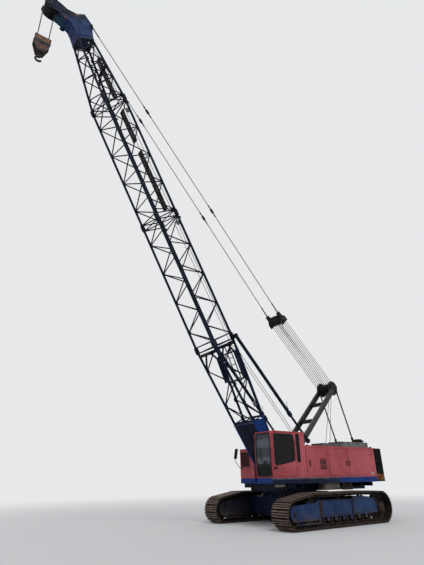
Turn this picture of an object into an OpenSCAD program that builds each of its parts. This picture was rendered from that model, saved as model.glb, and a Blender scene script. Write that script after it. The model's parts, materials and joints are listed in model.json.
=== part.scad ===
// Crawler crane with a lattice boom.
// Millimetres, +Z up, +X towards the boom, +Y to the cab's side. The origin is the slewing axis on the ground.

/* [Tracks] */
// Overall width over both tracks
overall_w = 5100; // [4900:10:5400]
// Width of one track shoe
shoe_w = 850; // [800:10:900]
// Distance from the sprocket's axle to the idler's axle
wheelbase = 4925; // [4700:5:5200]
// Height of the track over its grousers at the sprocket
track_h = 1100; // [1060:5:1140]
// Height of the track over its grousers at the idler
idler_h = 785; // [760:5:820]
// Distance from the slewing axis forward to the idler's axle
idler_x = 2540; // [2440:5:2640]
// Pitch of the track shoes
shoe_pitch = 240; // [216:2:260]
// Height of a grouser above its shoe plate
grouser_h = 34; // [26:1:42]
// Thickness of a shoe plate
shoe_t = 20; // [16:1:26]
// Depth of the track links under the shoe plates
link_h = 96; // [84:2:110]
// Width of the box of a track frame
track_frame_w = 460; // [420:10:500]
// Radius of a bottom roller's tread
roller_r = 105; // [95:1:115]
// Pitch of the bottom rollers
roller_pitch = 445; // [425:5:465]
// Radius of a carrier roller's tread
carrier_r = 75; // [65:1:85]

/* [Carbody] */
// Length and width of the carbody's centre box
carbody_l = 2100; // [1900:10:2300]
// Height of the carbody's underside above ground
carbody_z = 480; // [440:10:520]
// Height of the carbody's top plate above ground
carbody_top = 1180; // [1160:5:1200]
// Width of an axle beam
axle_w = 460; // [420:10:500]
// Radius of the slewing ring
ring_r = 860; // [800:10:920]

/* [Upperworks] */
// Overall width of the house
house_w = 3328; // [3300:4:3360]
// Height of the deck skirt's lower edge above ground
deck_z = 1497; // [1480:1:1510]
// Height of the deck skirt
skirt_h = 200; // [180:5:240]
// Height of the house roof above ground
house_top = 2878; // [2800:2:2950]
// Front of the deck, forward of the slewing axis
deck_front = 1601; // [1560:1:1640]
// Back of the house, behind the slewing axis
house_back = 3531; // [3500:1:3580]
// Back of the counterweight, behind the slewing axis
tail_x = 4570; // [4500:5:4700]
// Width of each side house and of the cab
side_w = 946; // [930:2:954]
// Thickness of the house's panels
panel_t = 30; // [24:1:36]

/* [Cab] */
// Rear wall of the cab, forward of the slewing axis
cab_back = 891; // [880:1:910]
// Front pillars of the cab, forward of the slewing axis
cab_front = 2718; // [2680:1:2760]
// Top of the cab roof above ground
cab_top = 3377; // [3340:1:3420]
// Thickness of the cab's walls and its door
cab_wall = 45; // [38:1:55]
// Rear edge of the cab door, forward of the slewing axis
door_back = 1430; // [1410:5:1450]
// Gap round a door in its opening
door_gap = 6; // [6:1:10]

/* [Boom] */
// Boom foot pin, forward of the slewing axis
foot_x = 1218; // [1200:1:1240]
// Boom foot pin above ground
foot_z = 1823; // [1810:1:1840]
// Boom angle above the horizon at rest
boom_angle = 61; // [55:0.5:65]
// Length of the boom's foot section from its pin
foot_l = 5966; // [5900:2:6050]
// Length of each boom insert
insert_l = 6000; // [5900:10:6100]
// Length of the boom's top lattice
top_l = 3450; // [3400:10:3500]
// Width of the boom between its chord centres
boom_w = 1261; // [1255:1:1265]
// Depth of the boom between its chord centres
boom_d = 1107; // [1090:1:1125]
// Radius of a chord tube
chord_r = 54; // [48:1:56]
// Radius of a lacing tube
lace_r = 27; // [22:1:32]
// Radius of the boom foot pin
foot_pin_r = 45; // [40:1:50]

/* [Gantry and stays] */
// Gantry sheave shaft, behind the slewing axis
gantry_x = 2854; // [2800:2:2900]
// Gantry sheave shaft above ground
gantry_z = 5736; // [5680:2:5800]
// Half the spread of the gantry's front legs at their feet
gantry_foot_y = 470; // [460:1:475]
// Bridle's centre, forward of the slewing axis
bridle_x = 497; // [480:1:520]
// Bridle's centre above ground
bridle_z = 9048; // [9000:2:9100]
// Half the spread of the two stays at the bridle
bridle_y = 376; // [360:2:390]
// Radius of a stay rope
stay_r = 18; // [14:1:22]

/* [Backstops] */
// Backstop's lower pin, behind the slewing axis
stop_x = 250; // [240:2:260]
// Backstop's lower pin above ground
stop_z = 3150; // [3130:5:3170]
// Lateral distance of a backstop from the middle plane
stop_y = 800; // [795:1:805]
// Outer radius of a backstop's tube
stop_r = 72; // [66:1:76]

/* [Hook] */
// Hook block's rope sheave above ground at rest
hook_z = 19250; // [19150:10:19350]
// Width of the hook block's cheeks
hook_w = 700; // [640:10:760]
// Radius of a rope
rope_r = 11; // [9:1:13]

/* [Hidden] */
$fn = 48;

// clearances
seat = 0.3; // between pieces that seat on each other with curved faces
pin_play = 0.05; // radial play of a pin in its bore
side_gap = 8; // beside moving pieces

track_y = (overall_w - shoe_w) / 2;
sprocket_x = idler_x - wheelbase;
skirt_top = deck_z + skirt_h;
house_y = house_w / 2;
bay_y = house_y - side_w; // half the width of the open bay between the side houses

// A round bar or tube between two points
module strut(a, b, r, sides = 8) {
    d = b - a;
    translate(a) rotate([0, acos(d.z / norm(d)), atan2(d.y, d.x)])
        rotate(180 / sides) cylinder(h = norm(d), r = r, $fn = sides);
}

// A rectangular bar between two points, w wide along the level direction and t thick
module bar(a, b, w, t) {
    d = b - a;
    translate(a) rotate([0, acos(d.z / norm(d)), atan2(d.y, d.x)])
        translate([-t / 2, -w / 2, 0]) cube([t, w, norm(d)]);
}

// A flat plate from an outline in the XZ plane, t thick about y
module plate_xz(y, t, outline) {
    translate([0, y + t / 2, 0]) rotate([90, 0, 0]) linear_extrude(t) polygon(outline);
}

// A cylinder along Y, centred on a point
module shaft_y(p, r, l, sides = 48) {
    translate(p) rotate([90, 0, 0]) cylinder(h = l, r = r, center = true, $fn = sides);
}

module both_sides() {
    children();
    mirror([0, 1, 0]) children();
}

// Puts a shape drawn along the boom in its place: X runs from the foot pin to the head, Z to the boom's back
module on_boom() {
    translate([foot_x, 0, foot_z]) rotate([0, -boom_angle, 0]) children();
}
function boom_point(s, y, t) = [foot_x + s * cos(boom_angle) - t * sin(boom_angle), y,
    foot_z + s * sin(boom_angle) + t * cos(boom_angle)];

// TRACK LOOP
// The shoe plates' undersides run round three circles: sprocket, idler and front carrier roller.
plate_out = shoe_t + grouser_h;
sprocket_r = track_h / 2 - plate_out;
idler_r = idler_h / 2 - plate_out;
peak_x = idler_x - 830;
peak_r = 240;
loop_circles = [ // x, z, radius
    [sprocket_x, track_h / 2, sprocket_r],
    [idler_x, idler_h / 2, idler_r],
    [peak_x, track_h - plate_out - peak_r, peak_r]];
loop_n = len(loop_circles);
function circ(i) = loop_circles[(i + loop_n) % loop_n];
function gap_x(i) = circ(i + 1)[0] - circ(i)[0];
function gap_z(i) = circ(i + 1)[1] - circ(i)[1];
function gap_d(i) = norm([gap_x(i), gap_z(i)]);
// direction of the outward normal on the straight run that leaves circle i
function run_normal(i) = atan2(gap_z(i), gap_x(i)) - acos((circ(i)[2] - circ(i + 1)[2]) / gap_d(i));
function run_l(i) = sqrt(gap_d(i) * gap_d(i) - pow(circ(i)[2] - circ(i + 1)[2], 2));
function wrap(a) = a - 360 * floor(a / 360);
function turn(i) = wrap(run_normal(i) - run_normal(i - 1));
function arc_l(i) = circ(i)[2] * turn(i) * PI / 180;
// the loop's place, as x, z and outward normal, at a distance u round it from the start of arc i
function loop_at(u, i = 0) = u <= arc_l(i) ? arc_place(u, i)
    : u <= arc_l(i) + run_l(i) ? run_place(u - arc_l(i), i)
    : loop_at(u - arc_l(i) - run_l(i), i + 1);
function arc_place(u, i) = let (a = run_normal(i - 1) + u / circ(i)[2] * 180 / PI)
    [circ(i)[0] + circ(i)[2] * cos(a), circ(i)[1] + circ(i)[2] * sin(a), a];
function run_place(u, i) = let (a = run_normal(i))
    [circ(i)[0] + circ(i)[2] * cos(a) - u * sin(a), circ(i)[1] + circ(i)[2] * sin(a) + u * cos(a), a];
function loop_length(i = 0) = i == loop_n ? 0 : arc_l(i) + run_l(i) + loop_length(i + 1);
shoe_count = round(loop_length() / shoe_pitch);
shoe_step = loop_length() / shoe_count;
// a point at u along and h out from the middle of shoe k
function shoe_point(k, u, h) = let (p = loop_at(k * shoe_step))
    [p[0] + h * cos(p[2]) - u * sin(p[2]), p[1] + h * sin(p[2]) + u * cos(p[2])];
grouser_step = shoe_step / 3; // three grousers on each shoe
grouser_half = 6; // half the width of a grouser's tip
joint_h = 8; // bottom of the notch between two shoes
shoe_outline = concat([[-shoe_step / 2, joint_h]], // along the shoe, out from its underside
    [for (g = [-1:1], q = [[-grouser_half, plate_out], [grouser_half, plate_out], [grouser_step / 2, shoe_t]])
        if (g < 1 || q[0] <= grouser_half) [g * grouser_step + q[0], q[1]]]);
track_outer = [for (k = [0:shoe_count - 1], q = shoe_outline) shoe_point(k, q[0], q[1])];
function belt(h) = [for (k = [0:shoe_count - 1]) shoe_point(k, 0, h)];
// share of its radius that a chord of one shoe's length leaves free inside a circle
function chord_in(r) = cos(shoe_step / r * 90 / PI);

module loop_ring(outer, inner, y, w) {
    translate([0, y + w / 2, 0]) rotate([90, 0, 0]) linear_extrude(w)
        polygon(concat(outer, inner), paths = [[for (i = [0:len(outer) - 1]) i],
            [for (i = [0:len(inner) - 1]) len(outer) + i]]);
}

// One track as a closed loop: shoes with three grousers each, on two rows of links
module track(side) {
    rail_w = 50;
    rail_y = 85;
    color([0.33, 0.27, 0.23]) {
        loop_ring(track_outer, belt(0), side * track_y, shoe_w);
        for (s = [-1, 1]) loop_ring(belt(-seat), belt(-link_h), side * track_y + s * rail_y, rail_w);
    }
}

// TRACK FRAMES
tread_z = plate_out + link_h; // upper face of the links on the bottom run
roller_z = tread_z + roller_r + seat;
box_low = roller_z + roller_r + 15;
box_top = 780;
rim_top = 935; // top of the sides between which the carrier rollers run
cheek_t = 40;
carrier_z = track_h - plate_out - link_h - carrier_r - seat;
carrier_x = [peak_x, peak_x - 1350, peak_x - 2700];
module track_frame(side) {
    rear = sprocket_x + 560;
    front = idler_x - 400;
    mid_y = side * track_y;
    color([0.24, 0.33, 0.5]) difference() {
        union() {
            plate_xz(mid_y, track_frame_w, [[rear, box_low], [front, box_low], [front, 560],
                [idler_x - 1150, box_top], [rear, box_top]]);
            both_cheeks(side) {
                plate_xz(0, cheek_t, [[sprocket_x + 250, 640], [idler_x - 1150, 640], [idler_x - 1150, box_top],
                    [idler_x - 1450, rim_top], [sprocket_x + 250, rim_top - 30]]);
                // yoke that carries the idler
                plate_xz(0, cheek_t, [[front - 20, 330], [idler_x + 60, 330], [idler_x + 60, 460], [front - 20, 540]]);
                // plate that carries the final drive
                plate_xz(0, cheek_t, [[sprocket_x - 90, 420], [sprocket_x + 600, box_low], [sprocket_x + 600, box_top],
                    [sprocket_x + 250, box_top], [sprocket_x - 90, 660]]);
                // bracket of the front carrier roller
                plate_xz(0, cheek_t, [[peak_x - 200, 680], [peak_x + 150, 640], [peak_x + 55, carrier_z + 30],
                    [peak_x - 55, carrier_z + 30]]);
            }
            // gussets on the outer face
            for (x = [1135, -715])
                translate([x - 30, mid_y + (side > 0 ? track_frame_w / 2 - 1 : -track_frame_w / 2 - 49), box_low])
                    cube([60, 50, rim_top - 75 - box_low]);
            // saddles on which the carbody's axle beams rest
            for (x = [-1, 1]) translate([x * axle_x - axle_w / 2 - 40,
                mid_y - (side > 0 ? track_frame_w / 2 + 60 : -track_frame_w / 2), carbody_z + 60])
                cube([axle_w + 80, 60, 300]);
        }
        shaft_y([sprocket_x, mid_y, track_h / 2], drive_shaft_r + seat, 700);
        shaft_y([idler_x, mid_y, idler_h / 2], idler_shaft_r + seat, 700);
    }
}
module both_cheeks(side) {
    for (s = [-1, 1]) translate([0, side * track_y + s * (track_frame_w / 2 - cheek_t / 2), 0]) children();
}

drive_shaft_r = 90;
idler_shaft_r = 40;
module sprockets() {
    teeth = 11;
    tooth_r = sprocket_r - 8;
    root_r = sprocket_r - 66;
    color([0.36, 0.27, 0.22]) for (side = [-1, 1]) {
        difference() {
            translate([sprocket_x, side * track_y + 25, track_h / 2]) rotate([90, 0, 0]) linear_extrude(50)
                polygon([for (k = [0:teeth * 4 - 1]) let (a = 360 * k / (teeth * 4), r = k % 4 < 2 ? root_r : tooth_r - 30)
                    [r * cos(a), r * sin(a)]]);
            shaft_y([sprocket_x, side * track_y, track_h / 2], 200, 60);
        }
        shaft_y([sprocket_x, side * track_y, track_h / 2], 215, 150);
        shaft_y([sprocket_x, side * (track_y + 130), track_h / 2], drive_shaft_r, 240);
        shaft_y([sprocket_x, side * (track_y + 280), track_h / 2], 190, 90);
        shaft_y([sprocket_x, side * (track_y - 130), track_h / 2], drive_shaft_r, 240);
        shaft_y([sprocket_x, side * (track_y - 340), track_h / 2], 210, 190);
    }
}

module idlers() {
    color([0.3, 0.25, 0.22]) for (side = [-1, 1]) {
        shaft_y([idler_x, side * track_y, idler_h / 2], (idler_r - link_h) * chord_in(idler_r) - 1, 220);
        shaft_y([idler_x, side * track_y, idler_h / 2], idler_r - link_h + 18, 90);
        shaft_y([idler_x, side * track_y, idler_h / 2], idler_shaft_r, track_frame_w + 40);
    }
}

roller_count = 1 + floor((wheelbase - 1285) / roller_pitch);
// Bottom rollers under the frames and carrier rollers on top of them
module track_rollers() {
    color([0.2, 0.18, 0.18]) for (side = [-1, 1]) {
        for (k = [0:roller_count - 1]) bottom_roller(side, sprocket_x + 640 + k * roller_pitch);
        for (x = carrier_x) carrier_roller(side, x);
    }
}
module bottom_roller(side, x) {
    shaft_y([x, side * track_y, roller_z], roller_r, 250, 24);
    shaft_y([x, side * track_y, roller_z], 45, 330, 12);
    for (s = [-1, 1]) translate([x - 60, side * track_y + s * 165 - 20, roller_z - 50])
        cube([120, 40, box_low - roller_z + 50 - seat]);
}
module carrier_roller(side, x) {
    z = x == peak_x ? carrier_z - 18 : carrier_z;
    shaft_y([x, side * track_y, z], carrier_r, 240, 24);
    shaft_y([x, side * track_y, z], 25, track_frame_w - 2 * cheek_t - 2 * seat);
}

// CARBODY
axle_x = carbody_l * 0.36;
tow_x = axle_x + axle_w / 2 + 90; // tow eyes' bores, forward and back of the slewing axis
tow_z = 660;
tow_r = 32;
tow_t = 60;
module carbody() {
    half = carbody_l / 2;
    color([0.1, 0.15, 0.3]) {
        difference() {
            translate([-half + 150, -half, carbody_z]) cube([carbody_l - 300, carbody_l, carbody_top - carbody_z]);
            translate([0, 0, carbody_z - 1]) cylinder(h = 400, r = 420);
        }
        for (s = [-1, 1]) translate([s * axle_x - axle_w / 2, -track_y + track_frame_w / 2 + 60, carbody_z + 80])
            cube([axle_w, 2 * track_y - track_frame_w - 120, 420]);
        translate([0, 0, carbody_top - 1]) cylinder(h = 61, r = ring_r + 40);
        // tow eyes
        for (m = [0, 1]) mirror([m, 0, 0]) difference() {
            translate([0, 0, tow_z - tow_t / 2]) linear_extrude(tow_t) polygon([[half - 160, -130], [tow_x, -80], [tow_x + 80, -40],
                [tow_x + 80, 40], [tow_x, 80], [half - 160, 130]]);
            translate([tow_x, 0, tow_z - 50]) cylinder(h = 100, r = tow_r);
        }
    }
}

ring_z = carbody_top + 60;
module slew_ring_lower() {
    color([0.35, 0.33, 0.3]) difference() {
        translate([0, 0, ring_z]) cylinder(h = 110, r = ring_r);
        translate([0, 0, ring_z - 1]) cylinder(h = 112, r = ring_r - 150);
    }
}
module slew_ring_upper() {
    color([0.3, 0.3, 0.3]) difference() {
        translate([0, 0, ring_z + 110 + seat]) cylinder(h = deck_z - ring_z - 110 - seat, r = ring_r - 30);
        translate([0, 0, ring_z]) cylinder(h = 300, r = ring_r - 170);
    }
}

// DECK
beam_y = 560; // the main beams' webs
web_t = 50;
beam_h = 440;
floor_t = 27;
web_in = beam_y - web_t / 2;
web_out = beam_y + web_t / 2;
lug_y = bay_y - 28; // outer lugs of the boom foot
lug_t = 30;
gantry_pin_r = 45;
link_pin_r = 40;
module deck() {
    color([0.08, 0.22, 0.55]) difference() {
        union() {
            // floor plate and skirts
            translate([-house_back, -house_y, skirt_top - floor_t]) cube([house_back + deck_front, house_w, floor_t]);
            for (s = [-1, 1]) translate([-house_back, s * (house_y - 10) - 10, deck_z])
                cube([house_back + deck_front, 20, skirt_h]);
            for (x = [-house_back, deck_front - 20]) translate([x, -house_y, deck_z]) cube([20, house_w, skirt_h]);
            // cab platform
            translate([deck_front - 20, bay_y + 4, deck_z + 20]) cube([cab_front - deck_front + 20, side_w - 4, skirt_h - 20]);
            // bottom plate over the slewing ring
            translate([-1300, -900, deck_z]) cube([2300, 1800, 30]);
            for (s = [-1, 1]) {
                // main beam, its drum bearings and the lugs of the gantry's rear links
                translate([-tail_x + 400, s * beam_y - web_t / 2, deck_z]) cube([tail_x + 800, web_t, beam_h]);
                for (d = drums) plate_xz(s * beam_y, web_t, [[d[0] - 330, deck_z + 100], [d[0] + 330, deck_z + 100],
                    [d[0] + 110, drum_z(d) + 110], [d[0] - 110, drum_z(d) + 110]]);
                plate_xz(s * beam_y, web_t, [[link_foot.x - 170, deck_z], [link_foot.x + 420, deck_z],
                    [link_foot.x + 70, link_foot.z + 80], [link_foot.x - 70, link_foot.z + 80]]);
                // lugs of the boom foot and of the gantry's front legs
                plate_xz(s * beam_y, web_t, [[300, skirt_top], [foot_x + 170, deck_z], [foot_x + 170, foot_z + 100],
                    [foot_x + 60, foot_z + 170], [gantry_foot_x + 80, gantry_foot_z + 90], [gantry_foot_x - 80, gantry_foot_z + 90]]);
                plate_xz(s * lug_y, lug_t, [[foot_x - 250, deck_z], [foot_x + 170, deck_z],
                    [foot_x + 170, foot_z + 100], [foot_x + 60, foot_z + 150], [foot_x - 150, skirt_top]]);
            }
        }
        // slots for the boom's foot
        both_sides() translate([foot_x - 200, web_out, deck_z + 20]) cube([2000, lug_y - lug_t / 2 - web_out, 800]);
        shaft_y([gantry_foot_x, 0, gantry_foot_z], gantry_pin_r + seat, 2 * web_out + 10);
        shaft_y([link_foot.x, 0, link_foot.z], link_pin_r + seat, 2 * web_out + 10);
    }
    color([0.4, 0.4, 0.42]) for (s = [-1, 1])
        shaft_y([foot_x, s * (beam_y + lug_y) / 2, foot_z], foot_pin_r, lug_y - beam_y + 60);
}
// Box that hangs under the deck behind the cab
module tool_box() {
    color([0.7, 0.62, 0.48]) translate([-1050, house_y - 434, 1230]) cube([930, 350, skirt_top - floor_t - 1230]);
}
lash_x = -1600; // middle of a lashing plate
lash_z = 1300;
lash_r = 35;
// Plates with two bores each for lashing the crane down
module lashing_plates() {
    color([0.5, 0.25, 0.22]) both_sides() difference() {
        translate([lash_x - 320, house_y - 180, lash_z - 90]) cube([640, 40, skirt_top - floor_t - lash_z + 90]);
        for (x = [-180, 180]) shaft_y([lash_x + x, house_y - 160, lash_z], lash_r, 60);
    }
}

// CAB
cab_out = house_y;
cab_in = house_y - side_w + 4;
cab_floor = skirt_top;
// side outline of the cab, grown by g
function cab_outline(g = 0) = [[cab_back - g, cab_floor - g], [cab_front - 40 + g, cab_floor - g],
    [cab_front + g, cab_floor + 420], [cab_front + g, cab_top - 110], [cab_front - 90 + g, cab_top + g],
    [cab_back + 40, cab_top + g], [cab_back - g, cab_top - 30]];
door_head = 52; // from the door opening to the roof
module cab_shell() {
    color([0.72, 0.3, 0.3]) difference() {
        plate_xz((cab_out + cab_in) / 2, cab_out - cab_in, cab_outline());
        plate_xz((cab_out + cab_in) / 2, cab_out - cab_in - 2 * cab_wall, cab_outline(-cab_wall));
        // door opening
        translate([door_back, cab_out - cab_wall - 1, cab_floor + 60]) cube([cab_front - 60 - door_back, cab_wall + 2, cab_top - cab_floor - 60 - door_head]);
        cab_window_cuts(0);
    }
    color([0.72, 0.3, 0.3]) for (z = cab_hinges) hinge_fixed(door_back + door_gap / 2, 1, z);
}
cab_hinges = [cab_floor + 250, cab_top - 450];
// a rectangle with its corners cut by c
function cut_corners(x0, z0, x1, z1, c) = [[x0 + c, z0], [x1 - c, z0], [x1, z0 + c], [x1, z1 - c], [x1 - c, z1], [x0 + c, z1],
    [x0, z1 - c], [x0, z0 + c]];
// window openings, drawn smaller by g on every side
module cab_window_cuts(g) {
    // windscreen and lower front window
    for (q = [[cab_floor + 490, cab_top - 85], [cab_floor + 90, cab_floor + 430]])
        translate([cab_front - cab_wall - 60, 0, 0]) rotate([90, 0, 90]) linear_extrude(cab_wall + 120)
            polygon(cut_corners(cab_in + 75 + g, q[0] + g, cab_out - 75 - g, q[1] - g, 60));
    // rear quarter window of the cab's left side
    plate_xz(cab_out - cab_wall / 2, cab_wall + 2, cut_corners(door_back - 240 + g, cab_floor + 560 + g, door_back - 50 - g, cab_top - 70 - g, 30));
    // right side and rear windows
    translate([cab_back + 500 + g, cab_in - 1, cab_floor + 700 + g]) cube([cab_front - cab_back - 700 - 2 * g, cab_wall + 2, 760 - 2 * g]);
    translate([cab_back - 1, cab_in + 150 + g, cab_floor + 850 + g]) cube([cab_wall + 2, cab_out - cab_in - 300 - 2 * g, 600 - 2 * g]);
}
glass_t = 6;
module cab_windows() {
    color([0.15, 0.17, 0.2, 0.6]) {
        intersection() {
            cab_window_cuts(seat);
            difference() {
                plate_xz((cab_out + cab_in) / 2, cab_out - cab_in - 2 * 15, cab_outline(-15));
                plate_xz((cab_out + cab_in) / 2, cab_out - cab_in - 2 * (15 + glass_t), cab_outline(-15 - glass_t));
            }
        }
    }
}
// Seat and consoles
module cab_interior() {
    seat_x = cab_back + 420;
    mid_y = (cab_in + cab_out) / 2;
    base_z = cab_floor + cab_wall + seat;
    color([0.1, 0.1, 0.11]) {
        translate([seat_x, mid_y - 160, base_z]) cube([320, 320, 280]);
        translate([seat_x - 60, mid_y - 250, base_z + 280]) cube([500, 500, 130]);
        translate([seat_x - 60, mid_y - 240, base_z + 400]) rotate([0, -8, 0]) cube([120, 480, 620]);
        for (s = [-1, 1]) translate([cab_back + 520, mid_y + s * 330 - 70, base_z]) cube([420, 140, 560]);
        translate([cab_front - 420, mid_y - 330, base_z]) cube([180, 200, 620]);
    }
}
module cab_door() {
    x0 = door_back + door_gap;
    x1 = cab_front - 60 - door_gap;
    z0 = cab_floor + 60 + door_gap;
    z1 = cab_top - door_head - door_gap;
    color([0.72, 0.3, 0.3]) difference() {
        translate([x0, cab_out - cab_wall, z0]) cube([x1 - x0, cab_wall, z1 - z0]);
        door_pane(0);
    }
    color([0.72, 0.3, 0.3]) for (z = cab_hinges) hinge_moving(door_back + door_gap / 2, 1, z);
    color([0.1, 0.1, 0.1]) translate([x1 - 170, cab_out, cab_floor + 330]) cube([120, 30, 40]);
}
module door_pane(g) {
    x0 = door_back + 80;
    x1 = cab_front - 140;
    top = cab_top - door_head - 45;
    plate_xz(cab_out - cab_wall / 2, cab_wall + 2, [[x0 + 110, cab_floor + 575 + g], [x1 - 120, cab_floor + 440 + g], [x1 - 30, cab_floor + 460 + g],
        [x1 - g, cab_floor + 520], [x1 - g, top - 50], [x1 - 50, top - g], [x0 + 50, top - g], [x0 + g, top - 50],
        [x0 + g, cab_floor + 660], [x0 + 30, cab_floor + 610 + g]]);
}
module cab_door_window() {
    color([0.15, 0.17, 0.2, 0.6]) intersection() {
        door_pane(seat);
        translate([0, cab_out - 21, 0]) cube([4000, glass_t, 5000]);
    }
}

// HOUSES
door_a = [-430, 750]; // x from and to
door_b = [-1660, -450];
door_c = [-3340, -1680];
door_low = 60;
door_high = 50;
knuckle_r = 9;
knuckle_h = 45;
hinge_out = knuckle_r + 1; // hinge axis outside the panels
hinge_low = skirt_top + door_low + 180;
hinge_high = house_top - door_high - 320;
// a hinge knuckle of radius knuckle_r at x, with its leaf towards dir
module knuckle(x, dir, z, leaf) {
    translate([x, house_y + hinge_out, z]) cylinder(h = knuckle_h, r = knuckle_r, $fn = 16);
    translate([dir > 0 ? x : x - leaf, house_y - 1, z]) cube([leaf, 8, knuckle_h]);
}
// the fixed and the moving half of a hinge; the door lies towards dir
module hinge_fixed(x, dir, z) {
    for (h = [0, 2 * (knuckle_h + seat)]) knuckle(x, -dir, z + h, 14);
}
module hinge_moving(x, dir, z) {
    knuckle(x, dir, z + knuckle_h + seat, 35);
}
function hinge_x(d, front) = front ? d[1] - door_gap / 2 : d[0] + door_gap / 2;
// a side house as a shell with openings for its doors, on the side y > 0
module house_shell(doors, x0, x1) {
    difference() {
        translate([x0, bay_y + 6, skirt_top]) cube([x1 - x0, side_w - 6, house_top - skirt_top]);
        translate([x0 + panel_t, bay_y + 6 + panel_t, skirt_top - 1])
            cube([x1 - x0 - 2 * panel_t, side_w - 6 - 2 * panel_t, house_top - skirt_top - panel_t + 1]);
        for (d = doors) translate([d[0], house_y - panel_t - 1, skirt_top + door_low])
            cube([d[1] - d[0], panel_t + 2, house_top - skirt_top - door_low - door_high]);
    }
}
house_front_l = cab_back - 40;
module left_house() {
    color([0.72, 0.3, 0.3]) {
        house_shell([door_a, door_b, door_c], -house_back, house_front_l);
        for (z = [hinge_low, hinge_high]) {
            hinge_fixed(hinge_x(door_a, false), 1, z);
            hinge_fixed(hinge_x(door_b, true), -1, z);
            hinge_fixed(hinge_x(door_c, false), 1, z);
        }
    }
}
grille = [1000, 1600, 2150, 2750]; // y from and to, z from and to
engine_a = [-1500, -150];
engine_b = [-3340, -1530];
module right_house() {
    color([0.72, 0.3, 0.3]) mirror([0, 1, 0]) {
        difference() {
            house_shell([engine_a, engine_b], -house_back, deck_front);
            translate([deck_front - panel_t - 1, grille[0], grille[2]])
                cube([panel_t + 2, grille[1] - grille[0], grille[3] - grille[2]]);
        }
        for (z = [hinge_low, hinge_high]) {
            hinge_fixed(hinge_x(engine_a, true), -1, z);
            hinge_fixed(hinge_x(engine_b, false), 1, z);
        }
    }
}
// a house door, hinged at its front or its rear edge
module house_door(d, front) {
    handle_x = front ? d[0] + 80 : d[1] - 80;
    translate([d[0] + door_gap, house_y - panel_t, skirt_top + door_low + door_gap])
        cube([d[1] - d[0] - 2 * door_gap, panel_t, house_top - skirt_top - door_low - door_high - 2 * door_gap]);
    translate([handle_x - 20, house_y - 1, skirt_top + 440]) cube([40, 26, 170]);
    for (z = [hinge_low, hinge_high]) hinge_moving(hinge_x(d, front), front ? -1 : 1, z);
}
vent = [-280, 70, 2010, 2380]; // x from and to, z from and to
module house_door_front() {
    color([0.72, 0.3, 0.3]) difference() {
        house_door(door_a, false);
        translate([vent[0], house_y - 12, vent[2]]) cube([vent[1] - vent[0], 20, vent[3] - vent[2]]);
    }
    color([0.72, 0.3, 0.3]) for (z = [vent[2] + 30:60:vent[3] - 40])
        translate([vent[0] + 20, house_y - 13, z]) cube([vent[1] - vent[0] - 40, 16, 22]);
}
module house_door_middle() { color([0.72, 0.3, 0.3]) house_door(door_b, true); }
module house_door_rear() { color([0.72, 0.3, 0.3]) house_door(door_c, false); }
module engine_door_front() { color([0.72, 0.3, 0.3]) mirror([0, 1, 0]) house_door(engine_a, true); }
module engine_door_rear() { color([0.72, 0.3, 0.3]) mirror([0, 1, 0]) house_door(engine_b, false); }
module radiator_grille() {
    w = grille[1] - grille[0];
    h = grille[3] - grille[2];
    color([0.25, 0.1, 0.1]) mirror([0, 1, 0]) {
        difference() {
            translate([deck_front - 25, grille[0] + seat, grille[2] + seat]) cube([20, w - 2 * seat, h - 2 * seat]);
            translate([deck_front - 60, grille[0] + 25, grille[2] + 25]) cube([100, w - 50, h - 50]);
        }
        for (k = [0:8]) translate([deck_front - 22, grille[0] + 20, grille[2] + 45 + k * 60]) cube([12, w - 40, 20]);
    }
}
module engine_block() {
    color([0.2, 0.22, 0.22]) mirror([0, 1, 0])
        translate([-2600, bay_y + 160, skirt_top]) cube([1500, 620, 780]);
}
roof_box_y = [bay_y + 60, bay_y + 760]; // y from and to
roof_box_x = [-house_back + 90, -1560]; // x from and to
roof_box_h = 230;
module roof_box() {
    color([0.45, 0.46, 0.46]) {
        translate([roof_box_x[0], roof_box_y[0], house_top]) cube([roof_box_x[1] - roof_box_x[0], roof_box_y[1] - roof_box_y[0], roof_box_h]);
        // lower box in front of it
        translate([roof_box_x[1], roof_box_y[0], house_top]) cube([1100, roof_box_y[1] - roof_box_y[0] - 60, roof_box_h - 90]);
    }
}
// Round exhaust cap on the roof box
module exhaust() {
    cap_r = 250;
    at = [roof_box_x[0] + cap_r + 20, roof_box_y[1] - cap_r - 60, house_top + roof_box_h];
    color([0.15, 0.14, 0.14]) translate(at) {
        cylinder(h = 70, r = cap_r - 90);
        translate([0, 0, 50]) cylinder(h = 60, r = cap_r);
        translate([0, 0, 100]) cylinder(h = 60, r = cap_r - 70);
    }
}

// COUNTERWEIGHT
tail_r = 3000;
lift_x = -4180; // lifting eyes on the counterweight
lift_y = 1050;
lift_r = 32;
weight_top = house_top - 7;
module counterweight() {
    color([0.1, 0.14, 0.12]) {
        difference() {
            translate([0, 0, deck_z + 3]) intersection() {
                translate([-tail_x, -house_y, 0]) cube([tail_x - house_back, house_w, weight_top - deck_z - 3]);
                translate([-tail_x + tail_r, 0, -1]) cylinder(h = 2000, r = tail_r, $fn = 180);
            }
            // notch for the gantry's rear links and the ends of the main beams
            translate([-tail_x + 380, -web_out - 10, deck_z - 10]) cube([900, 2 * web_out + 20, 2000]);
        }
        both_sides() difference() {
            plate_xz(lift_y, 40, [[lift_x - 120, weight_top - 5], [lift_x + 120, weight_top - 5], [lift_x + 60, weight_top + 110],
                [lift_x - 60, weight_top + 110]]);
            shaft_y([lift_x, lift_y, weight_top + 55], lift_r, 60);
        }
    }
}

// DRUMS
drums = [ // x, barrel radius, flange radius
    [150, 230, 330],
    [-900, 230, 330],
    [-1950, 200, 300]];
function drum_z(d) = skirt_top + d[2] + 30;
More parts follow.
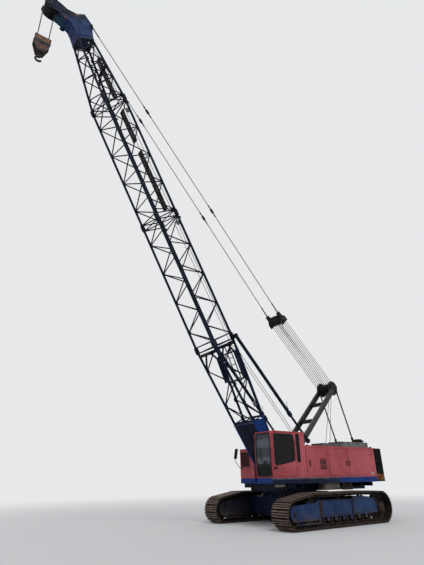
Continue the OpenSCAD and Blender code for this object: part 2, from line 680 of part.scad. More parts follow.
// Front and rear hoist drums and the boom hoist drum
module winch_drums() {
    w = 2 * web_in - 240;
    color([0.3, 0.28, 0.25]) for (d = drums) {
        p = [d[0], 0, drum_z(d)];
        shaft_y(p, d[1], w);
        for (s = [-1, 1]) shaft_y(p + [0, s * (w / 2 + 12), 0], d[2], 26);
        shaft_y(p, 60, 2 * web_in - 2 * seat);
    }
}

// GANTRY
gantry_top_y = 430;
gantry_foot_x = foot_x - 490;
gantry_foot_z = foot_z + 330;
gantry_top = [-gantry_x, gantry_top_y, gantry_z];
gantry_foot = [gantry_foot_x, gantry_foot_y, gantry_foot_z];
link_foot = [-4000, 500, 2280];
link_top = gantry_top + [0, 95, 0];
top_shaft_r = 60;
top_shaft_l = 2 * (gantry_top_y + 130);
function along(a, b, f) = a + (b - a) * f;
module gantry_legs() {
    lug_in = gantry_foot_y + 60;
    color([0.42, 0.43, 0.42]) {
        both_sides() {
            bar(gantry_foot, gantry_top, 110, 190);
            shaft_y(gantry_foot, 110, 60);
            shaft_y(gantry_top, 130, 90);
            shaft_y([gantry_foot_x, (gantry_foot_y + web_out) / 2, gantry_foot_z], gantry_pin_r, web_out - gantry_foot_y);
            // lug and pin of a backstop
            plate_xz(lug_in, 40, [[-stop_x - 90, stop_z - 90], [-stop_x + 150, stop_z - 150],
                [-stop_x + 90, stop_z + 60], [-stop_x - 60, stop_z + 90]]);
            shaft_y([-stop_x, (lug_in + stop_y + 50) / 2, stop_z], stop_pin_r, stop_y + 50 - lug_in);
        }
        for (f = [0.54, 0.77]) bar(along(gantry_foot, gantry_top, f) - [0, 2 * along(gantry_foot, gantry_top, f).y, 0],
            along(gantry_foot, gantry_top, f), 120, 160);
        shaft_y([-gantry_x, 0, gantry_z], top_shaft_r, top_shaft_l);
    }
}
module gantry_links() {
    color([0.35, 0.36, 0.36]) both_sides() difference() {
        union() {
            strut(link_foot, link_top, 34);
            strut(along(link_foot, link_top, 0.1), along(link_foot, link_top, 0.32), 52);
            shaft_y(link_foot, 80, 60);
            shaft_y(link_top, 100, 50);
            shaft_y([link_foot.x, (link_foot.y + web_out) / 2, link_foot.z], link_pin_r, web_out - link_foot.y);
        }
        shaft_y(link_top, top_shaft_r + seat, 120);
    }
}
sheave_r = 235;
fall_step = 115; // between two sheaves of the boom hoist
module sheave(p, r, w) {
    difference() {
        shaft_y(p, r, w);
        for (s = [-1, 1]) shaft_y(p + [0, s * (w / 2 + 3), 0], r - 40, 20);
    }
}
module gantry_sheaves() {
    color([0.14, 0.14, 0.14]) {
        for (k = [-2.5:1:2.5]) difference() {
            sheave([-gantry_x, k * fall_step, gantry_z], sheave_r, 60);
            shaft_y([-gantry_x, k * fall_step, gantry_z], top_shaft_r + seat, 80);
        }
        // housing: six-sided cheeks beside the sheaves, held together by bars
        difference() {
            for (s = [-1, 1]) translate([-gantry_x, s * housing_y, gantry_z]) rotate([90, falls_angle, 0])
                cylinder(h = 20, r = housing_r, center = true, $fn = 6);
            shaft_y([-gantry_x, 0, gantry_z], top_shaft_r + seat, 900);
        }
        for (a = [90, 180, 270]) shaft_y([-gantry_x + bar_r * cos(a + falls_angle), 0, gantry_z + bar_r * sin(a + falls_angle)],
            22, 2 * housing_y);
    }
}
housing_y = 345;
housing_r = 370;
bar_r = sheave_r + 65; // tie bars' distance from the shaft
module mirror_post() {
    color([0.1, 0.1, 0.1]) {
        translate([deck_front, -house_y + 60, skirt_top + 370]) cube([10, 60, 60]);
        strut([deck_front + 13, -house_y + 90, skirt_top + 400], [deck_front + 320, -house_y - 60, skirt_top + 760], 12);
        translate([deck_front + 5, -house_y + 80, skirt_top + 390]) cube([14, 20, 20]);
        translate([deck_front + 300, -house_y - 120, skirt_top + 560]) cube([30, 180, 330]);
    }
}

// BACKSTOPS
stop_eye = boom_point(foot_l - 60, stop_y, boom_d / 2 + 70);
stop_pin = [-stop_x, stop_y, stop_z];
stop_len = norm(stop_eye - stop_pin);
stop_tube_l = 4250;
stop_rod_l = 2700;
stop_rod_r = 48;
stop_pin_r = 40;
gland_l = 160;
module backstop_rods() {
    color([0.1, 0.1, 0.12]) both_sides() difference() {
        union() {
            strut(stop_pin, along(stop_pin, stop_eye, stop_rod_l / stop_len), stop_rod_r, 24);
            shaft_y(stop_pin, 95, 90);
        }
        shaft_y(stop_pin, stop_pin_r + pin_play, 200);
    }
}
module backstop_tubes() {
    from = stop_len - stop_tube_l;
    function place(l) = along(stop_pin, stop_eye, l / stop_len);
    color([0.06, 0.07, 0.12]) both_sides() {
        difference() {
            union() {
                strut(place(from), place(stop_len - 60), stop_r, 24);
                strut(place(from), place(from + gland_l), stop_r + 22, 24);
            }
            strut(place(from + gland_l), place(stop_len - 250), stop_r - 16, 24);
            strut(place(from - 10), place(from + gland_l + 10), stop_rod_r + seat, 24);
        }
        difference() {
            shaft_y(stop_eye, 95, 80);
            shaft_y(stop_eye, stop_pin_r, 100);
        }
    }
}

// BOOM
// Chords and lacing from x = 0 to l; a and b are the section at its ends: half width, front and back
module lattice(l, a, b, bays, margin = 160) {
    function corner(x, y, t) = let (e = a + (b - a) * x / l) [x, y * e[0], t < 0 ? e[1] : e[2]];
    step = (l - 2 * margin) / (2 * bays);
    for (y = [-1, 1], t = [-1, 1]) {
        strut(corner(0, y, t), corner(l, y, t), chord_r, 12);
    }
    for (k = [0:2 * bays - 1]) {
        x0 = margin + k * step;
        x1 = x0 + step;
        f = k % 2 == 0 ? 1 : -1;
        for (t = [-1, 1]) strut(corner(x0, f, t), corner(x1, -f, t), lace_r, 6);
        for (y = [-1, 1]) strut(corner(x0, y, f), corner(x1, y, -f), lace_r, 6);
    }
    for (x = [margin - 20, l - margin + 20]) {
        for (t = [-1, 1]) strut(corner(x, -1, t), corner(x, 1, t), lace_r, 6);
        for (y = [-1, 1]) strut(corner(x, y, -1), corner(x, y, 1), lace_r, 6);
        strut(corner(x, -1, -1), corner(x, 1, 1), lace_r, 6);
    }
}
full_section = [boom_w / 2, -boom_d / 2, boom_d / 2];
// pinned joint ears at one end of a section, on all four chords
module joint_ears(x, side) {
    for (y = [-1, 1], t = [-1, 1]) translate([x, y * boom_w / 2, t * boom_d / 2])
        translate([side > 0 ? -110 : seat, -45, -60]) cube([110 - seat, 90, 120]);
}
leg_l = 2400; // the closed box of the foot, from the pin to the lattice
leg_d = 530; // depth between the chord centres at the top of the box
boom_color = [0.06, 0.09, 0.22];
// the box's outer face at x, out from the boom's middle line
function foot_edge(x) = 115 + (x - 60) * (leg_d / 2 + chord_r - 115) / (leg_l - 60);
// half the lattice's depth between the chord centres at x
function half_depth(x) = leg_d / 2 + (boom_d - leg_d) / 2 * (x - leg_l) / (foot_l - leg_l);
cover_t = 24;
cover_in = 8; // covers stand back from the side plates' edges
taper_play = 6; // a tapered chord's end inside the section's end
module boom_foot() {
    on_boom() color([0.07, 0.16, 0.42]) {
        translate([leg_l - 60, 0, 0]) lattice(foot_l - leg_l + 60 - taper_play, [boom_w / 2, -leg_d / 2, leg_d / 2], full_section, 2, 130);
        both_sides() difference() {
            union() {
                plate_xz(boom_w / 2, 40, [[-90, -95], [60, -115], [leg_l + 30, -foot_edge(leg_l)], [leg_l - 90, foot_edge(leg_l - 90)],
                    [60, 115], [-90, 95]]);
                shaft_y([0, boom_w / 2, 0], 125, 76);
            }
            shaft_y([0, boom_w / 2, 0], foot_pin_r + pin_play, 200);
        }
        // front and rear covers, with the flange along the front cover's upper edge
        plate_xz(0, boom_w, [[450, cover_in - foot_edge(450)], [leg_l, cover_in - foot_edge(leg_l)],
            [leg_l, cover_in + cover_t - foot_edge(leg_l)], [450, cover_in + cover_t - foot_edge(450)]]);
        plate_xz(0, boom_w, [[700, foot_edge(700) - cover_in], [leg_l - 90, foot_edge(leg_l - 90) - cover_in],
            [leg_l - 90, foot_edge(leg_l - 90) - cover_in - cover_t], [700, foot_edge(700) - cover_in - cover_t]]);
        translate([leg_l - 60, -boom_w / 2, -foot_edge(leg_l)]) cube([60, boom_w, 130]);
        joint_ears(foot_l, 1);
        // beams with the rope guides, and the knee braces under them
        for (t = [-1, 1]) {
            translate([guide_s, -boom_w / 2, t * half_depth(guide_s) - 55]) cube([110, boom_w, 110]);
            for (y = [-1, 1]) strut([guide_s + 40, y * 170, t * half_depth(guide_s)],
                [guide_s - 620, y * boom_w / 2, t * half_depth(guide_s - 620)], 42, 6);
        }
        for (k = [-1:1]) translate([guide_s + 15, k * 300 - 60, boom_d / 2 + 10]) cube([80, 120, 110]);
        for (k = [-0.5, 0.5]) translate([guide_s + 15, k * 420 - 60, -boom_d / 2 - 130]) cube([80, 120, 110]);
        // brackets beside the backstops' eyes
        both_sides() translate([foot_l - 150, boom_w / 2, boom_d / 2 + 10])
            cube([145, stop_y - stop_r - side_gap - boom_w / 2, 110]);
        // side panels along the rear chords
        both_sides() plate_xz(boom_w / 2, 16, [for (q = [[1816, -240], [636, -240], [636, 0], [1816, 0]])
            [foot_l - q[0], half_depth(foot_l - q[0]) + q[1]]]);
        // ladder inside the rear face
        for (y = [40, 330]) strut([ladder_s, y, half_depth(ladder_s) - 95], [guide_s + 20, y, half_depth(guide_s) - 95], 24, 6);
        for (k = [0:4]) let (x = ladder_s + 150 + k * 300) strut([x, 40, half_depth(x) - 95], [x, 330, half_depth(x) - 95], 18, 6);
        for (x = [ladder_s + 50, ladder_s + 1250]) translate([x, -boom_w / 2, half_depth(x) - 125]) cube([60, boom_w, 60]);
    }
}
guide_s = foot_l - 330;
ladder_s = guide_s - 1586; // lower end of the ladder
module boom_insert(s0) {
    on_boom() translate([s0 + seat, 0, 0]) color(boom_color) {
        lattice(insert_l - seat, full_section, full_section, 4);
        joint_ears(0, -1);
        joint_ears(insert_l - seat, 1);
    }
}
head_s = foot_l + 2 * insert_l + top_l;
head_w = 290; // half the width between the chord centres at the head
head_front = -240;
head_rear = 510;
end_play = 9; // a tapered chord's end inside the section's end
top_section = [head_w, head_front, head_rear];
// the top section at x from its lower end: half width, front and back
function top_at(x) = full_section + (top_section - full_section) * (x - end_play) / (top_l - 2 * end_play);
module boom_top() {
    on_boom() translate([foot_l + 2 * insert_l, 0, 0]) color(boom_color) {
        translate([end_play, 0, 0]) lattice(top_l - 2 * end_play, full_section, top_section, 3);
        joint_ears(0, -1);
        // end frame under the head
        difference() {
            translate([top_l - 60, -head_w - chord_r, head_front - chord_r]) cube([60, 2 * (head_w + chord_r), head_rear - head_front + 2 * chord_r]);
            translate([top_l - 80, -head_w + chord_r, head_front + chord_r]) cube([100, 2 * (head_w - chord_r), head_rear - head_front - 2 * chord_r]);
        }
        // rope guide beam across the rear face
        translate([guide_x, -top_at(guide_x)[0], top_at(guide_x)[2] - 45]) cube([80, 2 * top_at(guide_x)[0], 90]);
    }
}
guide_x = 1930;
nose = [head_s + 1804, 0, -835]; // nose sheaves' axle along the boom
nose_r = 240;
head_plate_t = 30;
head_plate_y = head_w - 5;
stay_lug = [head_s + 784, 0, 760]; // pin of the stays on the head, along the boom
stay_pin_r = 35;
stay_y = 345;
deflector = [head_s + 1270, 0, 480];
deflector_r = 150;
// side outline of the head, from the boom's end
head_outline = [[seat, head_front - chord_r], [514, -250], [814, -262], [1054, -420], [1394, -690], [1504, -930], [1684, -1085],
    [1984, -1100], [2204, -930], [2244, -650], [1954, -430], [1554, -130], [1374, 270], [1444, 700], [1124, 790],
    [850, 860], [720, 860], [560, 740], [seat, head_rear + chord_r]];
module boom_head() {
    on_boom() translate([head_s, 0, 0]) color([0.07, 0.16, 0.42]) {
        both_sides() plate_xz(head_plate_y, head_plate_t, head_outline);
        difference() {
            translate([seat, -head_w - chord_r, head_front - chord_r]) cube([50, 2 * (head_w + chord_r), head_rear - head_front + 2 * chord_r]);
            translate([-10, -head_w + chord_r, head_front + chord_r]) cube([100, 2 * (head_w - chord_r), head_rear - head_front - 2 * chord_r]);
        }
        // covers along the front, the nose's back and the knuckle's back
        plate_xz(0, 2 * head_plate_y, [[20, head_front - chord_r], [514, -250], [814, -262], [1054, -420], [1394, -690], [1380, -668],
            [1042, -396], [806, -238], [514, -226], [20, head_front - chord_r + cover_t]]);
        plate_xz(0, 2 * head_plate_y, [[1554, -130], [1954, -430], [1940, -450], [1540, -150]]);
        plate_xz(0, 2 * head_plate_y, [[1444, 700], [1124, 790], [1118, 768], [1438, 678]]);
        translate([120, -head_plate_y, -220]) cube([300, 2 * head_plate_y, 200]);
        // pins of the stays and of the lug at the front
        shaft_y([stay_lug.x - head_s, 0, stay_lug.z], stay_pin_r, 2 * (stay_y + 50));
        shaft_y([1010, 0, -430], 45, 2 * head_plate_y + 160);
    }
}
module boom_sheaves() {
    l = 2 * head_plate_y - head_plate_t - 2 * seat;
    on_boom() color([0.12, 0.12, 0.13]) {
        for (k = [-1.5:1:1.5]) sheave([nose.x, k * 145, nose.z], nose_r, 64);
        shaft_y(nose, 50, l);
        // deflector sheaves at the head's rear
        for (k = [-0.5, 0.5]) sheave([deflector.x, k * 300, deflector.z], deflector_r, 70);
        shaft_y(deflector, 40, l);
    }
}
// Gratings on the boom's rear face, from and to
walkways = [[foot_l + insert_l + 434, foot_l + insert_l + 3534], [foot_l + insert_l + 4034, foot_l + insert_l + 5734]];
top_walkway = [434, 2634]; // from and to along the top section
module boom_walkway() {
    grate_w = 330;
    grate_t = 30;
    above = lace_r * cos(30) + seat; // from the chords' middle to the grating
    on_boom() color([0.25, 0.25, 0.25]) {
        for (g = walkways) translate([g[0], -grate_w / 2, boom_d / 2 + above]) cube([g[1] - g[0], grate_w, grate_t]);
        translate([foot_l + 2 * insert_l, 0, 0]) difference() {
            plate_xz(0, grate_w, [[top_walkway[0], top_at(top_walkway[0])[2] + above], [top_walkway[1], top_at(top_walkway[1])[2] + above],
                [top_walkway[1], top_at(top_walkway[1])[2] + above + grate_t], [top_walkway[0], top_at(top_walkway[0])[2] + above + grate_t]]);
            translate([guide_x - 10, -grate_w, top_at(guide_x)[2] - 60]) cube([100, 2 * grate_w, 150]);
        }
    }
}

// STAYS
stay_top = boom_point(stay_lug.x, stay_y, stay_lug.z);
stay_end = [bridle_x, bridle_y, bridle_z];
eye_w = 50;
socket_r = 30;
module stays() {
    links = [[0.01, 0.03], [0.345, 0.375], [0.69, 0.72], [0.965, 0.985]]; // sockets, as shares of the length
    color([0.1, 0.1, 0.1]) both_sides() difference() {
        union() {
            strut(stay_end, stay_top, stay_r);
            for (f = links) strut(along(stay_end, stay_top, f[0]), along(stay_end, stay_top, f[1]), socket_r);
            shaft_y(stay_end, 62, eye_w);
            shaft_y(stay_top, 75, eye_w);
        }
        shaft_y(stay_end, bridle_pin_r + seat, 100);
        shaft_y(stay_top, stay_pin_r + seat, 100);
    }
}
falls_angle = atan2(bridle_z - gantry_z, bridle_x + gantry_x);
bridle_pin_r = 30;
bridle_axle = -330; // sheaves' axle along the bridle
bridle_sheave_r = sheave_r - 30;
module bridle() {
    fork = 42; // from a stay to the plates on both its sides
    color([0.07, 0.07, 0.08]) translate([bridle_x, 0, bridle_z]) rotate([0, -falls_angle, 0]) {
        for (k = [-2.5:1:2.5]) sheave([bridle_axle, k * fall_step, 0], bridle_sheave_r, 60);
        shaft_y([bridle_axle, 0, 0], 50, 2 * (bridle_y + fork));
        both_sides() {
            plate_xz(bridle_y + fork, 24, [[bridle_axle - 90, -90], [70, -75], [70, 75], [bridle_axle - 90, 90]]);
            plate_xz(bridle_y - fork, 24, [[-110, -80], [70, -75], [70, 75], [-110, 80]]);
            shaft_y([0, bridle_y, 0], bridle_pin_r, 2 * fork + 24);
        }
        translate([-115, -bridle_y - fork, -70]) cube([40, 2 * (bridle_y + fork), 140]);
    }
}
module luff_falls() {
    axle = [bridle_x, 0, bridle_z] + bridle_axle * [cos(falls_angle), 0, sin(falls_angle)];
    n = [-sin(falls_angle), 0, cos(falls_angle)];
    color([0.2, 0.2, 0.2]) for (k = [-2.5:1:2.5], s = [-1, 1])
        strut([-gantry_x, k * fall_step, gantry_z] + s * n * (sheave_r + rope_r * cos(30) + seat),
            axle + [0, k * fall_step, 0] + s * n * (bridle_sheave_r + rope_r * cos(30) + seat), rope_r, 6);
}

// HOOK
nose_at = boom_point(nose.x, 0, nose.z);
hook_sheave_r = 230;
module hoist_falls() {
    color([0.2, 0.2, 0.2]) for (k = [-0.5, 0.5], s = [-1, 1])
        strut([nose_at.x + s * (hook_sheave_r + rope_r + seat), k * 150, hook_z],
            [nose_at.x + s * (nose_r + rope_r + seat), k * 145 * 3, nose_at.z], rope_r, 6);
}
module hook_block() {
    color([0.35, 0.2, 0.12]) translate([nose_at.x, 0, hook_z]) {
        both_sides() plate_xz(150, 30, [[-hook_w / 2, 300], [hook_w / 2, 300], [hook_w / 2, -80],
            [150, -620], [-150, -620], [-hook_w / 2, -80]]);
        shaft_y([0, 0, 0], 45, 330);
        for (k = [-0.5, 0.5]) sheave([0, k * 150, 0], hook_sheave_r, 70);
        translate([-130, -135, -610]) cube([260, 270, 110]);
        for (x = [-hook_w / 2 + 30, hook_w / 2 - 60]) translate([x, -136, 200]) cube([30, 272, 60]);
    }
}
module hook() {
    color([0.15, 0.13, 0.12]) translate([nose_at.x, 0, hook_z - 610 - seat]) {
        translate([0, 0, -170]) cylinder(h = 170, r = 45);
        translate([0, 0, -330]) rotate([90, 0, 0]) rotate([0, 0, -150]) rotate_extrude(angle = 250, $fn = 48)
            translate([120, 0]) circle(r = 48, $fn = 24);
        translate([0, 0, -230]) cylinder(h = 80, r = 60);
    }
}

carbody();
track_frame(1);  // track_frame_left
track_frame(-1);  // track_frame_right
track(1);  // track_left
track(-1);  // track_right
idlers();
sprockets();
track_rollers();
slew_ring_lower();
slew_ring_upper();
deck();
tool_box();
lashing_plates();
cab_shell();
cab_windows();
cab_interior();
cab_door();
cab_door_window();
left_house();
right_house();
house_door_front();
house_door_middle();
house_door_rear();
engine_door_front();
engine_door_rear();
radiator_grille();
engine_block();
roof_box();
exhaust();
counterweight();
winch_drums();
gantry_legs();
gantry_links();
gantry_sheaves();
mirror_post();  // mirror
backstop_rods();
backstop_tubes();
boom_foot();
boom_insert(foot_l);  // boom_insert_lower
boom_insert(foot_l + insert_l);  // boom_insert_upper
boom_top();
boom_head();
boom_sheaves();
boom_walkway();
stays();
bridle();
luff_falls();
hoist_falls();
hook_block();
hook();
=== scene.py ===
import bpy
import bmesh
import json
from math import acos, atan2, cos, pi, radians, sin, sqrt
from mathutils import Matrix, Vector


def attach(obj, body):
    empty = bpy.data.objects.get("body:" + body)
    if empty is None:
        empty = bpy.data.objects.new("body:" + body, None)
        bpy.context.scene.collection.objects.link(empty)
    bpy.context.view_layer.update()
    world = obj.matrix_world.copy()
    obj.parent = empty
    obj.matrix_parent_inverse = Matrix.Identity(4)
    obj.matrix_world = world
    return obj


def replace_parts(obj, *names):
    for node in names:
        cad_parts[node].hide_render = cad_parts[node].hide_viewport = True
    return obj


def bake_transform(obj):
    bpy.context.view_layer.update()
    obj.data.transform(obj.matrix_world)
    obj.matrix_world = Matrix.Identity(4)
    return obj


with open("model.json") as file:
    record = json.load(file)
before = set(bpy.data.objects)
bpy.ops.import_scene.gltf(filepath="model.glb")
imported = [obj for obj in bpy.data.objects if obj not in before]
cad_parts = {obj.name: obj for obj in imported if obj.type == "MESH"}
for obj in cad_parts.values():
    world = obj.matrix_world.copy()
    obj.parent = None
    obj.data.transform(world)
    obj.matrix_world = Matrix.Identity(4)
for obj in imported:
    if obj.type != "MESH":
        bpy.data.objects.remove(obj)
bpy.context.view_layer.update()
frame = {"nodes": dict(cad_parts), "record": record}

UP, DOWN, FORE, LEFT = Vector((0, 0, 1)), Vector((0, 0, -1)), Vector((1, 0, 0)), Vector((0, 1, 0))

# the camera that took the photo: its place, its angles and its focal length in the photo's pixels
CAMERA_AT = (14.524, 14.641, 1.751)
CAMERA_YAW, CAMERA_PITCH, CAMERA_ROLL = radians(-125.23), radians(24.55), radians(-0.84)
PHOTO_HEIGHT, FOCAL_PIXELS, SENSOR_HEIGHT = 565, 426.9, 24
BACKDROP = (0.80, 0.81, 0.82, 1)
FLOOR_GREY = (0.62, 0.62, 0.62, 1)
SKY_TINT = (0.93, 0.96, 1, 1)
FLOOR_RADIUS, FLOOR_CORNERS = 150, 96
FADE_FROM, FADE_TO = 9, 34


# camera, floor and light

def add_camera():
    yaw, pitch, roll = CAMERA_YAW, CAMERA_PITCH, CAMERA_ROLL
    ahead = Vector((cos(yaw) * cos(pitch), sin(yaw) * cos(pitch), sin(pitch)))
    right = Vector((sin(yaw), -cos(yaw), 0))
    up = right.cross(ahead)
    right, up = cos(roll) * right + sin(roll) * up, cos(roll) * up - sin(roll) * right
    data = bpy.data.cameras.new("photo_view")
    data.sensor_fit = "VERTICAL"
    data.sensor_height = SENSOR_HEIGHT
    data.lens = SENSOR_HEIGHT * FOCAL_PIXELS / PHOTO_HEIGHT
    data.clip_end = 400
    camera = bpy.data.objects.new("photo_view", data)
    turned = Matrix((right, up, -ahead)).transposed().to_4x4()
    camera.matrix_world = Matrix.Translation(CAMERA_AT) @ turned
    bpy.context.scene.collection.objects.link(camera)
    bpy.context.scene.camera = camera


def add_node(tree, kind, operation=None, **inputs):
    """A new shader node; the underscores in an input's name stand for spaces."""
    made = tree.nodes.new("ShaderNode" + kind)
    if operation:
        made.operation = operation
    for name, value in inputs.items():
        made.inputs[name.replace("_", " ")].default_value = value
    return made


def add_floor():
    mesh = bpy.data.meshes.new("floor")
    angles = [2 * pi * k / FLOOR_CORNERS for k in range(FLOOR_CORNERS)]
    ring = [(FLOOR_RADIUS * cos(a), FLOOR_RADIUS * sin(a), 0) for a in angles]
    mesh.from_pydata(ring, [], [tuple(range(FLOOR_CORNERS))])
    floor = bpy.data.objects.new("floor", mesh)
    bpy.context.scene.collection.objects.link(floor)
    material = bpy.data.materials.new("floor")
    material.use_nodes = True
    t = material.node_tree
    t.nodes.clear()
    out = add_node(t, "OutputMaterial")
    matte = add_node(t, "BsdfDiffuse", Color=FLOOR_GREY)
    pale = add_node(t, "Emission", Color=BACKDROP, Strength=1)
    coords = add_node(t, "TexCoord")
    far = add_node(t, "VectorMath", "LENGTH")
    fade = add_node(t, "MapRange", From_Min=FADE_FROM, From_Max=FADE_TO)
    fade.interpolation_type = "SMOOTHSTEP"
    path = add_node(t, "LightPath")
    seen = add_node(t, "Math", "MULTIPLY")
    mix = add_node(t, "MixShader")
    t.links.new(coords.outputs["Object"], far.inputs[0])
    t.links.new(far.outputs["Value"], fade.inputs["Value"])
    t.links.new(fade.outputs["Result"], seen.inputs[0])
    t.links.new(path.outputs["Is Camera Ray"], seen.inputs[1])
    for k, shader in enumerate((seen, matte, pale)):
        t.links.new(shader.outputs[0], mix.inputs[k])
    t.links.new(mix.outputs[0], out.inputs[0])
    mesh.materials.append(material)


def add_sky():
    """A world that lights like an overcast sky; the camera, mirrors and panes see the pale backdrop."""
    world = bpy.data.worlds.new("studio")
    bpy.context.scene.world = world
    world.use_nodes = True
    t = world.node_tree
    t.nodes.clear()
    out = add_node(t, "OutputWorld")
    ambient = add_node(t, "Background", Color=SKY_TINT, Strength=0.62)
    seen = add_node(t, "Background", Color=BACKDROP, Strength=1)
    path = add_node(t, "LightPath")
    first, most = add_node(t, "Math", "MAXIMUM"), add_node(t, "Math", "MAXIMUM")
    mix = add_node(t, "MixShader")
    t.links.new(path.outputs["Is Camera Ray"], first.inputs[0])
    t.links.new(path.outputs["Is Glossy Ray"], first.inputs[1])
    t.links.new(first.outputs[0], most.inputs[0])
    t.links.new(path.outputs["Is Transmission Ray"], most.inputs[1])
    for k, shader in enumerate((most, ambient, seen)):
        t.links.new(shader.outputs[0], mix.inputs[k])
    t.links.new(mix.outputs[0], out.inputs[0])


def add_lamp(name, way, strength, spread):
    data = bpy.data.lights.new(name, "SUN")
    data.energy = strength
    data.angle = radians(spread)
    lamp = bpy.data.objects.new(name, data)
    lamp.rotation_euler = Vector(way).to_track_quat("-Z", "Y").to_euler()
    bpy.context.scene.collection.objects.link(lamp)


add_camera()
add_floor()
add_sky()
add_lamp("key", (-0.20, -0.62, -0.72), 1.2, 28)
add_lamp("fill", (0.65, 0.5, -0.35), 0.3, 50)


# materials

def rgb(r, g, b):
    """A colour given as 0-255 display values."""
    shares = [v / 255 for v in (r, g, b)]
    return tuple(v / 12.92 if v <= 0.04045 else ((v + 0.055) / 1.055) ** 2.4 for v in shares) + (1,)


class Net:
    """A material's node tree in the object's own coordinates, in metres."""

    def __init__(self, name):
        self.material = bpy.data.materials.new(name)
        self.material.use_nodes = True
        self.t = self.material.node_tree
        self.t.nodes.clear()
        self.out = self.t.nodes.new("ShaderNodeOutputMaterial")
        self.shader = self.t.nodes.new("ShaderNodeBsdfPrincipled")
        self.t.links.new(self.shader.outputs[0], self.out.inputs[0])
        self.coords = self.t.nodes.new("ShaderNodeTexCoord").outputs["Object"]

    def put(self, node, socket, value):
        if isinstance(value, bpy.types.NodeSocket):
            self.t.links.new(value, node.inputs[socket])
        elif value is not None:
            node.inputs[socket].default_value = value

    def make(self, kind, inputs=None, **settings):
        """The outputs of a new node, with its own settings and its inputs by name or number."""
        n = self.t.nodes.new("ShaderNode" + kind)
        for setting, value in settings.items():
            setattr(n, setting, value)
        for socket, value in (inputs or {}).items():
            self.put(n, socket, value)
        return n.outputs

    def place(self, scale=(1, 1, 1), turn=(0, 0, 0)):
        angles = tuple(radians(a) for a in turn)
        return self.make("Mapping", {"Vector": self.coords, "Scale": scale, "Rotation": angles})[0]

    def noise(self, scale, detail=5, rough=0.6, where=None, warp=0):
        inputs = {"Vector": where or self.coords, "Scale": scale, "Detail": detail}
        return self.make("TexNoise", {**inputs, "Roughness": rough, "Distortion": warp})[0]

    def cells(self, scale):
        return self.make("TexVoronoi", {"Vector": self.coords, "Scale": scale})["Distance"]

    def wave(self, scale, where, warp=0, direction="X"):
        inputs = {"Vector": where, "Scale": scale, "Distortion": warp}
        return self.make("TexWave", inputs, bands_direction=direction, wave_profile="SIN")["Fac"]

    def span(self, value, low, high, to_low=0, to_high=1):
        inputs = {"Value": value, "From Min": low, "From Max": high, "To Min": to_low, "To Max": to_high}
        return self.make("MapRange", inputs, interpolation_type="SMOOTHSTEP")["Result"]

    def calc(self, kind, a, b=None, clamp=True):
        clamp = clamp and kind in ("MULTIPLY", "ADD", "SUBTRACT")
        return self.make("Math", {0: a, 1: b}, operation=kind, use_clamp=clamp)[0]

    def times(self, a, b):
        return self.calc("MULTIPLY", a, b)

    def above(self, a, b):
        return self.calc("GREATER_THAN", a, b)

    def below(self, a, b):
        return self.calc("LESS_THAN", a, b)

    def dot(self, a, b):
        return self.make("VectorMath", {0: a, 1: b}, operation="DOT_PRODUCT")["Value"]

    def mix(self, share, a, b):
        return self.make("Mix", {0: share, 6: a, 7: b}, data_type="RGBA", blend_type="MIX")[2]

    def axis(self, which, where=None):
        return self.make("SeparateXYZ", {0: where or self.coords})[which]

    def facing(self, which):
        """How far the surface faces along an axis, from -1 to 1, in the object's own coordinates."""
        normal = {0: self.make("NewGeometry")["True Normal"]}
        spaces = {"vector_type": "NORMAL", "convert_from": "WORLD", "convert_to": "OBJECT"}
        return self.axis(which, self.make("VectorTransform", normal, **spaces)[0])

    def edges(self, radius):
        """1 along outer edges, 0 on flats."""
        bevel = self.make("Bevel", {"Radius": radius}, samples=4)[0]
        flat = self.make("NewGeometry")["Normal"]
        return self.span(self.calc("SUBTRACT", 1.0, self.dot(bevel, flat)), 0.07, 0.28)

    def bump(self, height, strength, distance):
        return self.make("Bump", {"Height": height, "Strength": strength, "Distance": distance})[0]

    def finish(self, colour, rough, metal=None, normal=None, **uniform):
        inputs = {"Base Color": colour, "Roughness": rough, "Metallic": metal, "Normal": normal}
        for name, value in inputs.items():
            self.put(self.shader, name, value)
        for name, value in uniform.items():
            self.shader.inputs[name.replace("_", " ")].default_value = value
        return self.material


RUST = rgb(92, 52, 34)
RUST_DARK = rgb(52, 32, 26)
DUST = rgb(122, 108, 90)


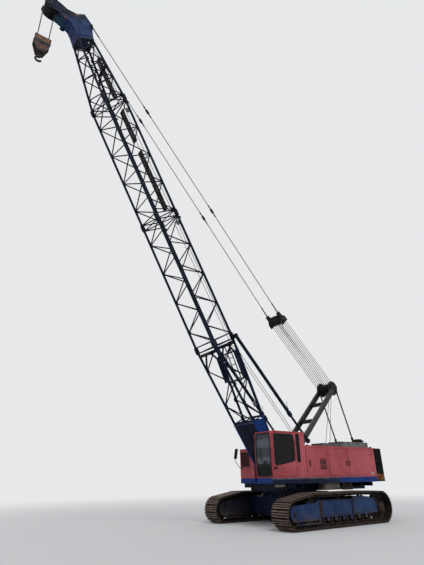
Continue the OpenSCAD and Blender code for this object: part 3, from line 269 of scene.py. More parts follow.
def paint(name, base, faded, gloss=0.45, patch=0.9, streak=0.35, chips=0.5, rust=0.35, dust=0.25,
        dust_top=None, stain=None, shine=0.3, where=None, powder=DUST):
    """Weathered machine paint: faded patches, rain streaks, chipped edges with rust, and dust on ledges.

    where(net, colour) may change the clean colour from place to place."""
    n = Net(name)
    large = n.noise(patch, 6, 0.62, warp=0.4)
    colour = n.mix(n.span(large, 0.36, 0.66), base, faded)
    if where:
        colour = where(n, colour)
    fine = n.noise(9, 4, 0.7)
    colour = n.mix(n.span(fine, 0.35, 0.75, 0, 0.3), colour, tuple(c * 0.62 for c in base[:3]) + (1,))
    drips = n.noise(3.2, 5, 0.65, where=n.place((3, 3, 0.22)))
    colour = n.mix(n.span(drips, 0.5, 0.72, 0, streak), colour,
        stain or tuple(c * 0.45 + 0.012 for c in base[:3]) + (1,))
    spots = n.noise(4.5, 8, 0.72, warp=0.8)
    colour = n.mix(n.span(spots, 0.60, 0.72, 0, rust), colour,
        n.mix(n.span(n.noise(30, 3), 0.4, 0.6), RUST, RUST_DARK))
    edge = n.times(n.edges(0.014), n.span(n.noise(14, 4, 0.7), 0.42, 0.6))
    colour = n.mix(n.times(edge, chips), colour, RUST)
    grime = n.times(n.span(n.facing(2), 0.3, 0.95), n.span(n.noise(2.4, 6, 0.65), 0.3, 0.75, 0.25, 1))
    if dust_top is not None:
        grime = n.calc("MAXIMUM", grime, n.times(n.span(n.axis(2), dust_top[1], dust_top[0]),
            n.span(n.noise(3.1, 7, 0.7), 0.38, 0.62)))
    colour = n.mix(n.times(grime, dust), colour, powder)
    rough = n.span(n.noise(5.5, 5, 0.6), 0.3, 0.75, gloss - 0.08, gloss + 0.2)
    skin = n.calc("ADD", n.times(n.noise(120, 2), 0.3), n.times(n.noise(1.6, 3), 0.7))
    return n.finish(colour, rough, normal=n.bump(skin, 0.16, 0.012), Specular_IOR_Level=shine)


def bare(name, base, other, rough=0.5, metal=0.6, scale=6, grain=0.35, rust=0.3):
    """Worn unpainted steel or cast iron."""
    n = Net(name)
    colour = n.mix(n.span(n.noise(scale, 7, 0.68, warp=0.5), 0.36, 0.64), base, other)
    colour = n.mix(n.span(n.noise(scale * 2.6, 6, 0.7), 0.52, 0.7, 0, rust), colour, RUST)
    colour = n.mix(n.times(n.edges(0.01), 0.5), colour, tuple(min(1, c * 1.9 + 0.03) for c in base[:3])
        + (1,))
    height = n.calc("ADD", n.times(n.noise(60, 4, 0.7), 0.6), n.times(n.noise(12, 4), 0.4))
    return n.finish(colour, n.span(n.noise(scale * 1.7, 5), 0.3, 0.7, rough - 0.12, rough + 0.16), metal,
        n.bump(height, grain, 0.008), Specular_IOR_Level=0.25)


# the boom's angle in the photo, its foot pin's distance along that line, and the hazard stripes' step
BOOM_ANGLE = radians(61)
FOOT_ALONG = 2.185
STRIPE_STEP = 0.34


def boom_line(n):
    """Distances along the boom from its foot pin and sideways from its middle."""
    along = n.dot(n.coords, (cos(BOOM_ANGLE), 0, sin(BOOM_ANGLE)))
    return n.calc("ADD", along, -FOOT_ALONG, False), n.calc("ABSOLUTE", n.axis(1))


def make_boom_blue():
    def where(n, colour):
        s, aside = boom_line(n)
        foot = n.below(s, 2.47)
        side = n.above(aside, 0.598)
        lattice = n.mix(n.span(n.noise(1.3, 5), 0.4, 0.65), rgb(7, 13, 30), rgb(14, 24, 48))
        # in the foot's box the side plates are bright blue and the other faces near-black blue: partly dark
        # paint, partly painted shade of the foot's underside
        low = n.mix(side, n.mix(n.span(n.noise(1.7, 6, 0.65), 0.38, 0.66), rgb(1, 8, 24), rgb(8, 15, 34)),
            rgb(12, 52, 112))
        rim = n.times(n.above(s, 2.35), n.below(s, 2.42))
        low = n.mix(n.times(rim, n.calc("SUBTRACT", 1, side)), low, rgb(38, 56, 88))
        colour = n.mix(n.below(s, 12), colour, n.mix(foot, lattice, low))
        # the head: mid blue at its root, dark towards the nose, with teal and rust-brown patches
        dark = n.mix(n.span(n.noise(2.6, 6, 0.7, warp=0.6), 0.42, 0.62), rgb(4, 8, 18), rgb(17, 27, 48))
        colour = n.mix(n.span(s, 22.3, 22.9), colour, dark)
        patches = n.noise(1.5, 4, 0.6, warp=0.5)
        colour = n.mix(n.times(n.span(s, 22.2, 22.6), n.span(patches, 0.56, 0.62, 0, 0.9)), colour,
            rgb(30, 66, 80))
        return n.mix(n.times(n.span(s, 22.2, 22.6), n.span(patches, 0.42, 0.36, 0, 0.85)), colour,
            rgb(98, 70, 56))
    return paint("boom_blue", rgb(22, 40, 84), rgb(44, 66, 104), 0.5, 0.9, 0.4, 0.5, 0.25, 0.15,
        shine=0.1, where=where, powder=rgb(70, 72, 76))


def make_frame_blue():
    def where(n, colour):
        # painted shade: the faces towards the machine's middle are drawn dark slate grey
        inner = n.below(n.calc("ABSOLUTE", n.axis(1)), 1.99)
        inner_painted_shade = n.mix(n.span(n.noise(2.2, 6, 0.65), 0.38, 0.64), rgb(22, 25, 32), rgb(38, 40, 46))
        colour = n.mix(inner, colour, inner_painted_shade)
        low = n.span(n.axis(2), 0.42, 0.30)
        return n.mix(n.times(low, n.span(n.noise(5, 6, 0.7), 0.36, 0.6)), colour, rgb(58, 52, 50))
    return paint("undercarriage_blue", rgb(14, 40, 84), rgb(34, 60, 98), 0.5, 1.1, 0.35, 0.8, 0.35, 0.4,
        (0.25, 0.7), rgb(38, 36, 40), shine=0.2, where=where, powder=rgb(88, 78, 68))


def make_deck_blue():
    def where(n, colour):
        # bright at the rear and under the cab's front, dark and dusty between
        x = n.calc("ADD", n.axis(0), n.span(n.noise(2.1, 5), 0.2, 0.8, -0.25, 0.25), False)
        flank = n.above(n.calc("ABSOLUTE", n.axis(1)), 1.62)
        mid = n.times(flank, n.span(x, -1.25, -0.75))
        worn = n.mix(n.span(n.noise(4.2, 7, 0.7), 0.38, 0.62), rgb(2, 5, 12), rgb(15, 17, 24))
        colour = n.mix(n.times(mid, 0.9), colour, worn)
        streak = n.times(n.times(n.span(n.axis(2), 1.640, 1.656), mid), n.span(n.noise(5, 5), 0.3, 0.55))
        return n.mix(streak, colour, rgb(96, 92, 96))
    return paint("deck_blue", rgb(10, 46, 112), rgb(26, 60, 122), 0.45, 0.9, 0.3, 0.6, 0.3, 0.12, None,
        rgb(12, 18, 32), shine=0.15, where=where)


def make_gantry():
    def where(n, colour):
        # painted shade: the far leg and the cross members between the legs are drawn near black
        far = n.below(n.axis(1), 0.37)
        shade = n.mix(n.span(n.noise(3.1, 6), 0.38, 0.64), rgb(13, 14, 15), rgb(30, 31, 32))
        return n.mix(far, colour, shade)
    return paint("gantry_grey", rgb(48, 52, 50), rgb(68, 71, 69), 0.5, 0.9, 0.6, 0.8, 0.4, 0.2, None,
        rgb(32, 33, 33), shine=0.22, where=where)


def make_house_red():
    return paint("house_red", rgb(152, 60, 67), rgb(180, 84, 91), gloss=0.45, patch=0.55, streak=0.35,
        chips=0.5, rust=0.15, dust=0.3, stain=rgb(110, 50, 52), shine=0.3, powder=rgb(132, 100, 92))


def make_roof_red():
    return paint("roof_red", rgb(160, 52, 48), rgb(178, 74, 66), gloss=0.45, patch=0.8, streak=0.3,
        chips=0.6, rust=0.3, dust=0.25, shine=0.3)


def make_track():
    n = Net("track_shoes")
    base = n.mix(n.span(n.noise(3.5, 7, 0.7, warp=0.6), 0.35, 0.66), rgb(16, 12, 11), rgb(44, 36, 31))
    colour = n.mix(n.span(n.noise(14, 6, 0.7), 0.5, 0.68), base, rgb(22, 17, 15))
    colour = n.mix(n.span(n.noise(7, 6, 0.7), 0.56, 0.72, 0, 0.5), colour, rgb(64, 38, 28))
    shine = n.times(n.edges(0.014), n.span(n.noise(6, 4), 0.3, 0.6, 0.4, 1))
    colour = n.mix(shine, colour, rgb(138, 122, 112))
    rough = n.span(shine, 0, 1, 0.9, 0.5)
    clods = n.calc("ADD", n.times(n.noise(22, 6, 0.75), 0.7), n.times(n.cells(40), 0.3))
    return n.finish(colour, rough, n.times(shine, 0.4), n.bump(clods, 0.5, 0.02), Specular_IOR_Level=0.2)


def make_glass():
    n = Net("glass_dark")
    film = n.noise(2.2, 6, 0.65, where=n.place((1, 1, 0.35)))
    # painted reflection: the windscreen is drawn in the sky's pale greys; painted shade: the other panes are
    # drawn near black, as the shaded cab behind them
    screen = n.times(n.above(n.axis(0), 2.62), n.above(n.axis(2), 2.13))
    slant = n.span(n.wave(0.55, n.place((1, 1, 1), (0, 35, 0)), 1.5, "Z"), 0.35, 0.75)
    sky = n.mix(slant, rgb(66, 70, 80), rgb(96, 100, 110))
    dark = n.mix(n.span(film, 0.35, 0.7), rgb(6, 7, 8), rgb(14, 15, 16))
    return n.finish(n.mix(screen, dark, sky), n.span(film, 0.3, 0.8, 0.03, 0.14),
        normal=n.bump(n.noise(0.9, 2), 0.03, 0.02), Transmission_Weight=0.2, IOR=1.45,
        Specular_IOR_Level=0.12)


def make_ballast():
    n = Net("ballast_green")
    colour = n.mix(n.span(n.noise(1.2, 7, 0.65, warp=0.4), 0.36, 0.66), rgb(7, 9, 11), rgb(16, 19, 21))
    colour = n.mix(n.span(n.noise(3, 5, 0.65, where=n.place((3, 3, 0.25))), 0.5, 0.74, 0, 0.4), colour,
        rgb(40, 39, 36))
    chip = n.times(n.edges(0.02), n.span(n.noise(9, 4), 0.4, 0.6))
    colour = n.mix(chip, colour, rgb(64, 44, 36))
    # hazard band along the lower edge
    slope = n.dot(n.coords, (0.6, 1, 1))
    stripe = n.above(n.calc("FRACT", n.calc("DIVIDE", slope, STRIPE_STEP)), 0.5)
    band = n.mix(stripe, rgb(112, 52, 30), rgb(122, 92, 40))
    band = n.mix(n.span(n.noise(7, 6, 0.7), 0.4, 0.66), band, rgb(48, 38, 34))
    height = n.axis(2)
    inside = n.times(n.above(height, 1.56), n.below(height, 1.80))
    colour = n.mix(inside, colour, band)
    skin = n.calc("ADD", n.times(n.noise(45, 4, 0.7), 0.5), n.times(n.noise(5, 4), 0.5))
    return n.finish(colour, n.span(n.noise(4, 5), 0.3, 0.7, 0.6, 0.85), normal=n.bump(skin, 0.3, 0.015),
        Specular_IOR_Level=0.06)


def make_rope():
    n = Net("rope")
    lay = n.wave(26, n.place((1, 1, 1), (30, 25, 0)), 0, "DIAGONAL")
    colour = n.mix(lay, rgb(14, 14, 15), rgb(48, 47, 47))
    colour = n.mix(n.span(n.noise(2.5, 5), 0.5, 0.7, 0, 0.5), colour, rgb(30, 22, 19))
    return n.finish(colour, n.span(n.noise(8, 3), 0.3, 0.7, 0.5, 0.7),
        n.span(n.noise(5, 3), 0.2, 0.8, 0.1, 0.3), n.bump(lay, 0.8, 0.006), Specular_IOR_Level=0.25)


def make_hook_paint():
    n = Net("hook_orange")
    height = n.axis(2)
    # faded bands across the block's cheeks
    colour = rgb(32, 28, 31)
    for low, high, tone in ((19.455, 19.515, rgb(168, 104, 54)), (19.34, 19.395, rgb(156, 118, 94)),
            (18.80, 19.06, rgb(92, 60, 44))):
        band = n.times(n.above(height, low), n.below(height, high))
        colour = n.mix(band, colour, tone)
    colour = n.mix(n.span(n.noise(11, 7, 0.7), 0.46, 0.66), colour, rgb(52, 38, 34))
    colour = n.mix(n.times(n.edges(0.012), 0.5), colour, rgb(104, 84, 68))
    return n.finish(colour, n.span(n.noise(6, 5), 0.3, 0.7, 0.5, 0.8),
        normal=n.bump(n.noise(30, 5, 0.7), 0.35, 0.008), Specular_IOR_Level=0.25)


def make_lamp():
    n = Net("lamp_red")
    rings = n.wave(30, n.place((1, 1, 1)), 0, "Z")
    colour = n.mix(rings, rgb(120, 18, 16), rgb(168, 36, 28))
    return n.finish(n.mix(n.span(n.noise(12, 4), 0.45, 0.7, 0, 0.5), colour, rgb(84, 40, 34)), 0.22,
        normal=n.bump(rings, 0.3, 0.003))


def make_mirror_face():
    n = Net("mirror_face")
    film = n.noise(6, 5, 0.6)
    return n.finish(n.mix(n.span(film, 0.35, 0.7), rgb(196, 200, 204), rgb(160, 160, 158)),
        n.span(film, 0.3, 0.8, 0.03, 0.2), 1.0, n.bump(film, 0.02, 0.002))


FINISH = {
    "track_shoes": make_track(),
    "undercarriage_blue": make_frame_blue(),
    "carbody_blue": paint("carbody_blue", rgb(8, 14, 34), rgb(16, 28, 58), 0.5, 1.0, 0.4, 0.6, 0.35, 0.4,
        (0.25, 0.5), rgb(26, 24, 26), shine=0.15, powder=rgb(64, 58, 54)),
    "roller_steel": bare("roller_steel", rgb(30, 24, 22), rgb(58, 46, 40), 0.7, 0.2, 7, 0.45, 0.4),
    "deck_blue": make_deck_blue(),
    "house_red": make_house_red(),
    "glass_dark": make_glass(),
    "cab_trim": bare("cab_trim", rgb(20, 20, 22), rgb(34, 33, 34), 0.75, 0.0, 8, 0.3, 0.0),
    "grille_red": paint("grille_red", rgb(58, 24, 25), rgb(78, 36, 36), 0.5, 1.5, 0.3, 0.5, 0.4, 0.3,
        shine=0.2),
    "engine_grey": bare("engine_grey", rgb(50, 54, 52), rgb(32, 32, 31), 0.6, 0.3, 5, 0.4, 0.3),
    "box_beige": paint("box_beige", rgb(84, 84, 76), rgb(104, 102, 92), 0.5, 1.3, 0.5, 0.6, 0.35, 0.3,
        None, rgb(52, 48, 42), shine=0.25),
    "plate_red": paint("plate_red", rgb(58, 34, 32), rgb(46, 34, 33), 0.55, 2.0, 0.5, 0.7, 0.6, 0.2,
        shine=0.2),
    "box_grey": paint("box_grey", rgb(84, 87, 87), rgb(108, 110, 110), 0.5, 1.1, 0.5, 0.4, 0.3, 0.4,
        None, rgb(56, 55, 52), shine=0.3),
    "exhaust_dark": bare("exhaust_dark", rgb(30, 27, 26), rgb(54, 42, 36), 0.7, 0.4, 6, 0.4, 0.5),
    "ballast_green": make_ballast(),
    "gantry_grey": make_gantry(),
    "sheave_dark": bare("sheave_dark", rgb(18, 18, 20), rgb(34, 33, 34), 0.6, 0.2, 9, 0.3, 0.25),
    "boom_navy": paint("boom_navy", rgb(7, 13, 30), rgb(16, 26, 50), 0.5, 0.8, 0.3, 0.5, 0.3, 0.2,
        shine=0.12, powder=rgb(64, 64, 68)),
    "boom_blue": make_boom_blue(),
    "grating": bare("grating", rgb(34, 34, 36), rgb(52, 51, 50), 0.7, 0.3, 5, 0.3, 0.35),
    "rope": make_rope(),
    "hook_orange": make_hook_paint(),
    "hook_steel": bare("hook_steel", rgb(36, 33, 32), rgb(66, 60, 56), 0.55, 0.4, 8, 0.3, 0.3),
}
ROOF_RED = make_roof_red()
LAMP_RED = make_lamp()
MIRROR = make_mirror_face()
VENT = bare("vent_paint", rgb(92, 42, 44), rgb(58, 26, 28), 0.6, 0.0, 7, 0.3, 0.2)
TIPS = bare("grouser_tips", rgb(136, 120, 108), rgb(92, 76, 66), 0.55, 0.4, 6, 0.5, 0.5)
PRIMER = paint("primer_patch", rgb(176, 166, 166), rgb(150, 138, 138), 0.5, 6, 0.4, 0.2, 0.2, 0.3)


def dress_frame():
    for entry in frame["record"]["subparts"]:
        thing = frame["nodes"][entry["node"]]
        finish = FINISH[entry["material_slot"]]
        if not thing.material_slots:
            thing.data.materials.append(finish)
        for place in thing.material_slots:
            place.material = finish


bpy.context.scene.view_settings.view_transform = "Standard"
dress_frame()


# mesh building

def frame_of(axis):
    """A matrix whose Z runs along axis."""
    return Vector(axis).normalized().to_track_quat("Z", "Y").to_matrix()


class Kit:
    """Collects closed forms into one mesh, in metres and in the row frame."""

    def __init__(self):
        self.points = []
        self.faces = []

    def add(self, points, faces):
        n = len(self.points)
        self.points += [tuple(p) for p in points]
        self.faces += [tuple(n + i for i in f) for f in faces]

    def box(self, one, other):
        """A box between two opposite corners, given in any order."""
        xs, ys, zs = (sorted(pair) for pair in zip(one, other))
        pts = [Vector((x, y, z)) for x in xs for y in ys for z in zs]
        self.add(pts, [(0, 1, 3, 2), (4, 6, 7, 5), (0, 4, 5, 1), (2, 3, 7, 6), (0, 2, 6, 4),
            (1, 5, 7, 3)])

    def bar(self, a, b, w, t, side=(0, 1, 0)):
        """A rectangular bar from a to b, w wide along side and t thick across it."""
        a, b = Vector(a), Vector(b)
        d = (b - a).normalized()
        s = (Vector(side) - Vector(side).dot(d) * d).normalized() * w / 2
        u = d.cross(s).normalized() * t / 2
        self.add([p + i * s + j * u for p in (a, b) for i, j in ((-1, -1), (1, -1), (1, 1), (-1, 1))],
            [(0, 3, 2, 1), (4, 5, 6, 7)] + [(k, (k + 1) % 4, 4 + (k + 1) % 4, 4 + k) for k in range(4)])

    def lathe(self, at, axis, rings, n=20, turn=0.0):
        """A turned form: rings are (distance along axis, radius)."""
        at, m = Vector(at), frame_of(axis)
        pts, faces = [], []
        for h, r in rings:
            pts += [at + m @ Vector((r * cos(2 * pi * k / n + turn), r * sin(2 * pi * k / n + turn), h))
                for k in range(n)]
        for i in range(len(rings) - 1):
            faces += [(i * n + k, i * n + (k + 1) % n, (i + 1) * n + (k + 1) % n, (i + 1) * n + k)
                for k in range(n)]
        faces += [tuple(reversed(range(n))), tuple((len(rings) - 1) * n + k for k in range(n))]
        self.add(pts, faces)

    def rod(self, a, b, r, n=12, r2=None):
        d = Vector(b) - Vector(a)
        self.lathe(a, d, [(0, r), (d.length, r if r2 is None else r2)], n)

    def bolt(self, at, axis, r=0.014, h=0.012):
        self.lathe(at, axis, [(0, r * 1.45), (h * 0.22, r * 1.45)], 12)
        self.lathe(Vector(at) + Vector(axis).normalized() * h * 0.2, axis,
            [(0, r * 1.15), (h * 0.75, r * 1.15), (h, r * 0.85)], 6)

    def bolt_circle(self, at, axis, radius, count, r=0.014, h=0.012, start=0.0):
        m = frame_of(axis)
        for k in range(count):
            a = 2 * pi * k / count + start
            self.bolt(Vector(at) + m @ Vector((radius * cos(a), radius * sin(a), 0)), axis, r, h)

    def pipe(self, path, r, n=8, closed=False):
        """A round pipe along a path, with joined rings."""
        pts = [Vector(p) for p in path]
        rings, count = [], len(pts)
        last = None
        for i, p in enumerate(pts):
            if closed:
                d = (pts[(i + 1) % count] - pts[i - 1]).normalized()
            else:
                d = (pts[min(i + 1, count - 1)] - pts[max(i - 1, 0)]).normalized()
            if last is None:
                u = d.orthogonal().normalized()
            else:
                u = (last - last.dot(d) * d).normalized()
            last = u
            v = d.cross(u)
            rings.append([p + r * (cos(2 * pi * k / n) * u + sin(2 * pi * k / n) * v) for k in range(n)])
        faces = []
        for i in range(count if closed else count - 1):
            j = (i + 1) % count
            faces += [(i * n + k, i * n + (k + 1) % n, j * n + (k + 1) % n, j * n + k) for k in range(n)]
        if not closed:
            faces += [tuple(reversed(range(n))), tuple((count - 1) * n + k for k in range(n))]
        self.add([q for ring in rings for q in ring], faces)

    def hoop(self, at, axis, radius, r, n=24, sides=8):
        m = frame_of(axis)
        self.pipe([Vector(at) + m
            @ Vector((radius * cos(2 * pi * k / n), radius * sin(2 * pi * k / n), 0)) for k in range(n)],
            r, sides, True)

    def plate(self, outline, place, t):
        """A flat plate t thick from 2-D points; place maps (u, v, w) to the row frame."""
        n = len(outline)
        pts = [place(u, v, w) for w in (-t / 2, t / 2) for u, v in outline]
        self.add(pts, [tuple(reversed(range(n))), tuple(range(n, 2 * n))]
            + [(k, (k + 1) % n, n + (k + 1) % n, n + k) for k in range(n)])

    def panel(self, outline, place, t, holes=()):
        """A plate with cut openings, each hole a list of 2-D points."""
        bm = bmesh.new()
        edges = []
        for loop in [outline] + list(holes):
            vs = [bm.verts.new((u, v, 0)) for u, v in loop]
            edges += [bm.edges.new((vs[k], vs[(k + 1) % len(vs)])) for k in range(len(vs))]
        bmesh.ops.triangle_fill(bm, use_beauty=True, edges=edges)
        flat = [(v.co.x, v.co.y) for v in bm.verts]
        bm.verts.index_update()
        tris = [[v.index for v in f.verts] for f in bm.faces]
        rims = [(e.verts[0].index, e.verts[1].index) for e in bm.edges if len(e.link_faces) == 1]
        bm.free()
        n = len(flat)
        self.add([place(u, v, w) for w in (-t / 2, t / 2) for u, v in flat],
            [tuple(reversed(f)) for f in tris] + [tuple(n + i for i in f) for f in tris]
            + [(a, b, n + b, n + a) for a, b in rims])

    def sphere(self, at, r, n=12, squeeze=(1, 1, 1)):
        rows = n // 2
        pts = [Vector(at) + Vector((0, 0, -r * squeeze[2]))]
        for i in range(1, rows):
            a = -pi / 2 + pi * i / rows
            pts += [Vector(at) + Vector((r * squeeze[0] * cos(a) * cos(2 * pi * k / n),
                r * squeeze[1] * cos(a) * sin(2 * pi * k / n), r * squeeze[2] * sin(a)))
                for k in range(n)]
        pts.append(Vector(at) + Vector((0, 0, r * squeeze[2])))
        faces = [(0, 1 + (k + 1) % n, 1 + k) for k in range(n)]
        for i in range(rows - 2):
            faces += [(1 + i * n + k, 1 + i * n + (k + 1) % n, 1 + (i + 1) * n + (k + 1) % n,
                1 + (i + 1) * n + k) for k in range(n)]
        top = len(pts) - 1
        faces += [(top, 1 + (rows - 2) * n + k, 1 + (rows - 2) * n + (k + 1) % n) for k in range(n)]
        self.add(pts, faces)

    def done(self, name, finish, body, bevel=0.0, smooth=38, segments=2):
        mesh = bpy.data.meshes.new(name)
        mesh.from_pydata(self.points, [], self.faces)
        bm = bmesh.new()
        bm.from_mesh(mesh)
        bmesh.ops.recalc_face_normals(bm, faces=bm.faces)
        if bevel:
            sharp = [e for e in bm.edges if e.is_manifold and e.calc_face_angle(0) > radians(35)]
            bmesh.ops.bevel(bm, geom=sharp, offset=bevel, segments=segments, profile=0.6, affect="EDGES",
                clamp_overlap=True)
        for f in bm.faces:
            f.smooth = True
        for e in bm.edges:
            e.smooth = not e.is_manifold or e.calc_face_angle(0) < radians(smooth)
        bm.to_mesh(mesh)
        bm.free()
        thing = bpy.data.objects.new(name, mesh)
        bpy.context.scene.collection.objects.link(thing)
        material = FINISH[finish] if isinstance(finish, str) else finish
        mesh.materials.append(material)
        if body:
            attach(thing, body)
        return thing


FOOT = Vector((1.218, 0, 1.823))
ALONG = Vector((cos(BOOM_ANGLE), 0, sin(BOOM_ANGLE)))
BACKWARD = Vector((-sin(BOOM_ANGLE), 0, cos(BOOM_ANGLE)))


def boom(s, y, t):
    """A point s along the boom from its foot pin, y sideways and t towards its back."""
    return FOOT + s * ALONG + t * BACKWARD + Vector((0, y, 0))


def on_boom(y):
    """Places an outline in the boom's upright plane at y: along the boom, and towards its back."""
    return lambda s, t, w: boom(s, y + w, t)


def side_plane(y):
    """Places an outline of x and z upright at y."""
    return lambda x, z, w: Vector((x, y + w, z))


def front_plane(x):
    """Places an outline of y and z upright at x."""
    return lambda y, z, w: Vector((x + w, y, z))


def level(z):
    """Places an outline of x and y flat at height z."""
    return lambda x, y, w: Vector((x, y, z + w))


def rectangle(x0, z0, x1, z1):
    """The four corners of a rectangle."""
    return [(x0, z0), (x1, z0), (x1, z1), (x0, z1)]


def disc(x, z, r, step):
    """Points on a circle, one every step degrees."""
    return [(x + r * cos(radians(a)), z + r * sin(radians(a))) for a in range(0, 360, step)]


def toothed(count, tooth):
    """A toothed outline; a tooth's points are (share of one step, radius)."""
    turns = [(2 * pi * (k + f) / count, r) for k in range(count) for f, r in tooth]
    return [(r * cos(a), r * sin(a)) for a, r in turns]


def rounded(x0, z0, x1, z1, r, n=5):
    """The corners of a rectangle rounded by r."""
    out = []
    for cx, cz, a0 in ((x1 - r, z0 + r, -90), (x1 - r, z1 - r, 0), (x0 + r, z1 - r, 90),
            (x0 + r, z0 + r, 180)):
        out += [(cx + r * cos(radians(a0 + 90 * k / n)), cz + r * sin(radians(a0 + 90 * k / n)))
            for k in range(n + 1)]
    return out


def smooth_path(points, steps):
    """Points on a smooth curve through the given ones."""
    p = [Vector(q) for q in points]
    p = [2 * p[0] - p[1]] + p + [2 * p[-1] - p[-2]]
    out = []
    for i in range(1, len(p) - 2):
        for k in range(steps):
            t = k / steps
            out.append(0.5 * (2 * p[i] + (p[i + 1] - p[i - 1]) * t
                + (2 * p[i - 1] - 5 * p[i] + 4 * p[i + 1] - p[i + 2]) * t * t
                + (3 * p[i] - p[i - 1] - 3 * p[i + 1] + p[i + 2]) * t ** 3))
    out.append(p[-2])
    return out


# where the drums, the gantry's head and the bridle stand, as x and z
DRUMS = ((0.150, 2.057), (-0.900, 2.057), (-1.950, 2.027))
HEAD_X, HEAD_Z = -2.854, 5.736
BRIDLE_X, BRIDLE_Z = 0.497, 9.048


# tracks

TRACK_Y = 2.125
FRAME_FACE, COVER_FACE = 2.355, 2.383
ROLLER_STEP = 0.445
SHOE_STEP = 0.24
# x, z and radius under the shoe plates: sprocket, idler, and the bends over two carrier rollers
LOOP = ((-2.41, 0.582, 0.526), (2.45, 0.512, 0.456), (1.45, 0.893, 0.24), (-1.55, 0.893, 0.24))
DRIVE = Vector((-2.41, 0, 0.582))
IDLE = Vector((2.45, 0, 0.512))
LINK_H = 0.096
LINK_RAILS = (-0.085, 0.085)
# raised covers on the frame's outer face: ends in x, foot and top in z, and how far they stand out
FRAME_PANELS = ((-1.70, -0.82, 0.45, 0.93, 0.026), (-0.58, 0.30, 0.43, 0.88, 0),
    (0.36, 1.03, 0.43, 0.88, 0))
FRAME_ROLLERS = [-2.385 + 0.64 + k * ROLLER_STEP for k in range(9)]


def loop_runs():
    """Each circle's arc and the straight run after it, as (start angle, turn, run length)."""
    normals = []
    for i in range(len(LOOP)):
        a, b = LOOP[i], LOOP[(i + 1) % len(LOOP)]
        dx, dz = b[0] - a[0], b[1] - a[1]
        d = sqrt(dx * dx + dz * dz)
        normals.append(atan2(dz, dx) - acos((a[2] - b[2]) / d))
    runs = []
    for i in range(len(LOOP)):
        a, b = LOOP[i], LOOP[(i + 1) % len(LOOP)]
        d = sqrt((b[0] - a[0]) ** 2 + (b[1] - a[1]) ** 2)
        turn = (normals[i] - normals[i - 1]) % (2 * pi)
        runs.append((normals[i - 1], turn, sqrt(d * d - (a[2] - b[2]) ** 2)))
    return runs


RUNS = loop_runs()
LOOP_LENGTH = sum(LOOP[i][2] * RUNS[i][1] + RUNS[i][2] for i in range(len(LOOP)))
SHOES = round(LOOP_LENGTH / SHOE_STEP)
STEP = LOOP_LENGTH / SHOES


def loop_at(u):
    """The place at u along the loop: x, z and the angle that points outwards there."""
    u %= LOOP_LENGTH
    for i in range(len(LOOP)):
        x, z, r = LOOP[i]
        start, turn, run = RUNS[i]
        if u <= r * turn:
            a = start + u / r
            return x + r * cos(a), z + r * sin(a), a
        u -= r * turn
        if u <= run:
            a = start + turn
            return x + r * cos(a) - u * sin(a), z + r * sin(a) + u * cos(a), a
        u -= run
    return loop_at(0)


def on_shoe(k, side):
    """Maps (along the shoe, out from its underside, y from the track's middle) to the row frame."""
    x, z, a = loop_at(k * STEP)
    return lambda u, h, w=0.0: Vector((x + h * cos(a) - u * sin(a), side * TRACK_Y + w,
        z + h * sin(a) + u * cos(a)))


def moved_across(at, y):
    """The same placement, moved by y across the machine."""
    return lambda u, h, w: at(u, h, y + w)


def shoe_outline():
    """A shoe's cross-section with its three grousers, along the belt and outwards."""
    half = STEP / 2 - 0.007
    ribs = [(half, 0), (half, 0.018)]
    for g in (1, 0, -1):
        ribs += [(g * STEP / 3 + u, h) for u, h in ((0.022, 0.020), (0.014, 0.053), (-0.014, 0.053),
            (-0.022, 0.020))]
    ribs[2] = (half, 0.020)
    ribs += [(-half, 0.018), (-half, 0)]
    ribs[-3] = (-half, 0.020)
    return ribs


def add_frame_shade_plate(side, name):
    """A dark web plate under the top run, in front of the middle carrier roller: painted shade that fills
    the gap between the belt's runs.
    """
    web = Kit()
    over = [loop_at(k * STEP / 2) for k in range(2 * SHOES)]
    over = sorted((x - 0.035 * cos(a), z - 0.035 * sin(a)) for x, z,
        a in over if 0.14 < x < 2.66 and z > 0.7)
    foot = [(0.14, 0.80), (1.18, 0.80), (1.98, 0.76), (2.44, 0.74), (2.60, 0.70)]
    web.plate(foot + over[::-1], side_plane(side * (TRACK_Y - 0.19)), 0.010)
    web.done("frame_shade_plate_" + name, "sheave_dark", "undercarriage")


def add_grouser_tips(side, name):
    """The worn tips of each shoe's three grousers."""
    tips = Kit()
    for k in range(SHOES):
        at = on_shoe(k, side)
        for g in (1, 0, -1):
            ends = [at(g * STEP / 3, 0.0525, w) for w in (-0.4212, 0.4212)]
            tips.bar(*ends, 0.030, 0.006, at(1, 0) - at(0, 0))
    tips.done("grouser_tips_" + name, TIPS, "undercarriage")


def add_shoe_bolts(side, name):
    bolts = Kit()
    for k in range(SHOES):
        at = on_shoe(k, side)
        out = at(0, 1) - at(0, 0)
        for u in (-STEP / 6, STEP / 6):
            for w in (-0.13, -0.04, 0.04, 0.13):
                bolts.bolt(at(u, 0.0205, w), out, 0.013, 0.013)
    bolts.done("track_bolts_" + name, "track_shoes", "undercarriage", smooth=30)


def add_links(side, name):
    """Links on both rails: blocks, figure-of-eight plates, and the pins that join them."""
    links = Kit()
    low, high = STEP / 2 - 0.006, STEP / 2 + 0.004
    block = [(-high, -0.002), (high, -0.002), (low, -LINK_H), (-low, -LINK_H)]
    eight = []
    for end in (-1, 1):
        for q in range(7):
            a = radians(-90 + 180 * q / 6) if end > 0 else radians(90 + 180 * q / 6)
            eight.append((end * (STEP / 2 - 0.022) + 0.040 * cos(a), -0.052 + 0.040 * sin(a)))
    for k in range(SHOES):
        at, joint = on_shoe(k, side), on_shoe(k + 0.5, side)
        for rail in LINK_RAILS:
            links.plate(block, moved_across(at, rail), 0.05)
        for rail in LINK_RAILS:
            for face in (-1, 1):
                w = rail + face * (0.029 if (face > 0) == (k % 2 > 0) else 0.0295)
                links.plate(eight, moved_across(at, w), 0.009)
        links.rod(joint(0, -0.052, -0.135), joint(0, -0.052, 0.135), 0.021, 10)
    links.done("track_links_" + name, "track_shoes", "undercarriage", smooth=40)


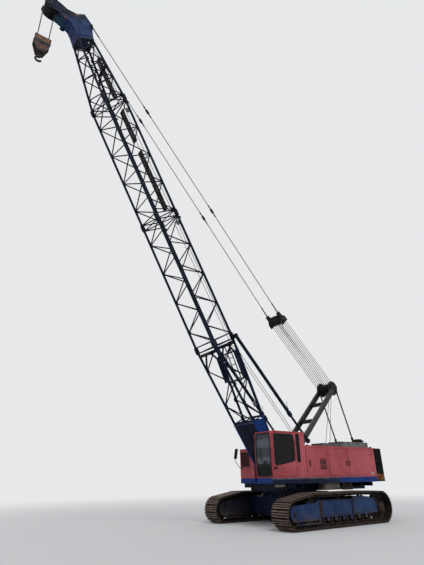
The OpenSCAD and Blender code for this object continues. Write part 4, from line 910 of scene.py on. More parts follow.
def add_shoe_edges(side, name):
    """Turned-down lips along both side edges of each shoe."""
    edges = Kit()
    high, low = STEP / 2 - 0.012, STEP / 2 - 0.022
    lip = [(-high, 0.0195), (-low, -0.012), (low, -0.012), (high, 0.0195)]
    for k in range(SHOES):
        for w in (-0.419, 0.419):
            edges.plate(lip, moved_across(on_shoe(k, side), w), 0.012)
    edges.done("shoe_edges_" + name, "track_shoes", "undercarriage")


def add_shoes(side, name):
    """The belt's shoes, and the lip by which each shoe laps over the next."""
    shoes, outline = Kit(), shoe_outline()
    for k in range(SHOES):
        shoes.plate(outline, on_shoe(k, side), 0.84)
        shoes.plate(rectangle(-0.045, 0.002, 0.045, 0.011), on_shoe(k + 0.5, side), 0.832)
    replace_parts(shoes.done("track_belt_" + name, "track_shoes", "undercarriage", 0.0025, segments=1),
        "track_" + name)


def two_sided(half):
    """A turned profile from its first half, mirrored in the wheel's middle."""
    return half + [(-h, r) for h, r in reversed(half)]


def add_idlers():
    wheels = Kit()
    rim = LOOP[1][2] - LINK_H
    tread = [(-0.110, rim - 0.07), (-0.110, rim - 0.004), (-0.047, rim - 0.002), (-0.044, rim + 0.017)]
    web = [(-0.130, 0.09), (-0.128, 0.13), (-0.06, 0.15), (-0.05, rim - 0.06)]
    for side in (1, -1):
        at = IDLE + Vector((0, side * TRACK_Y, 0))
        wheels.lathe(at, LEFT, two_sided(tread), 56)
        wheels.lathe(at, LEFT, two_sided(web), 40)
        wheels.rod(at - Vector((0, 0.25, 0)), at + Vector((0, 0.25, 0)), 0.040, 20)
    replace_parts(wheels.done("idler_wheels", "roller_steel", "undercarriage", 0.003, segments=1), "idlers")


def add_sprockets():
    """Sprockets with their final drives: the hub outside and the motor on the inner side."""
    drives = Kit()
    root, tip = LOOP[0][2] - LINK_H + 0.028, LOOP[0][2] - 0.030
    teeth = toothed(13, ((0.0, root), (0.30, root), (0.46, tip), (0.70, tip), (0.86, root)))
    outer = [(-0.25, 0.085), (0.01, 0.090), (0.235, 0.150), (0.236, 0.190), (0.325, 0.190),
        (0.326, 0.185)]
    motor = [(0.245, 0.150), (0.246, 0.205), (0.33, 0.210), (0.43, 0.205), (0.435, 0.190)]
    for side in (1, -1):
        hub = DRIVE + Vector((0, side * TRACK_Y, 0))
        drives.plate(teeth, lambda u, v, w, hub=hub: hub + Vector((u, w, v)), 0.052)
        drives.lathe(hub, LEFT, two_sided([(-0.075, 0.19), (-0.075, 0.215)]), 40)
        drives.lathe(hub, (0, side, 0), outer, 44)
        drives.lathe(hub, (0, -side, 0), motor, 44)
    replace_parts(drives.done("drive_wheels", "roller_steel", "undercarriage", 0.003, segments=1),
        "sprockets")


def add_carrier_rollers():
    """Carrier rollers under the top run, with their brackets."""
    carriers = Kit()
    for side in (1, -1):
        mid = side * TRACK_Y
        for x, z, r in ((1.50, 0.922, 0.112), (0.02, 0.949, 0.086), (-1.52, 0.922, 0.112)):
            p = Vector((x, mid, z))
            tread = [(-0.12, r - 0.012), (-0.115, r), (-0.055, r), (-0.045, r - 0.022)]
            carriers.lathe(p, LEFT, two_sided(tread), 28)
            carriers.rod(p - Vector((0, 0.200, 0)), p + Vector((0, 0.200, 0)), 0.026, 14)
            bracket = [(x - 0.10, 0.80), (x + 0.10, 0.80), (x + 0.055, z + 0.045), (x - 0.055, z + 0.045)]
            for s in (-1, 1):
                carriers.lathe(p + Vector((0, s * 0.2, 0)), (0, s, 0),
                    [(0, 0.05), (0.02, 0.05), (0.028, 0.03)], 18)
                carriers.plate(bracket, side_plane(mid + s * 0.185), 0.024)
    carriers.done("carrier_rollers", "roller_steel", "undercarriage", 0.002, segments=1)


def add_frame_covers(side, name):
    """Side covers of a track frame's front and rear ends, on both faces."""
    mid = side * TRACK_Y
    kit = Kit()
    nose = [(1.168, 0.300), (2.42, 0.285), (2.55, 0.315), (2.64, 0.42), (2.672, 0.55), (2.65, 0.68),
        (2.58, 0.765), (2.44, 0.797), (1.98, 0.822), (1.42, 0.845), (1.168, 0.955)]
    rear = [(-0.748, 0.40), (-0.748, 1.000), (-1.20, 1.015), (-1.62, 0.985), (-1.86, 0.930),
        (-1.86, 0.40)]
    for face, t in ((side, 0.026), (-side, 0.022)):
        y = mid + face * (0.232 + t / 2)
        kit.plate(nose, side_plane(y), t)
        kit.plate(rear, side_plane(y), t)
        # a folded rim round the nose cover
        ring = [Vector((x, mid + face * (0.232 + t), z)) for x, z in nose]
        kit.pipe(ring, 0.009, 6, True)
    # floor of the nose, and the guard rail beside the front rollers
    kit.box((1.168, mid - 0.232, 0.300), (2.42, mid + 0.232, 0.316))
    for s in (-1, 1):
        kit.bar((1.10, mid + s * 0.215, 0.195), (2.30, mid + s * 0.215, 0.195), 0.022, 0.05)
        for x in (1.20, 1.75, 2.24):
            kit.bar((x, mid + s * 0.215, 0.19), (x, mid + s * 0.215, 0.32), 0.022, 0.05)
    kit.done("frame_covers_" + name, "undercarriage_blue", "undercarriage", 0.004)


def add_frame_panels(side, name):
    """Raised covers with a rim of weld bead, the frame's flanges, and the guards between its rollers."""
    panels = Kit()
    out = side * FRAME_FACE
    for x0, x1, z0, z1, y in FRAME_PANELS:
        skin = side * (FRAME_FACE + y)
        panels.plate(rounded(x0, z0, x1, z1, 0.035), side_plane(skin + side * 0.005), 0.012)
        ring = rounded(x0 - 0.006, z0 - 0.006, x1 + 0.006, z1 + 0.006, 0.04)
        panels.pipe([Vector((x, skin + side * 0.002, z)) for x, z in ring], 0.007, 6, True)
    panels.box((-1.83, out - side * 0.004, 0.377), (1.168, out + side * 0.030, 0.393))
    panels.box((-1.75, out - side * 0.045, 0.903), (1.05, out + side * 0.014, 0.916))
    for x in FRAME_ROLLERS[:-1]:
        guard = [(x + 0.130, 0.386), (x + 0.155, 0.235), (x + 0.290, 0.235), (x + 0.315, 0.386)]
        for s in (-1, 1):
            panels.plate(guard, side_plane(side * TRACK_Y + s * 0.200), 0.020)
    panels.done("frame_panels_" + name, "undercarriage_blue", "undercarriage", 0.003)


def add_frame_bolts(side, name):
    bolts = Kit()
    face = Vector((0, side, 0))
    for x0, x1, z0, z1, y in FRAME_PANELS:
        skin = side * (FRAME_FACE + y)
        a, b, c, d, mid = x0 + 0.05, x1 - 0.05, z0 + 0.05, z1 - 0.05, (x0 + x1) / 2
        for x, z in rectangle(a, c, b, d) + [(mid, c), (mid, d)]:
            bolts.bolt((x, skin + side * 0.011, z), face, 0.013, 0.012)
    cover = ((1.30, 0.36), (1.80, 0.35), (2.36, 0.35), (2.56, 0.55), (2.40, 0.73), (1.90, 0.76),
        (1.34, 0.78), (1.22, 0.60))
    for x, z in cover:
        bolts.bolt((x, side * COVER_FACE, z), face, 0.014, 0.014)
    bolts.done("frame_bolts_" + name, "undercarriage_blue", "undercarriage")


def add_roller_ends(kit, mid):
    """End caps and flanges of the bottom rollers and the carrier rollers' hubs."""
    for x in FRAME_ROLLERS:
        for s in (-1, 1):
            y = mid + s * 0.172
            kit.lathe((x, y, 0.2555), (0, s, 0), [(0, 0.062), (0.028, 0.058), (0.034, 0.040)], 18)
            kit.bolt_circle((x, y + s * 0.028, 0.2555), (0, s, 0), 0.046, 4, 0.008, 0.010)
            kit.lathe((x, mid + s * 0.126, 0.2555), (0, s, 0), [(0, 0.128), (0.012, 0.128)], 24)
    for x, z in ((1.71, 0.8537), (0.36, 0.8717), (-0.99, 0.8717)):
        for s in (-1, 1):
            kit.lathe((x, mid + s * 0.118, z), (0, s, 0), [(0, 0.074), (0.02, 0.074), (0.034, 0.05)], 18)


def add_wheel_caps(kit, side):
    """The idler's hub caps, and the final drive's cover with its bolts and a drain plug."""
    mid, face = side * TRACK_Y, Vector((0, side, 0))
    for s in (-1, 1):
        y = mid + s * 0.257
        kit.lathe((IDLE.x, y, IDLE.z), (0, s, 0), [(0, 0.085), (0.022, 0.080), (0.030, 0.05)], 24)
        kit.bolt_circle((IDLE.x, y + s * 0.022, IDLE.z), (0, s, 0), 0.064, 6, 0.009, 0.011)
    hub = (DRIVE.x, side * (TRACK_Y + 0.325), DRIVE.z)
    cover = [(-0.02, 0.186), (0.004, 0.186), (0.012, 0.150), (0.022, 0.140), (0.030, 0.070),
        (0.036, 0.064)]
    kit.lathe(hub, face, cover, 40)
    kit.bolt_circle((hub[0], hub[1] + side * 0.004, hub[2]), face, 0.168, 12, 0.010, 0.012)
    kit.bolt_circle((hub[0], hub[1] + side * 0.022, hub[2]), face, 0.105, 8, 0.008, 0.010, 0.2)
    kit.bolt((hub[0], hub[1] + side * 0.034, hub[2]), face, 0.022, 0.016)
    for s in (-1, 1):
        rings = [(0, 0.35), (0.010, 0.35), (0.026, 0.260), (0.052, 0.255)]
        kit.lathe((DRIVE.x, mid + s * 0.026, DRIVE.z), (0, s, 0), rings, 44)
        kit.bolt_circle((DRIVE.x, mid + s * 0.036, DRIVE.z), (0, s, 0), 0.305, 16, 0.011, 0.012)


def add_frame_fittings(side, name):
    """Ribs and bolts of the dark gussets, dark stiffeners, and the wheels' ends and caps."""
    dark = Kit()
    out = side * FRAME_FACE
    for x in (1.135, -0.715):
        for z in (0.45, 0.55, 0.65, 0.75, 0.83):
            dark.bolt((x, out + side * 0.050, z), Vector((0, side, 0)), 0.015, 0.014)
        for dx in (-0.045, 0.045):
            rib = rectangle(x + dx - 0.006, 0.40, x + dx + 0.006, 0.85)
            dark.plate(rib, side_plane(out + side * 0.020), 0.036)
    for x0, x1, z0, z1, y in ((1.045, 1.166, 0.396, 0.900, 2.407), (-1.030, -0.790, 0.420, 0.985, 2.390)):
        dark.box((x0, side * 2.360, z0), (x1, side * y, z1))
    add_roller_ends(dark, side * TRACK_Y)
    add_wheel_caps(dark, side)
    dark.done("frame_fittings_" + name, "roller_steel", "undercarriage")


def add_drive_hoses(side, name):
    """Hoses to the drive motor on the inner side, and the greasing line of the tensioner."""
    pipes = Kit()
    mid, out = side * TRACK_Y, side * FRAME_FACE
    inner = mid - side * 0.235
    for k, z in enumerate((0.60, 0.66)):
        path = [(-2.25, mid - side * 0.40, z - 0.06), (-2.08, mid - side * 0.41, z),
            (-1.95, mid - side * 0.33, z + 0.12)]
        for x, y, height in ((-1.70, 0.025, 0.82), (-1.2, 0.025, 0.83), (-0.9, 0.04, 0.83),
                (-0.62, 0.20, 0.80), (-0.50, 0.55, 0.76)):
            path.append((x, inner - side * y, height + 0.045 * k))
        pipes.pipe(smooth_path(path, 5), 0.017, 8)
    line = ((1.50, 0.010, 0.80), (1.30, 0.018, 0.795), (1.22, 0.018, 0.70), (1.215, 0.018, 0.56))
    pipes.pipe(smooth_path([(x, out + side * y, z) for x, y, z in line], 4), 0.006, 6)
    pipes.done("drive_hoses_" + name, "cab_trim", "undercarriage")


# carbody and slewing ring

def add_axle_beam(kit, sx, sy):
    """An axle beam's edge flanges and end plate, and the bracket of its extending cylinder."""
    x0, x1, cx = sx * 0.756 - 0.245, sx * 0.756 + 0.245, sx * 0.50
    for z in (0.548, 0.972):
        kit.box((x0, sy * 1.06, z), (x1, sy * 1.825, z + 0.018))
    kit.box((x0 - 0.02, sy * 1.80, 0.27), (x1 + 0.02, sy * 1.828, 1.06))
    kit.plate(rectangle(cx - 0.07, 0.66, cx + 0.07, 0.86), side_plane(sy * 1.058), 0.02)


def add_carbody_plates():
    """Stiffeners on the centre box, the axle beams, and the deep cross member under each of them."""
    blue = Kit()
    for sx in (-1, 1):
        rib = [(sx * 0.90 + u, z) for u, z in ((0, 0.50), (sx * 0.055, 0.56), (sx * 0.055, 1.10),
            (0, 1.17))]
        for y in (-0.86, -0.43, 0.43, 0.86):
            blue.plate(rib, side_plane(y), 0.016)
        for z in (0.64, 0.98):
            blue.box((sx * 0.898, -1.04, z), (sx * 0.945, 1.04, z + 0.018))
        for sy in (-1, 1):
            add_axle_beam(blue, sx, sy)
        deep = ((0.53, 0.555), (0.96, 0.555), (0.96, 0.36), (0.90, 0.275), (0.59, 0.275), (0.53, 0.36))
        blue.plate([(sx * x, z) for x, z in deep], side_plane(0), 3.60)
        for z in (0.355, 0.535):
            blue.box((sx * 0.945, -1.80, z), (sx * 0.985, 1.80, z + 0.018))
    blue.done("carbody_plates", "carbody_blue", "undercarriage", 0.002)


def add_ring_fittings():
    """The slewing ring's bolts and teeth, the axle beams' cylinders and bolts, and the tow eyes' rims."""
    dark = Kit()
    dark.bolt_circle((0, 0, 1.240), UP, 0.886, 54, 0.010, 0.014)
    dark.plate(toothed(96, ((0, 0.858), (0.28, 0.874), (0.55, 0.874), (0.83, 0.858))), level(1.300),
        0.062)
    dark.lathe((0, 0, 1.362), UP, [(0, 0.826), (0, 0.842), (0.016, 0.842), (0.022, 0.834)], 96)
    for sx in (-1, 1):
        for sy in (-1, 1):
            for z in (0.60, 0.72, 0.84, 0.95):
                for x in (sx * 0.756 - 0.245 + 0.035, sx * 0.756 + 0.245 - 0.035):
                    dark.bolt((x, sy * 1.800, z), (0, -sy, 0), 0.013, 0.014)
            cx = sx * 0.50
            dark.rod((cx, sy * 1.05, 0.76), (cx, sy * 1.42, 0.76), 0.055, 20)
            dark.lathe((cx, sy * 1.42, 0.76), (0, sy, 0), [(0, 0.064), (0.05, 0.064), (0.055, 0.034)], 20)
            dark.rod((cx, sy * 1.46, 0.76), (cx, sy * 1.83, 0.76), 0.030, 16)
    for x in (-0.93, 0.93):
        dark.bolt_circle((x, 0, 0.84), (x, 0, 0), 0.10, 6, 0.012, 0.012)
        inset = x - (0.03 if x > 0 else -0.03)
        dark.lathe((inset, 0, 0.84), (x, 0, 0), [(0, 0.125), (0.03, 0.125), (0.034, 0.07)], 28)
    for s in (-1, 1):
        for z in (0.630, 0.690):
            dark.hoop((s * 1.076, 0, z), UP, 0.040, 0.006, 28, 6)
    dark.done("ring_fittings", "roller_steel", "undercarriage")


def add_swivel_hoses():
    """Hoses that run down from the swivel to the drives."""
    hoses = Kit()
    for k in range(6):
        sy = 1 if k % 2 else -1
        off = 0.05 * (k // 2)
        start = [(-0.905 - off * 0.3, sy * (0.20 + off), 1.05),
            (-1.00 - off * 0.3, sy * (0.30 + off), 0.98)]
        end = [(-1.05, sy * (0.70 + off), 0.80 + off), (-1.06, sy * 1.20, 0.78 + off),
            (-0.98, sy * 1.62, 0.80 + off)]
        path = start + end + [(-0.80, sy * 1.72, 0.85 + off * 0.4)]
        hoses.pipe(smooth_path(path, 5), 0.015, 8)
    hoses.done("swivel_hoses", "cab_trim", "undercarriage")


for side, name in ((1, "left"), (-1, "right")):
    add_frame_shade_plate(side, name)
    add_grouser_tips(side, name)
    add_shoe_bolts(side, name)
    add_links(side, name)
    add_shoe_edges(side, name)
    add_shoes(side, name)
    add_frame_panels(side, name)
    add_frame_bolts(side, name)
    add_frame_fittings(side, name)
    add_drive_hoses(side, name)
    add_frame_covers(side, name)
add_idlers()
add_sprockets()
add_carrier_rollers()
add_carbody_plates()
add_ring_fittings()
add_swivel_hoses()


# deck and houses

HOUSE_Y = 1.664
ROOF_Z = 2.878
DOOR_FOOT, DOOR_TOP = 1.763, 2.822
# side and front end of each house, the right roof's hatches, the exhaust, and the ballast's round back
HOUSES = ((1, 0.851), (-1, 1.601))
HATCHES = (-1.35, -2.75)
EXHAUST = (-3.171, 1.172)
BALLAST_X, BALLAST_R = -1.57, 3.0


def add_deck_trim():
    """Skirts' rolled edges and creases, cross members, bearings' rims, pipe clips and the walkway's ribs."""
    blue = Kit()
    for s in (-1, 1):
        y = s * HOUSE_Y
        blue.box((-3.531, y, 1.490), (1.601, y - s * 0.035, 1.502))
        for x in (-2.35, -1.20, -0.05, 1.0):
            blue.plate(rectangle(x - 0.004, 1.504, x + 0.004, 1.692), side_plane(y - s * 0.001), 0.006)
        for x in (-3.1, -2.6, -2.1, 1.15):
            blue.box((x - 0.035, s * 0.60, 1.575), (x + 0.035, s * 1.63, 1.668))
    # front lip of the cab's platform
    blue.box((2.700, 0.735, 1.515), (2.724, 1.655, 1.530))
    for s in (-1, 1):
        blue.hoop((1.218, s * 0.7055, 1.823), (0, 1, 0), 0.110, 0.009, 36, 6)
    for x, z in DRUMS:
        for s in (-1, 1):
            blue.lathe((x, s * 0.585, z), (0, s, 0), [(0, 0.115), (0.022, 0.110), (0.028, 0.07)], 28)
    for x in (-2.5, -1.5, -0.5, 0.3):
        blue.box((x - 0.02, 0.612, 1.697), (x + 0.02, 0.726, 1.731))
    for k in range(11):
        blue.box((0.35 + k * 0.07, -0.50, 1.697), (0.362 + k * 0.07, 0.50, 1.703))
    blue.done("deck_trim", "deck_blue", "upperworks", 0.0015)


def add_deck_bolts():
    """Bolts along the skirts, the cab's rubber mounts, and the caps and bolts of the bearings."""
    dark = Kit()
    for s in (-1, 1):
        for k in range(17):
            dark.bolt((-3.40 + k * 0.305, s * HOUSE_Y - s * 0.0005, 1.665), (0, s, 0), 0.009, 0.007)
    for x in (1.72, 2.52):
        for y in (0.83, 1.56):
            dark.lathe((x, y, 1.470), UP, [(0, 0.05), (0.012, 0.058), (0.030, 0.058), (0.047, 0.045)], 20)
            dark.bolt((x, y, 1.470), DOWN, 0.018, 0.018)
    for s in (-1, 1):
        for y, way in ((0.597 * s, -s), (0.704 * s, s)):
            dark.lathe((1.218, y + way * 0.012, 1.823), (0, way, 0),
                [(0, 0.080), (0.010, 0.080), (0.014, 0.05)], 28)
    for x, z in DRUMS:
        for s in (-1, 1):
            dark.bolt_circle((x, s * 0.607, z), (0, s, 0), 0.090, 8, 0.009, 0.010)
    dark.done("deck_bolts", "sheave_dark", "upperworks")


def add_cab_step():
    """The step under the cab door, on two hangers."""
    steps = Kit()
    for x in (2.19, 2.56):
        steps.bar((x, 1.60, 1.56), (x, 1.60, 1.42), 0.040, 0.010, (1, 0, 0))
    for k in range(9):
        steps.box((2.176 + k * 0.05 - 0.004, 1.540, 1.404), (2.176 + k * 0.05 + 0.004, 1.650, 1.424))
    steps.box((2.150, 1.648, 1.392), (2.600, 1.660, 1.470))
    steps.box((2.150, 1.536, 1.396), (2.600, 1.546, 1.430))
    steps.done("cab_step", "box_beige", "upperworks", 0.001)


def add_underframe():
    """Beams under the deck: a box before and behind the slewing ring, a beam on each side, and ribs."""
    beams = Kit()
    foot, top = 1.215, 1.640
    beams.box((0.98, -0.90, foot), (1.52, 0.90, top))
    beams.box((-3.30, -0.90, foot), (-0.98, 0.90, top))
    for s in (-1, 1):
        beams.box((-3.30, s * 0.98, foot), (1.52, s * 1.10, top))
        for x in (-3.26, -2.45, -1.62, -1.04, 1.04, 1.48):
            beams.box((x - 0.012, s * 0.88, 1.330), (x + 0.012, s * 1.56, top))
    beams.done("deck_underframe", "boom_navy", "upperworks", 0.003)


def add_deck_pipes():
    """Pipes along the bay's floor between the winches and the house."""
    pipes = Kit()
    line = ((-2.9, 1.72), (-2.0, 1.716), (-0.4, 1.716), (0.50, 1.716), (0.72, 1.72))
    for k in range(5):
        pipes.pipe(smooth_path([(x, 0.625 + 0.022 * k, z) for x, z in line], 3), 0.009, 8)
    pipes.done("deck_pipes", "sheave_dark", "upperworks")


def add_tool_box():
    """The tool box's lid with turned edges, hinges and catches."""
    tool = Kit()
    tool.plate(rounded(-1.035, 1.262, -0.135, 1.640, 0.02), side_plane(1.584), 0.010)
    ring = rounded(-1.025, 1.272, -0.145, 1.630, 0.02)
    tool.pipe([Vector((x, 1.590, z)) for x, z in ring], 0.006, 6, True)
    for x in (-0.83, -0.34):
        tool.box((x - 0.03, 1.584, 1.60), (x + 0.03, 1.602, 1.650))
        tool.rod((x - 0.045, 1.596, 1.645), (x + 0.045, 1.596, 1.645), 0.008, 10)
        tool.box((x - 0.018, 1.584, 1.245), (x + 0.018, 1.606, 1.300))
    for x in (-0.985, -0.185):
        tool.plate(rectangle(x - 0.02, 1.232, x + 0.02, 1.66), side_plane(1.595), 0.006)
    tool.done("tool_box_lid", "box_beige", "upperworks", 0.0015)


def add_lashings():
    """Rings and ribs of the lashing plates under the deck's sides."""
    lash = Kit()
    for s in (-1, 1):
        for x in (-1.78, -1.42):
            for y in (1.4835, 1.5245):
                lash.hoop((x, s * y, 1.30), (0, 1, 0), 0.044, 0.008, 28, 6)
        rib = [(s * (1.484 + u), z) for u, z in ((-0.05, 1.50), (0, 1.50), (0, 1.662), (-0.11, 1.662))]
        for x in (-1.90, -1.60, -1.30):
            lash.plate(rib, front_plane(x), 0.012)
    lash.done("lashing_ribs", "plate_red", "upperworks", 0.001)


def handle(kit, x, z, s, y=HOUSE_Y):
    """A sunk latch: its rim, a dark pan and the bar across it."""
    kit.plate(rounded(x - 0.045, z - 0.105, x + 0.045, z + 0.105, 0.018), side_plane(s * (y + 0.001)),
        0.006)
    kit.pipe([Vector((a, s * (y + 0.003), b)) for a, b in rounded(x - 0.043, z - 0.103, x + 0.043,
        z + 0.103, 0.018)], 0.006, 6, True)
    kit.rod((x, s * (y + 0.024), z - 0.06), (x, s * (y + 0.024), z + 0.075), 0.011, 10)
    kit.lathe((x, s * (y + 0.002), z + 0.075), (0, s, 0), [(0, 0.018), (0.024, 0.016), (0.028, 0.008)],
        16)


def door_trim(name, body, s, x0, x1, hinge_front, finish="house_red"):
    """Folded rim, stiffening creases, bolts and a latch on one house door."""
    z0, z1 = DOOR_FOOT, DOOR_TOP
    trim, dark = Kit(), Kit()
    y = s * (HOUSE_Y + 0.0005)
    rim = rounded(x0 + 0.012, z0 + 0.012, x1 - 0.012, z1 - 0.012, 0.02, 4)
    trim.pipe([Vector((x, y, z)) for x, z in rim], 0.0055, 6, True)
    seal = rounded(x0 - 0.004, z0 - 0.004, x1 + 0.004, z1 + 0.004, 0.006, 2)
    dark.pipe([Vector((x, s * (HOUSE_Y - 0.020), z)) for x, z in seal], 0.006, 6, True)
    hx = x0 + 0.074 if hinge_front else x1 - 0.074
    handle(dark, hx, 2.222, s)
    for z in (1.937, 2.508):
        for k in range(2):
            x = (x1 - 0.03 - 0.05 * k) if hinge_front else (x0 + 0.03 + 0.05 * k)
            dark.bolt((x, y, z + 0.068), (0, s, 0), 0.007, 0.006)
    trim.done(name + "_rim", finish, body)
    dark.done(name + "_latch", "cab_trim", body)


def add_house_doors():
    door_trim("door_front", "house_door_front", 1, -0.424, 0.744, False)
    door_trim("door_middle", "house_door_middle", 1, -1.654, -0.456, True)
    door_trim("door_rear", "house_door_rear", 1, -3.334, -1.686, False)
    door_trim("engine_door_front", "engine_door_front", -1, -1.494, -0.156, True)
    door_trim("engine_door_rear", "engine_door_rear", -1, -3.334, -1.536, False)
    # vent in the front door: frame, folded blades, and a dark plate behind them as painted shade inside the
    # vent
    vent, screen = Kit(), Kit()
    vent.panel(rounded(-0.30, 1.990, 0.09, 2.400, 0.012), side_plane(1.6655), 0.005,
        [rounded(-0.262, 2.028, 0.052, 2.362, 0.006)])
    for k in range(7):
        z = 2.040 + 0.047 * k
        vent.plate([(1.648, z + 0.038), (1.672, z), (1.675, z + 0.003), (1.651, z + 0.041)],
            front_plane(-0.105), 0.318)
    screen.plate(rectangle(-0.27, 2.02, 0.06, 2.37), side_plane(1.6535), 0.002)
    vent.done("vent_blades", VENT, "house_door_front")
    screen.done("vent_shade_plate", "cab_trim", "house_door_front")
    # white patch at the rear door's lower corner
    patch = Kit()
    patch.plate([(-3.31, 1.785), (-3.16, 1.785), (-3.165, 1.845), (-3.19, 1.875), (-3.31, 1.880)],
        side_plane(1.6650), 0.002)
    patch.done("primer_patch", PRIMER, "house_door_rear")
    add_louvres("engine_louvres_front", "engine_door_front", (-1.30,))
    add_louvres("engine_louvres_rear", "engine_door_rear", (-2.95, -2.25))


def add_louvres(name, door, starts):
    """Breathing louvres in one of the right house's engine doors."""
    louvres = Kit()
    for x0 in starts:
        for k in range(9):
            z = 2.32 + 0.042 * k
            louvres.plate([(0, 0), (0.016, 0.004), (0.016, 0.010), (0, 0.026)],
                lambda u, v, w, x=x0, z=z: Vector((x + 0.26 + w, -(HOUSE_Y - 0.001 + u), z + v)), 0.50)
    louvres.done(name, "house_red", door)


def add_roof_rims():
    """A folded rim round the edge of each house's roof."""
    rim = Kit()
    for s, x1 in HOUSES:
        y0, y1 = s * 0.724, s * HOUSE_Y
        rims = [(-3.531, y1, x1, y1 - s * 0.055), (-3.531, y0, x1, y0 + s * 0.035)]
        for xa, ya, xb, yb in rims + [(-3.531, y0, -3.496, y1), (x1 - 0.035, y0, x1, y1)]:
            rim.box((xa, ya, ROOF_Z - 0.001), (xb, yb, ROOF_Z + 0.014))
    rim.done("roof_rims", ROOF_RED, "upperworks", 0.003)


def add_house_creases():
    """Creases across the roofs, hatches, corner posts, and the frame and folds round the grille."""
    red = Kit()
    for s, start, count, posts in ((1, 0.60, 4, (-3.437, -1.670, -0.440)),
            (-1, 1.2, 6, (-3.437, -1.515, 0.20))):
        for k in range(count):
            x = start - 0.42 * k
            red.bar((x, s * 0.80, ROOF_Z + 0.002), (x, s * 1.56, ROOF_Z + 0.002), 0.03, 0.012, (1, 0, 0))
        if s < 0:
            for x in HATCHES:
                red.plate(rounded(x, -1.50, x + 1.1, -0.86, 0.03), level(ROOF_Z + 0.012), 0.022)
        for x in posts:
            post = rectangle(x - 0.004, 1.705, x + 0.004, 2.87)
            red.plate(post, side_plane(s * (HOUSE_Y + 0.0003)), 0.005)
    opening = rectangle(-1.60, 2.15, -1.00, 2.75)
    red.panel(rectangle(-1.64, 2.10, -0.96, 2.79), front_plane(1.603), 0.008, [opening])
    for z in (2.06, 1.76):
        red.bar((1.603, -0.75, z), (1.603, -1.64, z), 0.02, 0.012, (0, 0, 1))
    red.done("house_creases", "house_red", "upperworks", 0.0015)


def add_house_bolts():
    """Rivets round the roofs, the hatches' handles, and bolts under the doors and round the grille."""
    dark = Kit()
    for s, x1 in HOUSES:
        for k in range(27):
            dark.bolt((-3.45 + k * (x1 + 3.40) / 26, s * HOUSE_Y - s * 0.028, ROOF_Z + 0.013), UP, 0.007,
                0.005)
        if s < 0:
            for x in (HATCHES[0] + 0.12, HATCHES[0] + 0.98, HATCHES[1] + 0.12, HATCHES[1] + 0.98):
                dark.hoop((x, -1.18, ROOF_Z + 0.024), (1, 0, 0), 0.028, 0.007, 20, 6)
        for k in range(19):
            x = -3.46 + k * (x1 + 3.42) / 18
            dark.bolt((x, s * (HOUSE_Y - 0.0005), 1.728), (0, s, 0), 0.006, 0.005)
    for y in (-1.62, -1.30, -0.98):
        for z in (2.125, 2.77):
            dark.bolt((1.606, y, z), FORE, 0.007, 0.006)
    dark.done("house_bolts", "house_red", "upperworks")


def add_grille():
    grille = Kit()
    for k in range(15):
        y = -1.585 + k * 0.0407
        grille.rod((1.588, y, 2.17), (1.588, y, 2.73), 0.004, 6)
    grille.plate(rectangle(-1.575, 2.175, -1.025, 2.725), front_plane(1.572), 0.003)
    grille.done("grille_bars", "grille_red", "upperworks")


def add_roof_boxes():
    """Lids with turned edges and creases on both roof boxes, and the lower box's louvres."""
    box = Kit()
    z = ROOF_Z
    box.plate(rounded(-3.448, 0.772, -1.553, 1.484, 0.03), level(z + 0.234), 0.016)
    edge = rounded(-3.447, 0.773, -1.554, 1.483, 0.03)
    box.pipe([Vector((x, y, z + 0.231)) for x, y in edge], 0.009, 6, True)
    for x in (-2.85, -2.25):
        box.bar((x, 0.79, z + 0.243), (x, 1.47, z + 0.243), 0.05, 0.010, (1, 0, 0))
    box.plate(rounded(-1.548, 0.774, -0.452, 1.422, 0.03), level(z + 0.146), 0.014)
    edge = rounded(-1.55, 0.774, -0.454, 1.421, 0.03)
    box.pipe([Vector((x, y, z + 0.141)) for x, y in edge], 0.008, 6, True)
    blade = [(0, 0), (0.014, 0.008), (0.014, 0.014), (0, 0.030)]
    for k in range(8):
        box.plate(blade, lambda u, v, w, x=-1.38 + 0.105 * k: Vector((x + v, 1.417 + u, z + 0.07 + w)),
            0.09)
    box.done("roof_box_lids", "box_grey", "upperworks", 0.0015)


def add_roof_fittings():
    """The long box's catches, two vent caps, and the exhaust's rain cap with its clamps and mouth."""
    dark = Kit()
    z = ROOF_Z
    for x in (-2.70, -2.10, -1.70):
        dark.box((x - 0.02, 1.476, z + 0.155), (x + 0.02, 1.492, z + 0.225))
        dark.rod((x - 0.03, 1.490, z + 0.16), (x + 0.03, 1.490, z + 0.16), 0.006, 8)
    for x, y, r in ((0.20, 1.15, 0.07), (0.50, 0.95, 0.05)):
        dark.lathe((x, y, z), UP, [(0, r * 0.7), (0.04, r * 0.7), (0.045, r), (0.075, r * 0.9),
            (0.09, r * 0.4)], 24)
    cx, cy = EXHAUST
    dark.hoop((cx, cy, z + 0.283), UP, 0.250, 0.010, 44, 8)
    dark.hoop((cx, cy, z + 0.338), UP, 0.250, 0.009, 44, 8)
    dark.lathe((cx, cy, z + 0.385), UP, [(0, 0.178), (0.012, 0.165), (0.020, 0.10), (0.023, 0.02)], 40)
    dark.bolt_circle((cx, cy, z + 0.389), UP, 0.145, 6, 0.008, 0.008)
    dark.hoop((cx, cy, z + 0.245), UP, 0.162, 0.008, 36, 6)
    dark.done("roof_fittings", "exhaust_dark", "upperworks")


